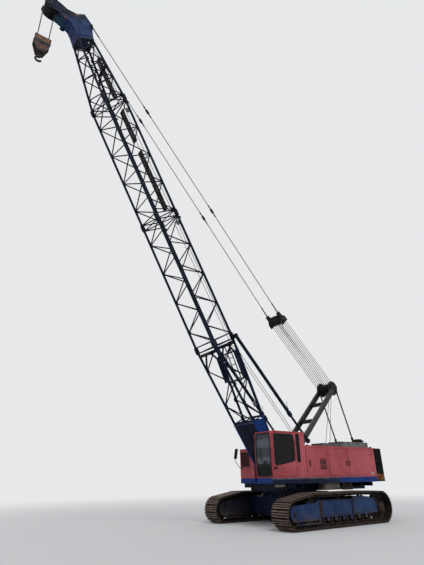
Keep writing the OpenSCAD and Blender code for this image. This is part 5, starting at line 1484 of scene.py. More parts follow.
def add_engine_ribs():
    """Ribs, filters and a pipe on the engine's plain block."""
    engine = Kit()
    for k in range(12):
        engine.plate(rounded(-1.495, 1.80, -0.882, 2.44, 0.05), front_plane(-2.50 + k * 0.12), 0.014)
    for x in (-2.3, -1.4):
        engine.lathe((x, -1.18, 2.477), UP, [(0, 0.11), (0.02, 0.12), (0.19, 0.12), (0.21, 0.09)], 28)
    line = [(-2.3, -1.18, 2.66), (-2.28, -1.19, 2.74), (-2.0, -1.2, 2.77), (-1.66, -1.2, 2.76),
        (-1.42, -1.18, 2.70), (-1.40, -1.18, 2.66)]
    engine.pipe(smooth_path(line, 5), 0.045, 14)
    engine.done("engine_ribs", "engine_grey", "upperworks", 0.003)


def ballast_back(y, z):
    """A point on the counterweight's rounded back."""
    a = asin_safe(y / BALLAST_R)
    r = BALLAST_R - 0.004
    return Vector((BALLAST_X - r * cos(a), r * sin(a), z))


def add_ballast_seams():
    """Joints between the cast slabs."""
    seams = Kit()
    for z in (1.93, 2.36):
        path = [Vector((x, HOUSE_Y + 0.001, z)) for x in (-3.54, -4.06)]
        path += [ballast_back(1.655 - 3.31 * k / 30, z) for k in range(31)]
        path += [Vector((x, -HOUSE_Y - 0.001, z)) for x in (-4.06, -3.54)]
        for a, b in zip(path[:-1], path[1:]):
            if (b - a).length > 0.01:
                seams.bar(a, b, 0.004, 0.014, (b - a).cross(UP))
    seams.done("ballast_seams", "cab_trim", "upperworks")


def add_ballast_fittings():
    """Clamp bolts on the sides, lifting eyes' rims and top bolts, and the rear lamps in their guards."""
    dark, lamps = Kit(), Kit()
    for s in (-1, 1):
        for z in (1.72, 2.15, 2.62):
            dark.lathe((-3.75, s * (HOUSE_Y - 0.002), z), (0, s, 0),
                [(0, 0.055), (0.006, 0.055), (0.010, 0.03)], 24)
            dark.bolt((-3.75, s * (HOUSE_Y + 0.004), z), (0, s, 0), 0.022, 0.012)
        for f in (-1, 1):
            dark.hoop((-4.18, s * 1.05 + f * 0.021, 2.926), (0, 1, 0), 0.040, 0.007, 28, 6)
        for x in (-3.7, -3.95):
            dark.bolt((x, s * 1.35, 2.870), UP, 0.030, 0.022)
        base = ballast_back(s * 1.38, 2.02)
        way = Vector((base.x - BALLAST_X, base.y, 0)).normalized()
        for rise in (0.0, 0.16):
            lens = [(0, 0.052), (0.018, 0.050), (0.024, 0.035), (0.026, 0.01)]
            lamps.lathe(base + UP * rise - way * 0.004, way, lens, 24)
            dark.hoop(base + UP * rise + way * 0.004, way, 0.057, 0.007, 28, 6)
    dark.done("ballast_fittings", "ballast_green", "upperworks")
    lamps.done("rear_lamps", LAMP_RED, "upperworks")


def asin_safe(v):
    """An arcsine that also takes values a little past 1."""
    return atan2(v, sqrt(max(0, 1 - v * v)))


add_deck_trim()
add_deck_bolts()
add_cab_step()
add_underframe()
add_deck_pipes()
add_tool_box()
add_lashings()
add_house_doors()
add_roof_rims()
add_house_creases()
add_house_bolts()
add_grille()
add_roof_boxes()
add_roof_fittings()
add_engine_ribs()
add_ballast_seams()
add_ballast_fittings()


# cab

CAB_OUT, CAB_IN, CAB_FRONT, CAB_BACK, CAB_TOP = 1.664, 0.722, 2.718, 0.891, 3.377


def cut_corners(x0, z0, x1, z1, c):
    """A rectangle with its corners cut off by c."""
    return [(x0 + c, z0), (x1 - c, z0), (x1, z0 + c), (x1, z1 - c), (x1 - c, z1), (x0 + c, z1),
        (x0, z1 - c), (x0, z0 + c)]


def grown(outline, g):
    """A convex outline moved outwards by g."""
    n, out = len(outline), []
    area = sum(outline[i][0] * outline[(i + 1) % n][1] - outline[(i + 1) % n][0] * outline[i][1]
        for i in range(n))
    sign = 1 if area > 0 else -1
    for i in range(n):
        p, q, r = (Vector(outline[j % n]) for j in (i - 1, i, i + 1))
        a, b = (q - p).normalized(), (r - q).normalized()
        na, nb = Vector((a.y, -a.x)) * sign, Vector((b.y, -b.x)) * sign
        m = (na + nb).normalized()
        out.append(tuple(q + m * g / max(0.3, m.dot(na))))
    return out


def softened(outline, r, n=4):
    """An outline with each corner rounded by about r."""
    out, count = [], len(outline)
    for i in range(count):
        p, q, s = (Vector(outline[j % count]) for j in (i - 1, i, i + 1))
        d1, d2 = (p - q), (s - q)
        c = min(r, d1.length * 0.45, d2.length * 0.45)
        a, b = q + d1.normalized() * c, q + d2.normalized() * c
        for k in range(n + 1):
            t = k / n
            out.append(tuple(a * (1 - t) ** 2 + q * 2 * t * (1 - t) + b * t * t))
    return out


CAB_DOOR_PANE = [(1.620, 2.272), (2.458, 2.137), (2.548, 2.157), (2.578, 2.217), (2.578, 3.230),
    (2.528, 3.280), (1.560, 3.280), (1.510, 3.230), (1.510, 2.357), (1.540, 2.307)]


CAB_DOOR_EDGE = rectangle(1.430, 1.751, 2.658, 3.331)


def window_seal(kit, outline, place, wide=0.014, deep=0.010):
    """A rubber seal round a window's outline."""
    inner = softened(grown(outline, -wide), 0.035)
    kit.panel(softened(grown(outline, wide * 0.55), 0.045), place, deep, [inner])


# the windscreen's two panes
SCREEN = cut_corners(0.797, 2.187, 1.589, 3.292, 0.06)
LOWER_SCREEN = cut_corners(0.797, 1.787, 1.589, 2.127, 0.06)


def add_cab_seals():
    """Seals round the windscreen's panes, the near quarter pane, the far side pane and the rear pane."""
    seals = Kit()
    for pane in (SCREEN, LOWER_SCREEN):
        window_seal(seals, pane, front_plane(CAB_FRONT + 0.002))
    window_seal(seals, cut_corners(1.190, 2.257, 1.380, 3.307, 0.03), side_plane(CAB_OUT + 0.001), 0.012)
    window_seal(seals, rectangle(1.391, 2.397, 2.518, 3.157), side_plane(CAB_IN - 0.003), 0.016, 0.008)
    window_seal(seals, rectangle(0.872, 2.547, 1.514, 3.147), front_plane(CAB_BACK - 0.001), 0.016)
    seals.done("cab_seals", "cab_trim", "upperworks", smooth=50)


def add_wiper():
    """The dark surround of the windscreen, the wiper with its motor and arm, and two small catches."""
    dark = Kit()
    surround = softened(cut_corners(0.757, 1.752, 1.629, 3.325, 0.07), 0.04)
    panes = [softened(grown(pane, -0.012), 0.05) for pane in (SCREEN, LOWER_SCREEN)]
    dark.panel(surround, front_plane(CAB_FRONT + 0.001), 0.006, panes)
    dark.lathe((2.716, 1.18, 2.152), FORE, [(0, 0.028), (0.014, 0.026), (0.022, 0.014)], 20)
    dark.bar((2.735, 1.18, 2.152), (2.738, 1.02, 2.62), 0.014, 0.008, (0, 1, 0))
    dark.bar((2.7335, 1.06, 2.36), (2.7335, 0.98, 2.86), 0.010, 0.018, (0, 1, 0))
    dark.bar((2.727, 1.06, 2.36), (2.727, 0.98, 2.86), 0.006, 0.010, (0, 1, 0))
    for y in (1.335, 1.225):
        catch = [(y - 0.020, 2.205), (y + 0.022, 2.205), (y + 0.040, 2.300), (y + 0.016, 2.318),
            (y - 0.010, 2.245)]
        dark.plate(catch, front_plane(CAB_FRONT + 0.002), 0.022)
    dark.done("wiper", "cab_trim", "upperworks")


def add_grab_rail():
    rail = Kit()
    line = ((2.685, 0.012, 2.16), (2.700, 0.004, 2.17), (2.705, 0.002, 2.25), (2.705, 0.002, 2.65),
        (2.700, 0.004, 2.73), (2.685, 0.012, 2.74))
    rail.pipe(smooth_path([(x, CAB_OUT - inset, z) for x, inset, z in line], 4), 0.010, 8)
    rail.done("grab_rail", "cab_trim", "upperworks")


def add_cab_roof():
    """The roof's rounded rim over the walls, a raised panel and a hatch."""
    roof = Kit()
    edge = ((0.893, 3.20), (0.895, 3.330), (0.925, 3.372), (0.99, 3.378), (1.8, 3.378), (2.56, 3.378),
        (2.635, 3.365), (2.690, 3.30), (2.716, 3.235), (2.716, 3.15))
    for y, inward in ((CAB_OUT, -1), (CAB_IN, 1)):
        path = smooth_path([(x, y, z) for x, z in edge], 5)
        roof.pipe([p + Vector((0, inward * 0.012, -0.012)) for p in path], 0.0235, 10)
    for x, z in ((0.905, 3.355), (2.640, 3.360)):
        roof.rod((x, CAB_IN + 0.01, z - 0.006), (x, CAB_OUT - 0.01, z - 0.006), 0.020, 10)
    roof.plate(softened(rectangle(1.02, 0.80, 2.54, 1.58), 0.08), level(CAB_TOP + 0.004), 0.014)
    roof.plate(softened(rectangle(1.30, 0.95, 1.86, 1.44), 0.06), level(CAB_TOP + 0.018), 0.016)
    roof.done("cab_roof", ROOF_RED, "upperworks", smooth=60)


def add_cab_folds():
    """Bolts over the windscreen, corner folds, the sill's bolts and the air intake on the rear wall."""
    red = Kit()
    for y in (0.80, 1.00, 1.19, 1.38, 1.58):
        red.bolt((CAB_FRONT - 0.018, y, 3.330), (0.75, 0, 0.66), 0.007, 0.006)
    for y in (CAB_OUT - 0.004, CAB_IN + 0.004):
        line = ((2.690, 1.735), (2.713, 2.10), (2.713, 2.7), (2.713, 3.22))
        red.pipe(smooth_path([(x, y, z) for x, z in line], 4), 0.009, 8)
    red.rod((0.897, CAB_OUT - 0.006, 1.72), (0.897, CAB_OUT - 0.006, 3.32), 0.009, 8)
    red.plate(rectangle(2.664, 1.72, 2.668, 3.29), side_plane(CAB_OUT + 0.0005), 0.005)
    for k in range(9):
        red.bolt((0.96 + 0.205 * k, CAB_OUT - 0.0005, 1.728), (0, 1, 0), 0.006, 0.005)
    blade = [(0, 0), (-0.014, 0.006), (-0.014, 0.012), (0, 0.028)]
    for k in range(6):
        red.plate(blade, lambda u, v, w, k=k: Vector((CAB_BACK + u, 1.20 + w, 1.95 + 0.05 * k + v)), 0.42)
    red.done("cab_folds", "house_red", "upperworks")


def add_cab_door_seals():
    seal = Kit()
    window_seal(seal, CAB_DOOR_PANE, side_plane(CAB_OUT + 0.001), 0.013)
    edge = softened(CAB_DOOR_EDGE, 0.02, 2)
    seal.pipe([Vector((x, CAB_OUT - 0.014, z)) for x, z in edge], 0.0055, 6, True)
    seal.done("cab_door_seals", "cab_trim", "cab_door", smooth=50)


def add_cab_door_folds():
    fold = Kit()
    crease = softened(grown(CAB_DOOR_EDGE, -0.028), 0.03, 3)
    fold.pipe([Vector((x, CAB_OUT + 0.0005, z)) for x, z in crease], 0.0055, 6, True)
    fold.bar((1.50, CAB_OUT + 0.001, 1.93), (2.40, CAB_OUT + 0.001, 1.93), 0.008, 0.022, (0, 1, 0))
    fold.done("cab_door_folds", "house_red", "cab_door")


def add_cab_door_latch():
    """The door's handle on its plate, and the upright grab bar."""
    latch = Kit()
    latch.plate(softened(rectangle(2.455, 2.000, 2.635, 2.090), 0.02), side_plane(CAB_OUT + 0.002), 0.007)
    grip = softened([(2.475, 2.036), (2.620, 2.036), (2.620, 2.060), (2.475, 2.056)], 0.01)
    latch.plate(grip, side_plane(CAB_OUT + 0.034), 0.010)
    latch.lathe((2.612, CAB_OUT + 0.002, 2.048), LEFT, [(0, 0.016), (0.035, 0.014), (0.038, 0.006)], 18)
    line = ((-0.002, 2.30), (0.028, 2.32), (0.030, 2.40), (0.030, 2.92), (0.028, 3.0), (-0.002, 3.02))
    latch.pipe(smooth_path([(1.478, CAB_OUT + out, z) for out, z in line], 4), 0.009, 8)
    latch.done("cab_door_latch", "cab_trim", "cab_door")


def add_cab_inside():
    seat, metal = Kit(), Kit()
    mid = 1.193
    floor = 1.7425
    # seat: pedestal bellows, cushion, back, head rest and arm rests
    for k in range(6):
        seat.lathe((1.471, mid, floor + 0.02 + k * 0.043), UP,
            [(0, 0.150), (0.014, 0.165), (0.028, 0.165), (0.043, 0.150)], 4, pi / 4)
    cushion = softened([(1.255, mid - 0.25), (1.745, mid - 0.24), (1.745, mid + 0.24),
        (1.255, mid + 0.25)], 0.07)
    for z, g in ((2.035, 0.0), (2.075, 0.012), (2.115, 0.0), (2.140, -0.03)):
        seat.plate(grown(cushion, g - 0.01), level(z), 0.046)
    for k in range(7):
        x = 1.262 - 0.012 * k
        back = softened(rectangle(mid - 0.235 + 0.01 * k, 2.13 + 0.085 * k, mid + 0.235 - 0.01 * k,
            2.225 + 0.085 * k), 0.03)
        seat.plate(back, front_plane(x), 0.110)
    seat.plate(softened(rectangle(mid - 0.13, 2.77, mid + 0.13, 2.92), 0.05), front_plane(1.165), 0.09)
    for s in (-1, 1):
        y = mid + s * 0.33
        # consoles with levers
        seat.plate(softened([(1.415, floor + 0.002), (1.825, floor + 0.002), (1.825, 2.24), (1.62, 2.302),
            (1.415, 2.302)], 0.05), side_plane(y), 0.132)
        metal.rod((1.66, y, 2.29), (1.70, y, 2.43), 0.010, 10)
        metal.sphere((1.702, y, 2.455), 0.030, 14)
        metal.rod((1.74, y + 0.03, 2.26), (1.77, y + 0.03, 2.35), 0.008, 8)
        metal.sphere((1.772, y + 0.03, 2.365), 0.018, 12)
        seat.plate(softened(rectangle(1.28, 2.30, 1.60, 2.345), 0.02), side_plane(y - s * 0.02), 0.07)
    # front console with screen, pedals and a heater pipe
    seat.plate(softened([(2.30, floor + 0.002), (2.475, floor + 0.002), (2.475, 2.28), (2.40, 2.36),
        (2.30, 2.30)], 0.03), side_plane(mid - 0.23), 0.195)
    metal.plate(softened([(2.30, 2.36), (2.33, 2.36), (2.40, 2.55), (2.37, 2.55)], 0.008),
        side_plane(mid - 0.23), 0.26)
    for y in (mid - 0.03, mid + 0.10, mid + 0.23):
        metal.plate([(2.30, floor + 0.06), (2.42, floor + 0.15), (2.415, floor + 0.16),
            (2.295, floor + 0.07)], side_plane(y), 0.08)
        metal.rod((2.40, y, floor + 0.14), (2.46, y, floor + 0.002), 0.008, 8)
    metal.pipe(smooth_path([(2.52, 0.80, 1.80), (2.56, 0.80, 2.20), (2.57, 0.80, 2.24), (2.57, 0.9, 2.16),
        (2.57, 1.45, 2.16), (2.57, 1.55, 2.16)], 4), 0.020, 10)
    thing = seat.done("cab_seat", "cab_trim", "upperworks", 0.006)
    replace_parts(thing, "cab_interior")
    metal.done("cab_controls", "sheave_dark", "upperworks")


def on_mirror(x):
    """Places a flat outline on the leaning mirror, at x along the machine."""
    return lambda y, z, w: Vector((x - 0.05 + w, y + 0.06 + 0.24 * (z - 2.70), z))


def add_mirror():
    """Mirror on a tube arm at the right house's front corner, leaning a little."""
    k, face = Kit(), Kit()
    k.plate(softened(rectangle(-1.794, 2.490, -1.606, 2.910), 0.035), on_mirror(1.902), 0.034)
    face.plate(softened(rectangle(-1.778, 2.506, -1.622, 2.894), 0.028), on_mirror(1.8835), 0.004)
    k.plate(rounded(-1.620, 2.050, -1.550, 2.146, 0.012), front_plane(1.606), 0.012)
    k.pipe(smooth_path([(1.608, -1.585, 2.098), (1.700, -1.620, 2.150), (1.830, -1.650, 2.340),
        (1.882, -1.682, 2.480), (1.882, -1.640, 2.740)], 5), 0.012, 10)
    for z in (2.58, 2.72):
        k.bar((1.852, -1.64 + 0.24 * (z - 2.70), z), (1.894, -1.64 + 0.24 * (z - 2.70), z), 0.046, 0.030,
            LEFT)
    for y in (-1.606, -1.564):
        for z in (2.066, 2.130):
            k.bolt((1.612, y, z), FORE, 0.007, 0.006)
    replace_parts(k.done("mirror_arm", "cab_trim", "upperworks", 0.002), "mirror")
    face.done("mirror_face", MIRROR, "upperworks")


add_cab_seals()
add_wiper()
add_grab_rail()
add_cab_roof()
add_cab_folds()
add_cab_door_seals()
add_cab_door_folds()
add_cab_door_latch()
add_cab_inside()
add_mirror()


# winches, gantry and backstops

def add_drum_ropes():
    """Rope wound on each drum, one ridge to a turn."""
    rope = Kit()
    turns = 37
    pitch = 0.826 / turns
    ridge = ((0.04, -0.003), (0.28, 0.0085), (0.5, 0.011), (0.72, 0.0085), (0.96, -0.003))
    for (x, z), barrel, layers in zip(DRUMS, (0.230, 0.230, 0.200), (2, 3, 2)):
        r = barrel + 0.019 * (layers - 1) + 0.004
        rings = [(-0.413 + pitch * k + f * pitch, r + dr) for k in range(turns) for f, dr in ridge]
        rope.lathe((x, 0, z), (0, 1, 0), rings, 36)
    rope.done("drum_ropes", "rope", "upperworks", smooth=75)


def add_drum_flanges():
    """Each drum's flanges: rims, hubs, ribs and bolts."""
    dark = Kit()
    for (x, z), flange in zip(DRUMS, (0.330, 0.330, 0.300)):
        rim = [(0, flange + 0.002), (0.010, flange + 0.002), (0.012, flange - 0.018),
            (0.002, flange - 0.020)]
        for s in (-1, 1):
            y = s * 0.442
            dark.lathe((x, y, z), (0, s, 0), rim, 44)
            dark.lathe((x, y, z), (0, s, 0), [(0, 0.110), (0.060, 0.100), (0.068, 0.075)], 28)
            for k in range(8):
                a = 2 * pi * k / 8
                c, d, end = cos(a), sin(a), flange - 0.02
                hub = (x + 0.10 * c, y + s * 0.010, z + 0.10 * d)
                dark.bar(hub, (x + end * c, y + s * 0.006, z + end * d), 0.014, 0.020, (-d, 0, c))
            dark.bolt_circle((x, y, z), (0, s, 0), 0.155, 8, 0.010, 0.012, 0.39)
    dark.done("drum_flanges", "sheave_dark", "upperworks")


def add_drum_motors():
    """Planetary gear housings on the outer side of the beams."""
    gears = Kit()
    for x, z in DRUMS:
        gears.lathe((x, -0.586, z), (0, -1, 0), [(0, 0.105), (0.05, 0.105), (0.055, 0.085),
            (0.095, 0.085), (0.10, 0.05)], 28)
        gears.bolt_circle((x, -0.641, z), (0, -1, 0), 0.070, 8, 0.007, 0.008)
    gears.done("drum_motors", "deck_blue", "upperworks")


GANTRY_TOP = Vector((HEAD_X, 0.430, HEAD_Z))
GANTRY_FOOT = Vector((0.728, 0.470, 2.153))


def gantry_leg(s):
    """One leg's upper and lower pin and the directions along and across it."""
    top = Vector((GANTRY_TOP.x, s * GANTRY_TOP.y, GANTRY_TOP.z))
    foot = Vector((GANTRY_FOOT.x, s * GANTRY_FOOT.y, GANTRY_FOOT.z))
    d = (top - foot).normalized()
    return top, foot, d, d.cross(LEFT).normalized()


def rear_link(s):
    """A rear link's lower and upper pin, its direction and its length."""
    low, high = Vector((-4.0, s * 0.5, 2.280)), Vector((HEAD_X, s * 0.525, HEAD_Z))
    return low, high, (high - low).normalized(), (high - low).length


def add_gantry_flanges():
    """Flanges and ribs that make each leg a welded section, gussets, and the climbing rungs."""
    grey = Kit()
    for s in (-1, 1):
        top, foot, d, across = gantry_leg(s)
        inward = Vector((0, -s, 0))
        for f in (-1, 1):
            grey.bar(foot + d * 0.16 + across * f * 0.092, top - d * 0.16 + across * f * 0.092, 0.140,
                0.014, LEFT)
        for k in range(1, 9):
            p = foot + d * (0.5 * k + 0.1)
            grey.bar(p - across * 0.086, p + across * 0.086, 0.122, 0.010, LEFT)
        for f in (0.54, 0.77):
            for h in (-1, 1):
                q = foot + (top - foot) * f + across * h * 0.050
                near = [q + inward * 0.050 - d * 0.14, q + inward * 0.050 + d * 0.14, q + inward * 0.19]
                grey.add(near + [corner + across * 0.012 for corner in near],
                    [(0, 1, 2), (5, 4, 3), (0, 3, 4, 1), (1, 4, 5, 2), (2, 5, 3, 0)])
    for k in range(5):
        p = GANTRY_FOOT + (GANTRY_TOP - GANTRY_FOOT) * (0.10 + 0.075 * k)
        grey.rod((p.x, -p.y + 0.05, p.z), (p.x, p.y - 0.05, p.z), 0.016, 10)
    grey.done("gantry_flanges", "gantry_grey", "upperworks", 0.002)


def add_gantry_eyes():
    """The legs' top eyes, and the rear links' forged eyes, sleeve ends and turnbuckles."""
    dark = Kit()
    for s in (-1, 1):
        top = gantry_leg(s)[0]
        dark.lathe(top + LEFT * s * 0.047, (0, s, 0), [(0, 0.118), (0.006, 0.118), (0.010, 0.07)], 28)
        low, high, e, length = rear_link(s)
        for f in (0.095, 0.32):
            dark.lathe(low + e * length * f - e * 0.02, e, [(0, 0.058), (0.012, 0.066), (0.034, 0.066),
                (0.046, 0.056)], 20)
        for f in (0.155, 0.265):
            dark.lathe(low + e * length * f, e, [(0, 0.070), (0.075, 0.070)], 6)
        dark.bar(low + e * 0.05, low + e * 0.32, 0.052, 0.085, LEFT)
        dark.bar(high - e * 0.30, high - e * 0.08, 0.044, 0.080, LEFT)
    dark.done("gantry_eyes", "sheave_dark", "upperworks")


def add_gantry_pins():
    """Pins at the legs' feet, the top shaft's end nuts, the backstops' lugs and the rear links' feet."""
    pins = Kit()
    for s in (-1, 1):
        top, foot, _, _ = gantry_leg(s)
        pins.lathe(foot + LEFT * s * 0.056, (0, s, 0), [(0, 0.075), (0.012, 0.075), (0.018, 0.045)], 28)
        pins.lathe(foot - LEFT * s * 0.033, (0, -s, 0), [(0, 0.105), (0.008, 0.105), (0.014, 0.05)], 28)
        pins.lathe((top.x, s * 0.560, top.z), (0, s, 0), [(0, 0.066), (0.020, 0.066), (0.028, 0.040)], 28)
        pins.bolt_circle((top.x, s * 0.578, top.z), (0, s, 0), 0.045, 4, 0.008, 0.008)
        pins.lathe((-0.250, s * 0.852, 3.150), (0, s, 0), [(0, 0.058), (0.014, 0.058), (0.020, 0.035)],
            24)
        pins.lathe((-0.250, s * 0.748, 3.150), (0, -s, 0), [(0, 0.052), (0.016, 0.052)], 24)
        pins.lathe(rear_link(s)[0] + LEFT * s * 0.032, (0, s, 0),
            [(0, 0.062), (0.012, 0.062), (0.018, 0.04)], 24)
    pins.done("gantry_pins", "sheave_dark", "upperworks")


SHEAVE_STEP = 0.115
FALLS_ANGLE = atan2(BRIDLE_Z - HEAD_Z, BRIDLE_X - HEAD_X)
FALLS_WAY = Vector((cos(FALLS_ANGLE), 0, sin(FALLS_ANGLE)))
FALLS_UP = Vector((-sin(FALLS_ANGLE), 0, cos(FALLS_ANGLE)))
HEAD = Vector((HEAD_X, 0, HEAD_Z))


def add_gantry_housing():
    """The head's cheeks with edge beads, ribs and bolts, their tie nuts, and the rope guards."""
    dark = Kit()
    for s in (-1, 1):
        angles = [pi * j / 3 - FALLS_ANGLE for j in range(6)]
        ring = [(0.362 * cos(a), 0.362 * sin(a)) for a in angles]
        for j in range(6):
            a, b = ring[j], ring[(j + 1) % 6]
            dark.bar(HEAD + Vector((a[0], s * 0.357, -a[1])), HEAD + Vector((b[0], s * 0.357, -b[1])),
                0.014, 0.026, LEFT)
            m = ((a[0] + b[0]) / 2 * 0.86, (a[1] + b[1]) / 2 * 0.86)
            dark.bolt(HEAD + Vector((m[0], s * 0.3545, -m[1])), (0, s, 0), 0.016, 0.014)
            rib = [HEAD + Vector((a[0] * f, s * 0.360, -a[1] * f)) for f in (0.28, 0.93)]
            dark.bar(*rib, 0.012, 0.014, LEFT)
    for a in (90, 180, 270):
        q = radians(a) + FALLS_ANGLE
        p = HEAD + Vector((0.300 * cos(q), 0, 0.300 * sin(q)))
        for s in (-1, 1):
            dark.lathe(p + LEFT * s * 0.3555, (0, s, 0), [(0, 0.030), (0.016, 0.030), (0.020, 0.018)], 6)
    for a in (20, 70, 120, 230, 290, 335):
        q = radians(a)
        ends = [HEAD + Vector((0.262 * cos(q), y, 0.262 * sin(q))) for y in (-0.336, 0.336)]
        dark.rod(*ends, 0.008, 8)
    dark.done("gantry_housing", "sheave_dark", "upperworks", 0.0015)


def add_gantry_sheaves():
    """Grooved rims, hubs and web bosses of the head's sheaves."""
    steel = Kit()
    groove = [(0, 0.236), (0.004, 0.244), (0.012, 0.244), (0.026, 0.2355), (0.036, 0.2355),
        (0.050, 0.244), (0.058, 0.244), (0.062, 0.236)]
    for k in range(6):
        y = (k - 2.5) * SHEAVE_STEP
        steel.lathe(HEAD + LEFT * (y - 0.031), LEFT, groove, 44)
        for s in (-1, 1):
            steel.lathe(HEAD + LEFT * (y + s * 0.016), (0, s, 0), [(0, 0.100), (0.018, 0.085)], 24)
            for j in range(6):
                a = pi * j / 3 + 0.2 * k
                boss = HEAD + Vector((0.155 * cos(a), y + s * 0.0165, 0.155 * sin(a)))
                steel.lathe(boss, (0, s, 0), [(0, 0.034), (0.004, 0.030)], 14)
    steel.done("gantry_sheave_rims", "sheave_dark", "upperworks")


def backstop(s):
    """One backstop's lower pin, upper eye and direction."""
    pin = Vector((-0.250, s * 0.800, 3.150))
    eye = boom(5.906, s * 0.800, 0.6235)
    return pin, eye, (eye - pin).normalized()


def add_backstop_eyes():
    rods = Kit()
    for s in (-1, 1):
        pin, _, d = backstop(s)
        rods.lathe(pin + d * 0.09, d, [(0, 0.075), (0.05, 0.062), (0.09, 0.052)], 20)
        for f in (-1, 1):
            rods.lathe(pin + LEFT * f * 0.0455, (0, f, 0), [(0, 0.080), (0.004, 0.078)], 24)
    rods.done("backstop_eyes", "sheave_dark", "backstop_rods")


def add_backstop_fittings():
    """Each tube's gland with bolts and a wiper ring, collars, top eye, and a switch with a bent lever."""
    tubes = Kit()
    for s in (-1, 1):
        pin, eye, d = backstop(s)
        start = pin + d * ((eye - pin).length - 4.250)
        tubes.lathe(start + d * 0.002, -d, [(0, 0.090), (0.012, 0.088), (0.016, 0.055)], 28)
        tubes.bolt_circle(start - d * 0.012, -d, 0.074, 8, 0.007, 0.009)
        tubes.lathe(start + d * 0.150, d, [(0, 0.096), (0.014, 0.100), (0.028, 0.096)], 28)
        for f in (1.1, 2.3, 3.3):
            tubes.lathe(start + d * f, d, [(0, 0.073), (0.010, 0.079), (0.050, 0.079), (0.060, 0.073)],
                24)
        tubes.lathe(eye - d * 0.26, d, [(0, 0.074), (0.06, 0.074), (0.16, 0.060)], 20)
        for f in (-1, 1):
            tubes.lathe(eye + LEFT * f * 0.0405, (0, f, 0), [(0, 0.080), (0.004, 0.078)], 24)
        up = d.cross(LEFT).normalized() * (1 if d.cross(LEFT).z > 0 else -1)
        base = start + d * 0.32 + up * 0.073
        tubes.bar(base - d * 0.05, base + d * 0.07, 0.07, 0.05, LEFT)
        lever = [base + d * u + up * v for u, v in ((0.05, 0.02), (0.10, 0.09), (0.20, 0.13),
            (0.24, 0.20))]
        tubes.pipe(smooth_path(lever, 4), 0.010, 8)
    tubes.done("backstop_fittings", "boom_navy", "backstop_tubes")


add_drum_ropes()
add_drum_flanges()
add_drum_motors()
add_gantry_flanges()
add_gantry_eyes()
add_gantry_pins()
add_gantry_housing()
add_gantry_sheaves()
add_backstop_eyes()
add_backstop_fittings()


# boom

HALF_W, HALF_D = 0.6305, 0.5535
JOINTS = (5.966, 11.966, 17.966)
# nose sheaves, upper sheaves and stay pin: distance along the boom and towards its back
NOSE = (23.220, -0.835)
CROWN = (22.686, 0.480)
STAY = (22.200, 0.760)
# the lug at the head's front, the edges of the head's plates and the stiffeners across them
LUG = (22.426, -0.430)
HEAD_FRONT = [(21.45, -0.285), (21.93, -0.240), (22.23, -0.250), (22.47, -0.405), (22.79, -0.665),
    (22.90, -0.910), (23.10, -1.070), (23.39, -1.085), (23.60, -0.925), (23.64, -0.655), (23.37, -0.440)]
HEAD_BACK = [(23.36, -0.430), (22.98, -0.135), (22.805, 0.265), (22.870, 0.690), (22.55, 0.778),
    (22.27, 0.846), (22.14, 0.846), (21.98, 0.730), (21.44, 0.548)]
HEAD_RIBS = (((21.50, -0.10), (22.62, 0.30)), ((21.90, 0.62), (22.56, 0.10)),
    ((22.62, -0.10), (23.05, -0.62)), ((21.60, -0.26), (21.60, 0.50)))
FOOT_SIDE = 0.6505
# guide rollers: distance along the boom, distance towards its back, and both ends across it
GUIDE_ROLLERS = ((5.691, 0.5268 + 0.166, -0.44, 0.44), (5.691, -(0.5268 + 0.175), -0.36, 0.36),
    (19.936, 0.616, -0.30, 0.30))


def half_depth(s):
    """Half the depth of the tapered foot section at s along the boom."""
    return 0.265 + (HALF_D - 0.265) * (s - 2.4) / 3.566


GUIDE_DEPTH = half_depth(5.636)


def top_at(s):
    """Half width, front and back of the tapered top section."""
    f = (s - JOINTS[2]) / 3.45
    return HALF_W + (0.290 - HALF_W) * f, -HALF_D + (-0.240 + HALF_D) * f, HALF_D + (0.510 - HALF_D) * f


def add_joint_lugs():
    """Lugs and stiffening collars where the sections join, and the pendant lugs on the rear chords."""
    lugs = Kit()
    shape = ((-0.17, -0.050), (-0.09, -0.072), (0.09, -0.072), (0.17, -0.050), (0.17, 0.050),
        (0.09, 0.072), (-0.09, 0.072), (-0.17, 0.050))
    for s0 in JOINTS:
        for y in (-HALF_W, HALF_W):
            for t in (-HALF_D, HALF_D):
                outline = softened([(s0 + ds, t + dt) for ds, dt in shape], 0.03, 2)
                for w in (-0.050, 0.050):
                    lugs.plate(outline, on_boom(y + w), 0.018)
                for ds in (-0.135, 0.135):
                    lugs.lathe(boom(s0 + ds - 0.012, y, t), ALONG,
                        [(0, 0.057), (0.004, 0.064), (0.020, 0.064), (0.024, 0.057)], 20)
        if s0 > JOINTS[0]:
            pendant = [(s0 - 0.34, HALF_D + 0.03), (s0 - 0.18, HALF_D + 0.03),
                (s0 - 0.20, HALF_D + 0.135), (s0 - 0.30, HALF_D + 0.135)]
            for y in (-HALF_W, HALF_W):
                lugs.plate(softened(pendant, 0.04, 3), on_boom(y), 0.030)
    lugs.done("boom_joint_lugs", "boom_navy", "boom", 0.002)


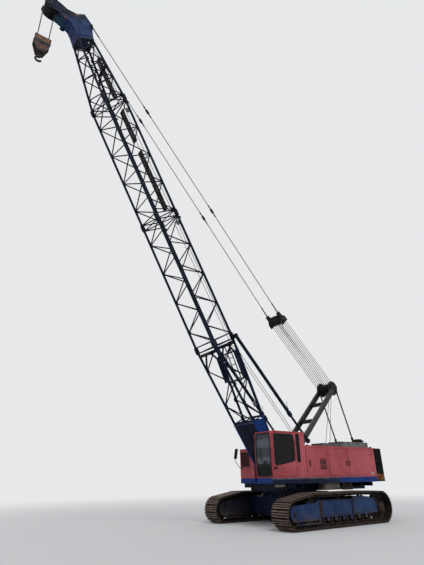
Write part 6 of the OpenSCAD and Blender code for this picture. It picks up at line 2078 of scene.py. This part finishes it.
def add_joint_pins():
    """Pins with heads and cotters through the joints' lugs, and the pendant lugs' rims."""
    pins = Kit()
    for s0 in JOINTS:
        for y in (-HALF_W, HALF_W):
            out = 1 if y > 0 else -1
            for t in (-HALF_D, HALF_D):
                for ds in (-0.055, 0.055):
                    s = s0 + ds
                    pins.rod(boom(s, y - 0.078, t), boom(s, y + 0.078, t), 0.026, 16)
                    pins.lathe(boom(s, y + out * 0.076, t), (0, out, 0),
                        [(0, 0.040), (0.014, 0.040), (0.018, 0.024)], 18)
                    pins.rod(boom(s - 0.045, y - out * 0.070, t), boom(s + 0.045, y - out * 0.070, t),
                        0.006, 6)
        if s0 > JOINTS[0]:
            for y in (-HALF_W, HALF_W):
                for rim in (y + 0.017, y - 0.017):
                    pins.hoop(boom(s0 - 0.25, rim, HALF_D + 0.095), LEFT, 0.024, 0.006, 20, 6)
    pins.done("boom_joint_pins", "hook_steel", "boom")


def add_boom_nodes():
    """Small gussets where the lacing meets the chords."""
    k = Kit()

    def corner_set(s):
        if s < 5.966:
            return HALF_W, -half_depth(s), half_depth(s)
        return (HALF_W, -HALF_D, HALF_D) if s < 17.966 else top_at(s)

    def run(s0, length, bays, margin):
        step = (length - 2 * margin) / (2 * bays)
        for j in range(2 * bays + 1):
            s = s0 + margin + j * step
            w, front, back = corner_set(s)
            # the lacing meets these two opposite corners of the section
            f = 1 if j % 2 == 0 else -1
            for y, t in ((f * w, front), (f * w, back), (w, front if f < 0 else back),
                    (-w, front if f < 0 else back)):
                inward = -1 if t > 0 else 1
                k.plate(softened([(s - 0.15, t), (s + 0.15, t), (s + 0.07, t + inward * 0.115),
                    (s - 0.07, t + inward * 0.115)], 0.02, 2), on_boom(y), 0.010)

    run(2.34, 3.62, 2, 0.13)
    run(5.966, 6.0, 4, 0.16)
    run(11.966, 6.0, 4, 0.16)
    run(17.975, 3.432, 3, 0.16)
    k.done("boom_gussets", "boom_navy", "boom")


def foot_edge(s):
    """Half the depth of the foot's side plates."""
    return 0.115 + (s - 0.06) * (0.319 - 0.115) / 2.34


def add_foot_flanges():
    """Side plates' edge flanges, ribs and pin bosses, and the front cover's light flange and rib."""
    blue = Kit()
    for side in (1, -1):
        y = side * FOOT_SIDE
        for f in (-1, 1):
            ends = [boom(s, y + side * 0.014, f * (foot_edge(s) - 0.010)) for s in (0.10, 2.30)]
            blue.bar(*ends, 0.030, 0.016, LEFT)
        blue.bar(boom(0.16, y + side * 0.010, 0), boom(1.9, y + side * 0.010, 0), 0.022, 0.020, LEFT)
        blue.lathe(boom(0, y + side * 0.002, 0), (0, side, 0),
            [(0, 0.150), (0.012, 0.150), (0.016, 0.128)], 40)
        for s in (0.85, 1.35, 1.85):
            ends = [boom(s, y + side * 0.006, -foot_edge(s) + 0.03),
                boom(s, y + side * 0.006, foot_edge(s) - 0.03)]
            blue.bar(*ends, 0.014, 0.012, LEFT)
    for s, w, thick in ((2.385, 0.66, 0.040), (2.335, 0.60, 0.018)):
        t = -0.335 + (2.385 - s) * 0.1
        blue.bar(boom(s, -w, t), boom(s, w, t), 0.030, thick, ALONG)
    blue.bar(*[boom(s, 0, -foot_edge(s) + 0.002) for s in (0.52, 2.30)], 0.020, 0.020, LEFT)
    blue.done("foot_flanges", "boom_blue", "boom", 0.002)


def add_foot_ribs():
    """A dark plate over the rear face of the foot."""
    navy = Kit()
    cover = softened(rectangle(1.05, -0.24, 1.62, 0.24), 0.04, 3)
    navy.plate(cover, lambda s, y, w: boom(s, y, foot_edge(s) + w), 0.014)
    navy.done("foot_ribs", "boom_navy", "boom", 0.0015)


def add_foot_bolts():
    """Bolts round the foot pins, down the covers' edges and at the rear plate's corners."""
    dark = Kit()
    for side in (1, -1):
        y = side * FOOT_SIDE
        dark.bolt_circle(boom(0, y + side * 0.014, 0), (0, side, 0), 0.139, 10, 0.009, 0.010)
        dark.lathe(boom(0, y + side * 0.016, 0), (0, side, 0),
            [(0, 0.060), (0.010, 0.056), (0.014, 0.03)], 28)
    for side in (-1, 1):
        for k in range(12):
            s = 0.55 + k * 0.155
            dark.bolt(boom(s, side * 0.575, -foot_edge(s) + 0.0085), -BACKWARD, 0.011, 0.010)
            if s > 0.75:
                dark.bolt(boom(s, side * 0.575, foot_edge(s) - 0.0085), BACKWARD, 0.011, 0.010)
    for s in (1.10, 1.57):
        for y in (-0.19, 0.19):
            dark.bolt(boom(s, y, foot_edge(s) + 0.006), BACKWARD, 0.010, 0.010)
    dark.done("foot_bolts", "sheave_dark", "boom")


def add_guide_brackets():
    """Brackets of the guide rollers, and the bolts of the guide blocks, beams and side panels."""
    dark = Kit()
    for q, t, y0, y1 in GUIDE_ROLLERS:
        sign = 1 if t > 0 else -1
        foot, top = t - sign * 0.14, t + sign * 0.055
        cheek = softened([(q - 0.060, foot), (q + 0.060, foot), (q + 0.045, top), (q - 0.045, top)], 0.03,
            3)
        for y in (y0 - 0.020, y1 + 0.020):
            dark.plate(cheek, on_boom(y), 0.014)
    for k in (-1, 0, 1):
        for a in (-0.042, 0.042):
            for q in (5.668, 5.714):
                dark.bolt(boom(q, k * 0.300 + a, 0.672), BACKWARD, 0.010, 0.009)
    for t in (GUIDE_DEPTH, -GUIDE_DEPTH):
        for k in range(9):
            for rise in (0.040, -0.040):
                dark.bolt(boom(5.752, -0.56 + 0.14 * k, t + rise), ALONG, 0.009, 0.008)
    for side in (-1, 1):
        for k in range(8):
            q = 4.22 + 0.145 * k
            dark.bolt(boom(q, side * (HALF_W + 0.009), half_depth(q) - 0.21), (0, side, 0), 0.008, 0.007)
    dark.done("guide_brackets", "sheave_dark", "boom", 0.0015)


def add_guide_beams():
    """The guide beams' flanges, collars on the knee braces' ends, and the side panels' folded edges."""
    navy = Kit()
    for t in (GUIDE_DEPTH, -GUIDE_DEPTH):
        for q in (5.628, 5.746):
            navy.bar(boom(q, -0.62, t), boom(q, 0.62, t), 0.128, 0.010, BACKWARD)
    for f in (-1, 1):
        for y in (-1, 1):
            a = boom(5.676, y * 0.170, f * GUIDE_DEPTH)
            b = boom(5.016, y * HALF_W, f * half_depth(5.016))
            d = (b - a).normalized()
            navy.lathe(a + d * 0.05, d, [(0, 0.062), (0.012, 0.062), (0.030, 0.046)], 16)
            navy.lathe(b - d * 0.06, -d, [(0, 0.062), (0.012, 0.062), (0.030, 0.046)], 16)
    low, high = half_depth(4.15), half_depth(5.33)
    panel = [(4.155, low - 0.235), (5.325, high - 0.235), (5.325, high - 0.055), (4.155, low - 0.055)]
    for side in (-1, 1):
        y = side * (HALF_W + 0.009)
        for a, b in zip(panel, panel[1:] + panel[:1]):
            navy.bar(boom(a[0], y, a[1]), boom(b[0], y, b[1]), 0.014, 0.014, LEFT)
    navy.done("guide_beams", "boom_navy", "boom", 0.0015)


def add_guide_rollers():
    """Guide rollers with their nuts, and the upright side rollers that keep the ropes apart."""
    steel = Kit()
    for q, t, y0, y1 in GUIDE_ROLLERS:
        w = y1 - y0
        tread = [(0, 0.050), (0.010, 0.052), (0.020, 0.034), (w - 0.020, 0.034), (w - 0.010, 0.052),
            (w, 0.050)]
        steel.lathe(boom(q, y0, t), LEFT, tread, 20)
        for y in (y0 - 0.020, y1 + 0.020):
            steel.lathe(boom(q, y, t), (0, -1 if y < 0 else 1, 0), [(0, 0.024), (0.016, 0.022)], 6)
    for y in (0.215, 0.365, 0.065):
        steel.lathe(boom(5.691 + 0.055, y, 0.665), BACKWARD,
            [(0, 0.026), (0.012, 0.022), (0.120, 0.022), (0.132, 0.026)], 14)
    steel.done("guide_rollers", "hook_steel", "boom")


def grate(k, s0, s1, base, cut=None):
    """A welded grating: a frame of angle bars, bearing bars, cross rods, and clips over the lacing."""
    half = 0.165
    for y in (-half + 0.003, half - 0.003):
        k.bar(boom(s0, y, base(s0) + 0.015), boom(s1, y, base(s1) + 0.015), 0.006, 0.030, LEFT)
    for s in (s0 + 0.003, s1 - 0.003):
        k.bar(boom(s, -half, base(s) + 0.015), boom(s, half, base(s) + 0.015), 0.006, 0.030, ALONG)
    count = 10
    for j in range(1, count):
        y = -half + 2 * half * j / count
        k.bar(boom(s0, y, base(s0) + 0.014), boom(s1, y, base(s1) + 0.014), 0.004, 0.024, LEFT)
    n = int((s1 - s0) / 0.05)
    for j in range(1, n):
        s = s0 + (s1 - s0) * j / n
        if cut and cut[0] < s < cut[1]:
            continue
        k.bar(boom(s, -half, base(s) + 0.024), boom(s, half, base(s) + 0.024), 0.006, 0.006, ALONG)
    for j in range(int((s1 - s0) / 0.75) + 1):
        s = s0 + 0.05 + j * 0.75
        if s < s1:
            for y in (-0.10, 0.10):
                k.lathe(boom(s, y, base(s) + 0.024), BACKWARD, [(0, 0.016), (0.005, 0.014)], 6)


def add_gratings():
    k = Kit()
    for s0, s1 in ((12.400, 15.500), (16.000, 17.700)):
        grate(k, s0, s1, lambda _: HALF_D + 0.0237)
    grate(k, 18.400, 20.600, lambda s: top_at(s)[2] + 0.0237, (19.88, 20.00))
    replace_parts(k.done("boom_gratings", "grating", "boom"), "boom_walkway")


def add_boom_cable():
    """Signal cable clipped along the near rear chord, with junction boxes."""
    k, box = Kit(), Kit()
    path = [boom(0.9, 0.668, 0.150), boom(2.2, 0.668, 0.250), boom(2.6, 0.668, half_depth(2.6) + 0.046)]
    path += [boom(s, HALF_W + 0.042, half_depth(s) + 0.046) for s in (3.4, 4.4, 5.3)]
    path += [boom(5.75, 0.560, HALF_D + 0.080), boom(6.25, 0.560, HALF_D + 0.050)]
    path += [boom(s, 0.590, HALF_D + 0.054) for s in (7, 8, 9, 10, 11, 11.6, 12.3, 13, 14, 15, 16, 17,
        17.6, 18.2)]
    path += [boom(s, top_at(s)[0] - 0.04, top_at(s)[2] + 0.054) for s in (18.8, 19.4, 20.0, 20.6, 21.2)]
    k.pipe(smooth_path(path, 3), 0.010, 8)
    for s in (6.6, 7.6, 8.6, 9.6, 10.6, 11.3, 12.6, 13.6, 14.6, 15.6, 16.6, 17.4):
        k.hoop(boom(s, HALF_W, HALF_D), ALONG, 0.060, 0.006, 20, 6)
    for s in (3.0, 11.50, 17.30):
        c = boom(s, 0.585, (half_depth(s) if s < 5.9 else HALF_D) - 0.115)
        box.bar(c - ALONG * 0.10, c + ALONG * 0.10, 0.075, 0.13, LEFT)
        box.bar(c - ALONG * 0.094, c + ALONG * 0.094, 0.083, 0.118, LEFT)
    k.done("boom_cable", "cab_trim", "boom")
    box.done("junction_boxes", "box_grey", "boom", 0.004)


def sheave_look(kit, centre, axis, r, w, holes, turn=0.0):
    """Grooved rim, hub and web holes laid over a plain sheave."""
    axis = Vector(axis)
    c = Vector(centre)
    kit.lathe(c - axis * w / 2 * 1.02, axis, [(0, r + 0.001), (w * 0.06, r + 0.010),
        (w * 0.20, r + 0.010), (w * 0.42, r + 0.001), (w * 0.60, r + 0.001), (w * 0.82, r + 0.010),
        (w * 0.96, r + 0.010), (w * 1.02, r + 0.001)], 40)
    m = frame_of(axis)
    for s in (-1, 1):
        kit.lathe(c + axis * s * (w / 2 - 0.0165), axis * s, [(0, r * 0.36), (0.014, r * 0.32)], 24)
        for j in range(holes):
            a = 2 * pi * j / holes + turn
            kit.lathe(c + m @ Vector((r * 0.60 * cos(a), r * 0.60 * sin(a), s * (w / 2 - 0.0165))),
                axis * s, [(0, r * 0.13), (0.003, r * 0.11)], 12)


def add_head_stiffeners():
    """Doubler plates round the head's pins, and stiffeners along its plates' edges and across them."""
    blue = Kit()
    for side in (-1, 1):
        y = side * 0.300
        place = on_boom(y + side * 0.005)
        blue.plate(disc(*NOSE, 0.17, 12), place, 0.014)
        blue.plate(disc(*CROWN, 0.11, 15), place, 0.014)
        blue.plate(disc(*STAY, 0.10, 15), on_boom(y + side * 0.004), 0.012)
        for run in (HEAD_FRONT, HEAD_BACK):
            for a, b in zip(run[:-1], run[1:]):
                blue.bar(boom(a[0], y + side * 0.010, a[1]), boom(b[0], y + side * 0.010, b[1]), 0.022,
                    0.016, LEFT)
        for a, b in HEAD_RIBS:
            blue.bar(boom(a[0], y + side * 0.008, a[1]), boom(b[0], y + side * 0.008, b[1]), 0.018, 0.014,
                LEFT)
        blue.plate(disc(*LUG, 0.115, 15), on_boom(y + side * 0.030), 0.030)
    blue.done("head_stiffeners", "boom_blue", "boom", 0.002)


def add_head_fittings():
    """Bolts on the end frame and the seats for lamp and wind gauge, and bars that keep the ropes in."""
    dark = Kit()
    for side in (-1, 1):
        for t in (-0.20, 0.0, 0.20, 0.42):
            for ds in (-0.030, 0.025):
                dark.bolt(boom(21.416 + ds, side * 0.344, t), (0, side, 0), 0.012, 0.011)
    nose_bars, crown_bars = (40, 95, 150, 215, 275), (120, 60, 0)
    for (s, t), r, angles, thick, n in ((NOSE, 0.268, nose_bars, 0.011, 10),
            (CROWN, 0.178, crown_bars, 0.008, 8)):
        for a in angles:
            ends = [boom(s + r * cos(radians(a)), y, t + r * sin(radians(a))) for y in (-0.27, 0.27)]
            dark.rod(*ends, thick, n)
    for y in (-0.24, -0.08, 0.08, 0.24):
        dark.bolt(boom(21.68, y, -0.0195), BACKWARD, 0.012, 0.010)
        dark.bolt(boom(21.68, y, -0.2205), -BACKWARD, 0.012, 0.010)
    dark.done("head_fittings", "sheave_dark", "boom")


def add_head_sheaves():
    """The head's sheaves, and the nuts and bolts of its pins."""
    steel = Kit()
    for j, y in enumerate((-0.2175, -0.0725, 0.0725, 0.2175)):
        sheave_look(steel, boom(NOSE[0], y, NOSE[1]), LEFT, 0.240, 0.064, 6, 0.3 * j)
    for y in (-0.15, 0.15):
        sheave_look(steel, boom(CROWN[0], y, CROWN[1]), LEFT, 0.150, 0.070, 5)
    for side in (-1, 1):
        y = side * 0.300 + side * 0.012
        nose, crown = boom(NOSE[0], y, NOSE[1]), boom(CROWN[0], y, CROWN[1])
        steel.lathe(nose, (0, side, 0), [(0, 0.062), (0.018, 0.058), (0.022, 0.03)], 28)
        steel.bolt_circle(nose, (0, side, 0), 0.125, 8, 0.012, 0.012)
        steel.lathe(crown, (0, side, 0), [(0, 0.048), (0.014, 0.045), (0.018, 0.02)], 24)
        steel.bolt_circle(crown, (0, side, 0), 0.085, 6, 0.009, 0.010)
        steel.lathe(boom(STAY[0], side * 0.396, STAY[1]), (0, side, 0),
            [(0, 0.050), (0.012, 0.050), (0.018, 0.028)], 24)
        steel.lathe(boom(LUG[0], side * 0.366, LUG[1]), (0, side, 0),
            [(0, 0.062), (0.014, 0.060), (0.020, 0.035)], 24)
    steel.done("head_sheaves", "hook_steel", "boom")


# stays, ropes and hook

def arc(cs, ct, r, a0, a1, y0, y1, n=10):
    """Points round a sheave in the boom's plane, from angle a0 to a1, drifting from y0 to y1."""
    points = []
    for k in range(n + 1):
        a = radians(a0 + (a1 - a0) * k / n)
        points.append(boom(cs + r * cos(a), y0 + (y1 - y0) * k / n, ct + r * sin(a)))
    return points


ROPE_R = 0.011


def add_hoist_ropes():
    run = Kit()
    leads = ((0.300, 0.150, 0.2175), (0.140, -0.150, -0.2175))
    for y, y_head, y_nose in leads:
        path = [boom(5.691, y, 0.7378)] + [boom(5.70 + (22.6 - 5.70) * f, y + (y_head - y) * f,
            0.7378 + (0.652 - 0.7378) * f) for f in (0.02, 0.3, 0.6, 0.84)]
        path += arc(*CROWN, 0.161, 90.3, 25.7, y_head, y_head, 8)
        path += arc(*NOSE, 0.251, 25.7, -61, y_nose, y_nose, 12)
        run.pipe(path, ROPE_R, 8)
    run.done("hoist_rope_run", "rope", "boom")
    # from the second drum up to the first guide
    for k, y in enumerate(lead[0] for lead in leads):
        lead = Kit()
        start = Vector((-0.900 + 0.270 * cos(radians(128)), y * 0.9, 2.057 + 0.270 * sin(radians(128))))
        end = boom(5.691, y, 0.7378)
        lead.rod(start, end, ROPE_R, 8)
        thing = lead.done("hoist_lead_%d" % (k + 1), "rope", None)
        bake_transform(thing)


def add_luff_ropes():
    """Parts between the gantry's sheaves and the bridle, and the two that run down to the third drum."""
    c = HEAD
    axle = Vector((BRIDLE_X, 0, BRIDLE_Z)) - FALLS_WAY * 0.330
    falls = Kit()
    for k in range(6):
        y = (k - 2.5) * SHEAVE_STEP
        for s in (-1, 1):
            falls.rod(c + LEFT * y + FALLS_UP * s * 0.2462, axle + LEFT * y + FALLS_UP * s * 0.2162,
                ROPE_R, 8)
    thing = falls.done("luff_ropes", "rope", None)
    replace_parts(thing, "luff_falls")
    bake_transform(thing)
    down = Kit()
    for y0, y1 in ((-0.0575, -0.16), (0.0575, 0.16)):
        a = c + Vector((-0.240, y0, -0.050))
        b = Vector((-1.950 - 0.215, y1, 2.027 + 0.040))
        down.rod(a, b, ROPE_R, 8)
    down.done("luff_lead", "rope", "upperworks")


def on_bridle(u, y, w):
    """A point on the bridle: u along the falls from its stay pin, y sideways and w across them."""
    return Vector((BRIDLE_X, 0, BRIDLE_Z)) + FALLS_WAY * u + FALLS_UP * w + LEFT * y


def stay_joints(side):
    """One stay's direction, and for each socket pair its share of the length and both sockets' places."""
    a = Vector((BRIDLE_X, side * 0.376, BRIDLE_Z))
    top = boom(STAY[0], 0.345, STAY[1])
    b = Vector((top.x, side * 0.345, top.z))
    e = (b - a).normalized()
    length = (b - a).length
    shares = ((0.01, 0.03), (0.345, 0.375), (0.69, 0.72), (0.965, 0.985))
    return e, [(f0, a + e * length * f0, a + e * length * f1) for f0, f1 in shares]


def add_bridle_plates():
    """The bridle's plates, bolts, ribs and rope guards, and the forked plates at the stays' joints."""
    dark = Kit()
    for side in (-1, 1):
        for u in (-0.395, -0.20):
            for w in (-0.062, 0.062):
                dark.bolt(on_bridle(u, side * 0.4295, w), (0, side, 0), 0.012, 0.010)
        for w in (-0.082, 0.082):
            dark.bar(on_bridle(-0.415, side * 0.434, w), on_bridle(0.060, side * 0.434, w * 0.88), 0.012,
                0.014, LEFT)
    for u, w in ((-0.330, 0.235), (-0.330, -0.235), (-0.555, 0.06), (-0.555, -0.06)):
        dark.rod(on_bridle(u, -0.405, w), on_bridle(u, 0.405, w), 0.010, 8)
    outer = [(-0.56, -0.26), (-0.56, 0.26), (-0.34, 0.26), (-0.14, 0.10), (-0.14, -0.10), (-0.34, -0.26)]
    inner = [(-0.40, -0.20), (-0.40, 0.20), (-0.26, 0.20), (-0.20, 0.0), (-0.26, -0.20)]
    for side in (-1, 1):
        for cheek, y in ((inner, side * 0.360), (outer, side * 0.398)):
            dark.plate(cheek, lambda u, v, w, y=y: on_bridle(u, y + w, v), 0.010)
    for side in (-1, 1):
        e, joints = stay_joints(side)
        for _, p, q in joints[1:3]:
            m = (p + q) / 2
            for s in (-1, 1):
                fork = LEFT * s * 0.034
                dark.bar(m - e * 0.13, m + e * 0.13, 0.014, 0.095, LEFT)
                dark.bar(m - e * 0.11 + fork, m + e * 0.11 + fork, 0.014, 0.085, LEFT)
    dark.done("bridle_plates", "sheave_dark", "boom", 0.0015)


def add_bridle_sheaves():
    """The bridle's sheaves and pins, and the stays' swaged sockets with the pins between them."""
    steel = Kit()
    for k in range(6):
        sheave_look(steel, on_bridle(-0.330, (k - 2.5) * SHEAVE_STEP, 0), LEFT, 0.205, 0.060, 6, 0.25 * k)
    for side in (-1, 1):
        steel.lathe(on_bridle(-0.330, side * 0.4185, 0), (0, side, 0),
            [(0, 0.064), (0.014, 0.062), (0.020, 0.035)], 24)
        steel.lathe(on_bridle(0, side * 0.431, 0), (0, side, 0),
            [(0, 0.046), (0.012, 0.044), (0.018, 0.024)], 20)
    for side in (-1, 1):
        e, joints = stay_joints(side)
        for share, p, q in joints:
            steel.lathe(p, -e, [(0, 0.031), (0.04, 0.034), (0.09, 0.021)], 16)
            steel.lathe(q, e, [(0, 0.031), (0.04, 0.034), (0.12, 0.020)], 16)
            if 0.1 < share < 0.9:
                for ds in (-0.075, 0.075):
                    pin = (p + q) / 2 + e * ds
                    steel.rod(pin - LEFT * 0.055, pin + LEFT * 0.055, 0.020, 12)
    steel.done("bridle_and_stay_sockets", "hook_steel", "boom")


HOOK_X, HOOK_Z = 13.2053, 19.250


def on_hook(x, z, y=0.0):
    """A point measured from the hook block's sheave pin."""
    return Vector((HOOK_X + x, y, HOOK_Z + z))


def add_hook_edges():
    """Folded edges of the hook block's cheeks."""
    edges = Kit()
    outline = [(-0.35, 0.30), (0.35, 0.30), (0.35, -0.08), (0.15, -0.62), (-0.15, -0.62), (-0.35, -0.08)]
    for s in (-1, 1):
        y = s * 0.150 + s * 0.021
        corners = [on_hook(x * 0.965, z * 0.985, y) for x, z in outline]
        for a, b in zip(corners, corners[1:] + corners[:1]):
            edges.bar(a, b, 0.014, 0.022, LEFT)
    edges.done("hook_block_edges", "hook_orange", "hook_block", 0.002)


def add_hook_fittings():
    """The cheeks' bolts, rope guards and tie bars, the standing lug, and a wedge socket on one part."""
    dark = Kit()
    bolts = ((-0.30, 0.25), (0.30, 0.25), (-0.30, -0.05), (0.30, -0.05), (-0.13, -0.56), (0.13, -0.56),
        (0.0, -0.50), (0.0, 0.25))
    for s in (-1, 1):
        for x, z in bolts:
            dark.bolt(on_hook(x, z, s * 0.150 + s * 0.014), (0, s, 0), 0.014, 0.014)
    for x, z in ((-0.27, 0.10), (0.27, 0.10), (-0.27, -0.10), (0.27, -0.10), (0.0, -0.285)):
        dark.rod(on_hook(x, z, -0.134), on_hook(x, z, 0.134), 0.014, 10)
    for x in (-0.315, 0.315):
        for z in (0.225, 0.26):
            dark.rod(on_hook(x, z, -0.175), on_hook(x, z, 0.175), 0.010, 8)
    lug = softened([(-0.345, 0.20), (-0.235, 0.20), (-0.245, 0.46), (-0.290, 0.50), (-0.335, 0.46)], 0.03,
        3)
    dark.plate(lug, on_hook, 0.050)
    c = on_hook(0.236, 0.42, -0.105)
    socket = [(0, 0.030), (0.03, 0.045), (0.11, 0.052), (0.20, 0.048), (0.24, 0.028), (0.30, 0.022),
        (0.31, 0.014)]
    dark.lathe(c, (0.01, -0.06, 1), socket, 14)
    fork = softened([(-0.05, -0.09), (0.05, -0.09), (0.055, 0.02), (-0.055, 0.02)], 0.02, 3)
    dark.plate(fork, lambda x, z, w: c + Vector((x, w, z)), 0.052)
    dark.done("hook_block_fittings", "hook_steel", "hook_block", 0.001)


def add_hook_sheaves():
    """The block's pin, sheaves and trunnion, and the hook's nut, bearing, collar and safety latch."""
    steel = Kit()
    pin = [(0, 0.120), (0.010, 0.118), (0.012, 0.075), (0.030, 0.070), (0.036, 0.04)]
    for s in (-1, 1):
        y = s * 0.150
        steel.lathe(on_hook(0, 0, y + s * 0.013), (0, s, 0), pin, 32)
        steel.bolt_circle(on_hook(0, 0, y + s * 0.023), (0, s, 0), 0.097, 8, 0.009, 0.010)
        steel.lathe(on_hook(0, -0.555, y + s * 0.013), (0, s, 0),
            [(0, 0.058), (0.020, 0.055), (0.026, 0.03)], 24)
    for j, y in enumerate((-0.075, 0.075)):
        sheave_look(steel, on_hook(0, 0, y), LEFT, 0.230, 0.070, 6, 0.4 * j)
    steel.hoop(on_hook(-0.290, 0.445), LEFT, 0.024, 0.009, 24, 8)
    c = on_hook(0.236, 0.42, -0.105)
    steel.rod(c + Vector((0, -0.045, -0.045)), c + Vector((0, 0.045, -0.045)), 0.014, 12)
    nut = [(0, 0.085), (0.020, 0.088), (0.040, 0.072), (0.055, 0.066), (0.060, 0.05)]
    steel.lathe((HOOK_X, 0, 18.6397), DOWN, nut, 32)
    steel.lathe((HOOK_X, 0, 18.515), DOWN, [(0, 0.048), (0.012, 0.056), (0.045, 0.058), (0.075, 0.052)],
        28)
    line = ((0.060, 18.400), (0.085, 18.372), (0.100, 18.330), (0.100, 18.285))
    latch = smooth_path([(HOOK_X + x, 0, z) for x, z in line], 4)
    for s in (-1, 1):
        steel.pipe([p + LEFT * s * 0.028 for p in latch], 0.007, 8)
    steel.rod(latch[0] - LEFT * 0.05, latch[0] + LEFT * 0.05, 0.010, 12)
    steel.done("hook_block_sheaves", "hook_steel", "hook_block")


def add_hoist_falls():
    """Parts of rope between the boom's nose and the block."""
    falls = Kit()
    nose_z = boom(NOSE[0], 0, NOSE[1]).z
    for k in (-0.5, 0.5):
        for s in (-1, 1):
            block, nose = (HOOK_X + s * 0.2413, k * 0.150, HOOK_Z), (HOOK_X + s * 0.2513, k * 0.435,
                nose_z)
            falls.rod(block, nose, ROPE_R, 8)
    thing = falls.done("hoist_ropes", "rope", None)
    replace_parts(thing, "hoist_falls")
    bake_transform(thing)


add_joint_lugs()
add_joint_pins()
add_boom_nodes()
add_foot_flanges()
add_foot_ribs()
add_foot_bolts()
add_guide_brackets()
add_guide_beams()
add_guide_rollers()
add_gratings()
add_boom_cable()
add_head_stiffeners()
add_head_fittings()
add_head_sheaves()
add_hoist_ropes()
add_luff_ropes()
add_bridle_plates()
add_bridle_sheaves()
add_hook_edges()
add_hook_fittings()
add_hook_sheaves()
add_hoist_falls()
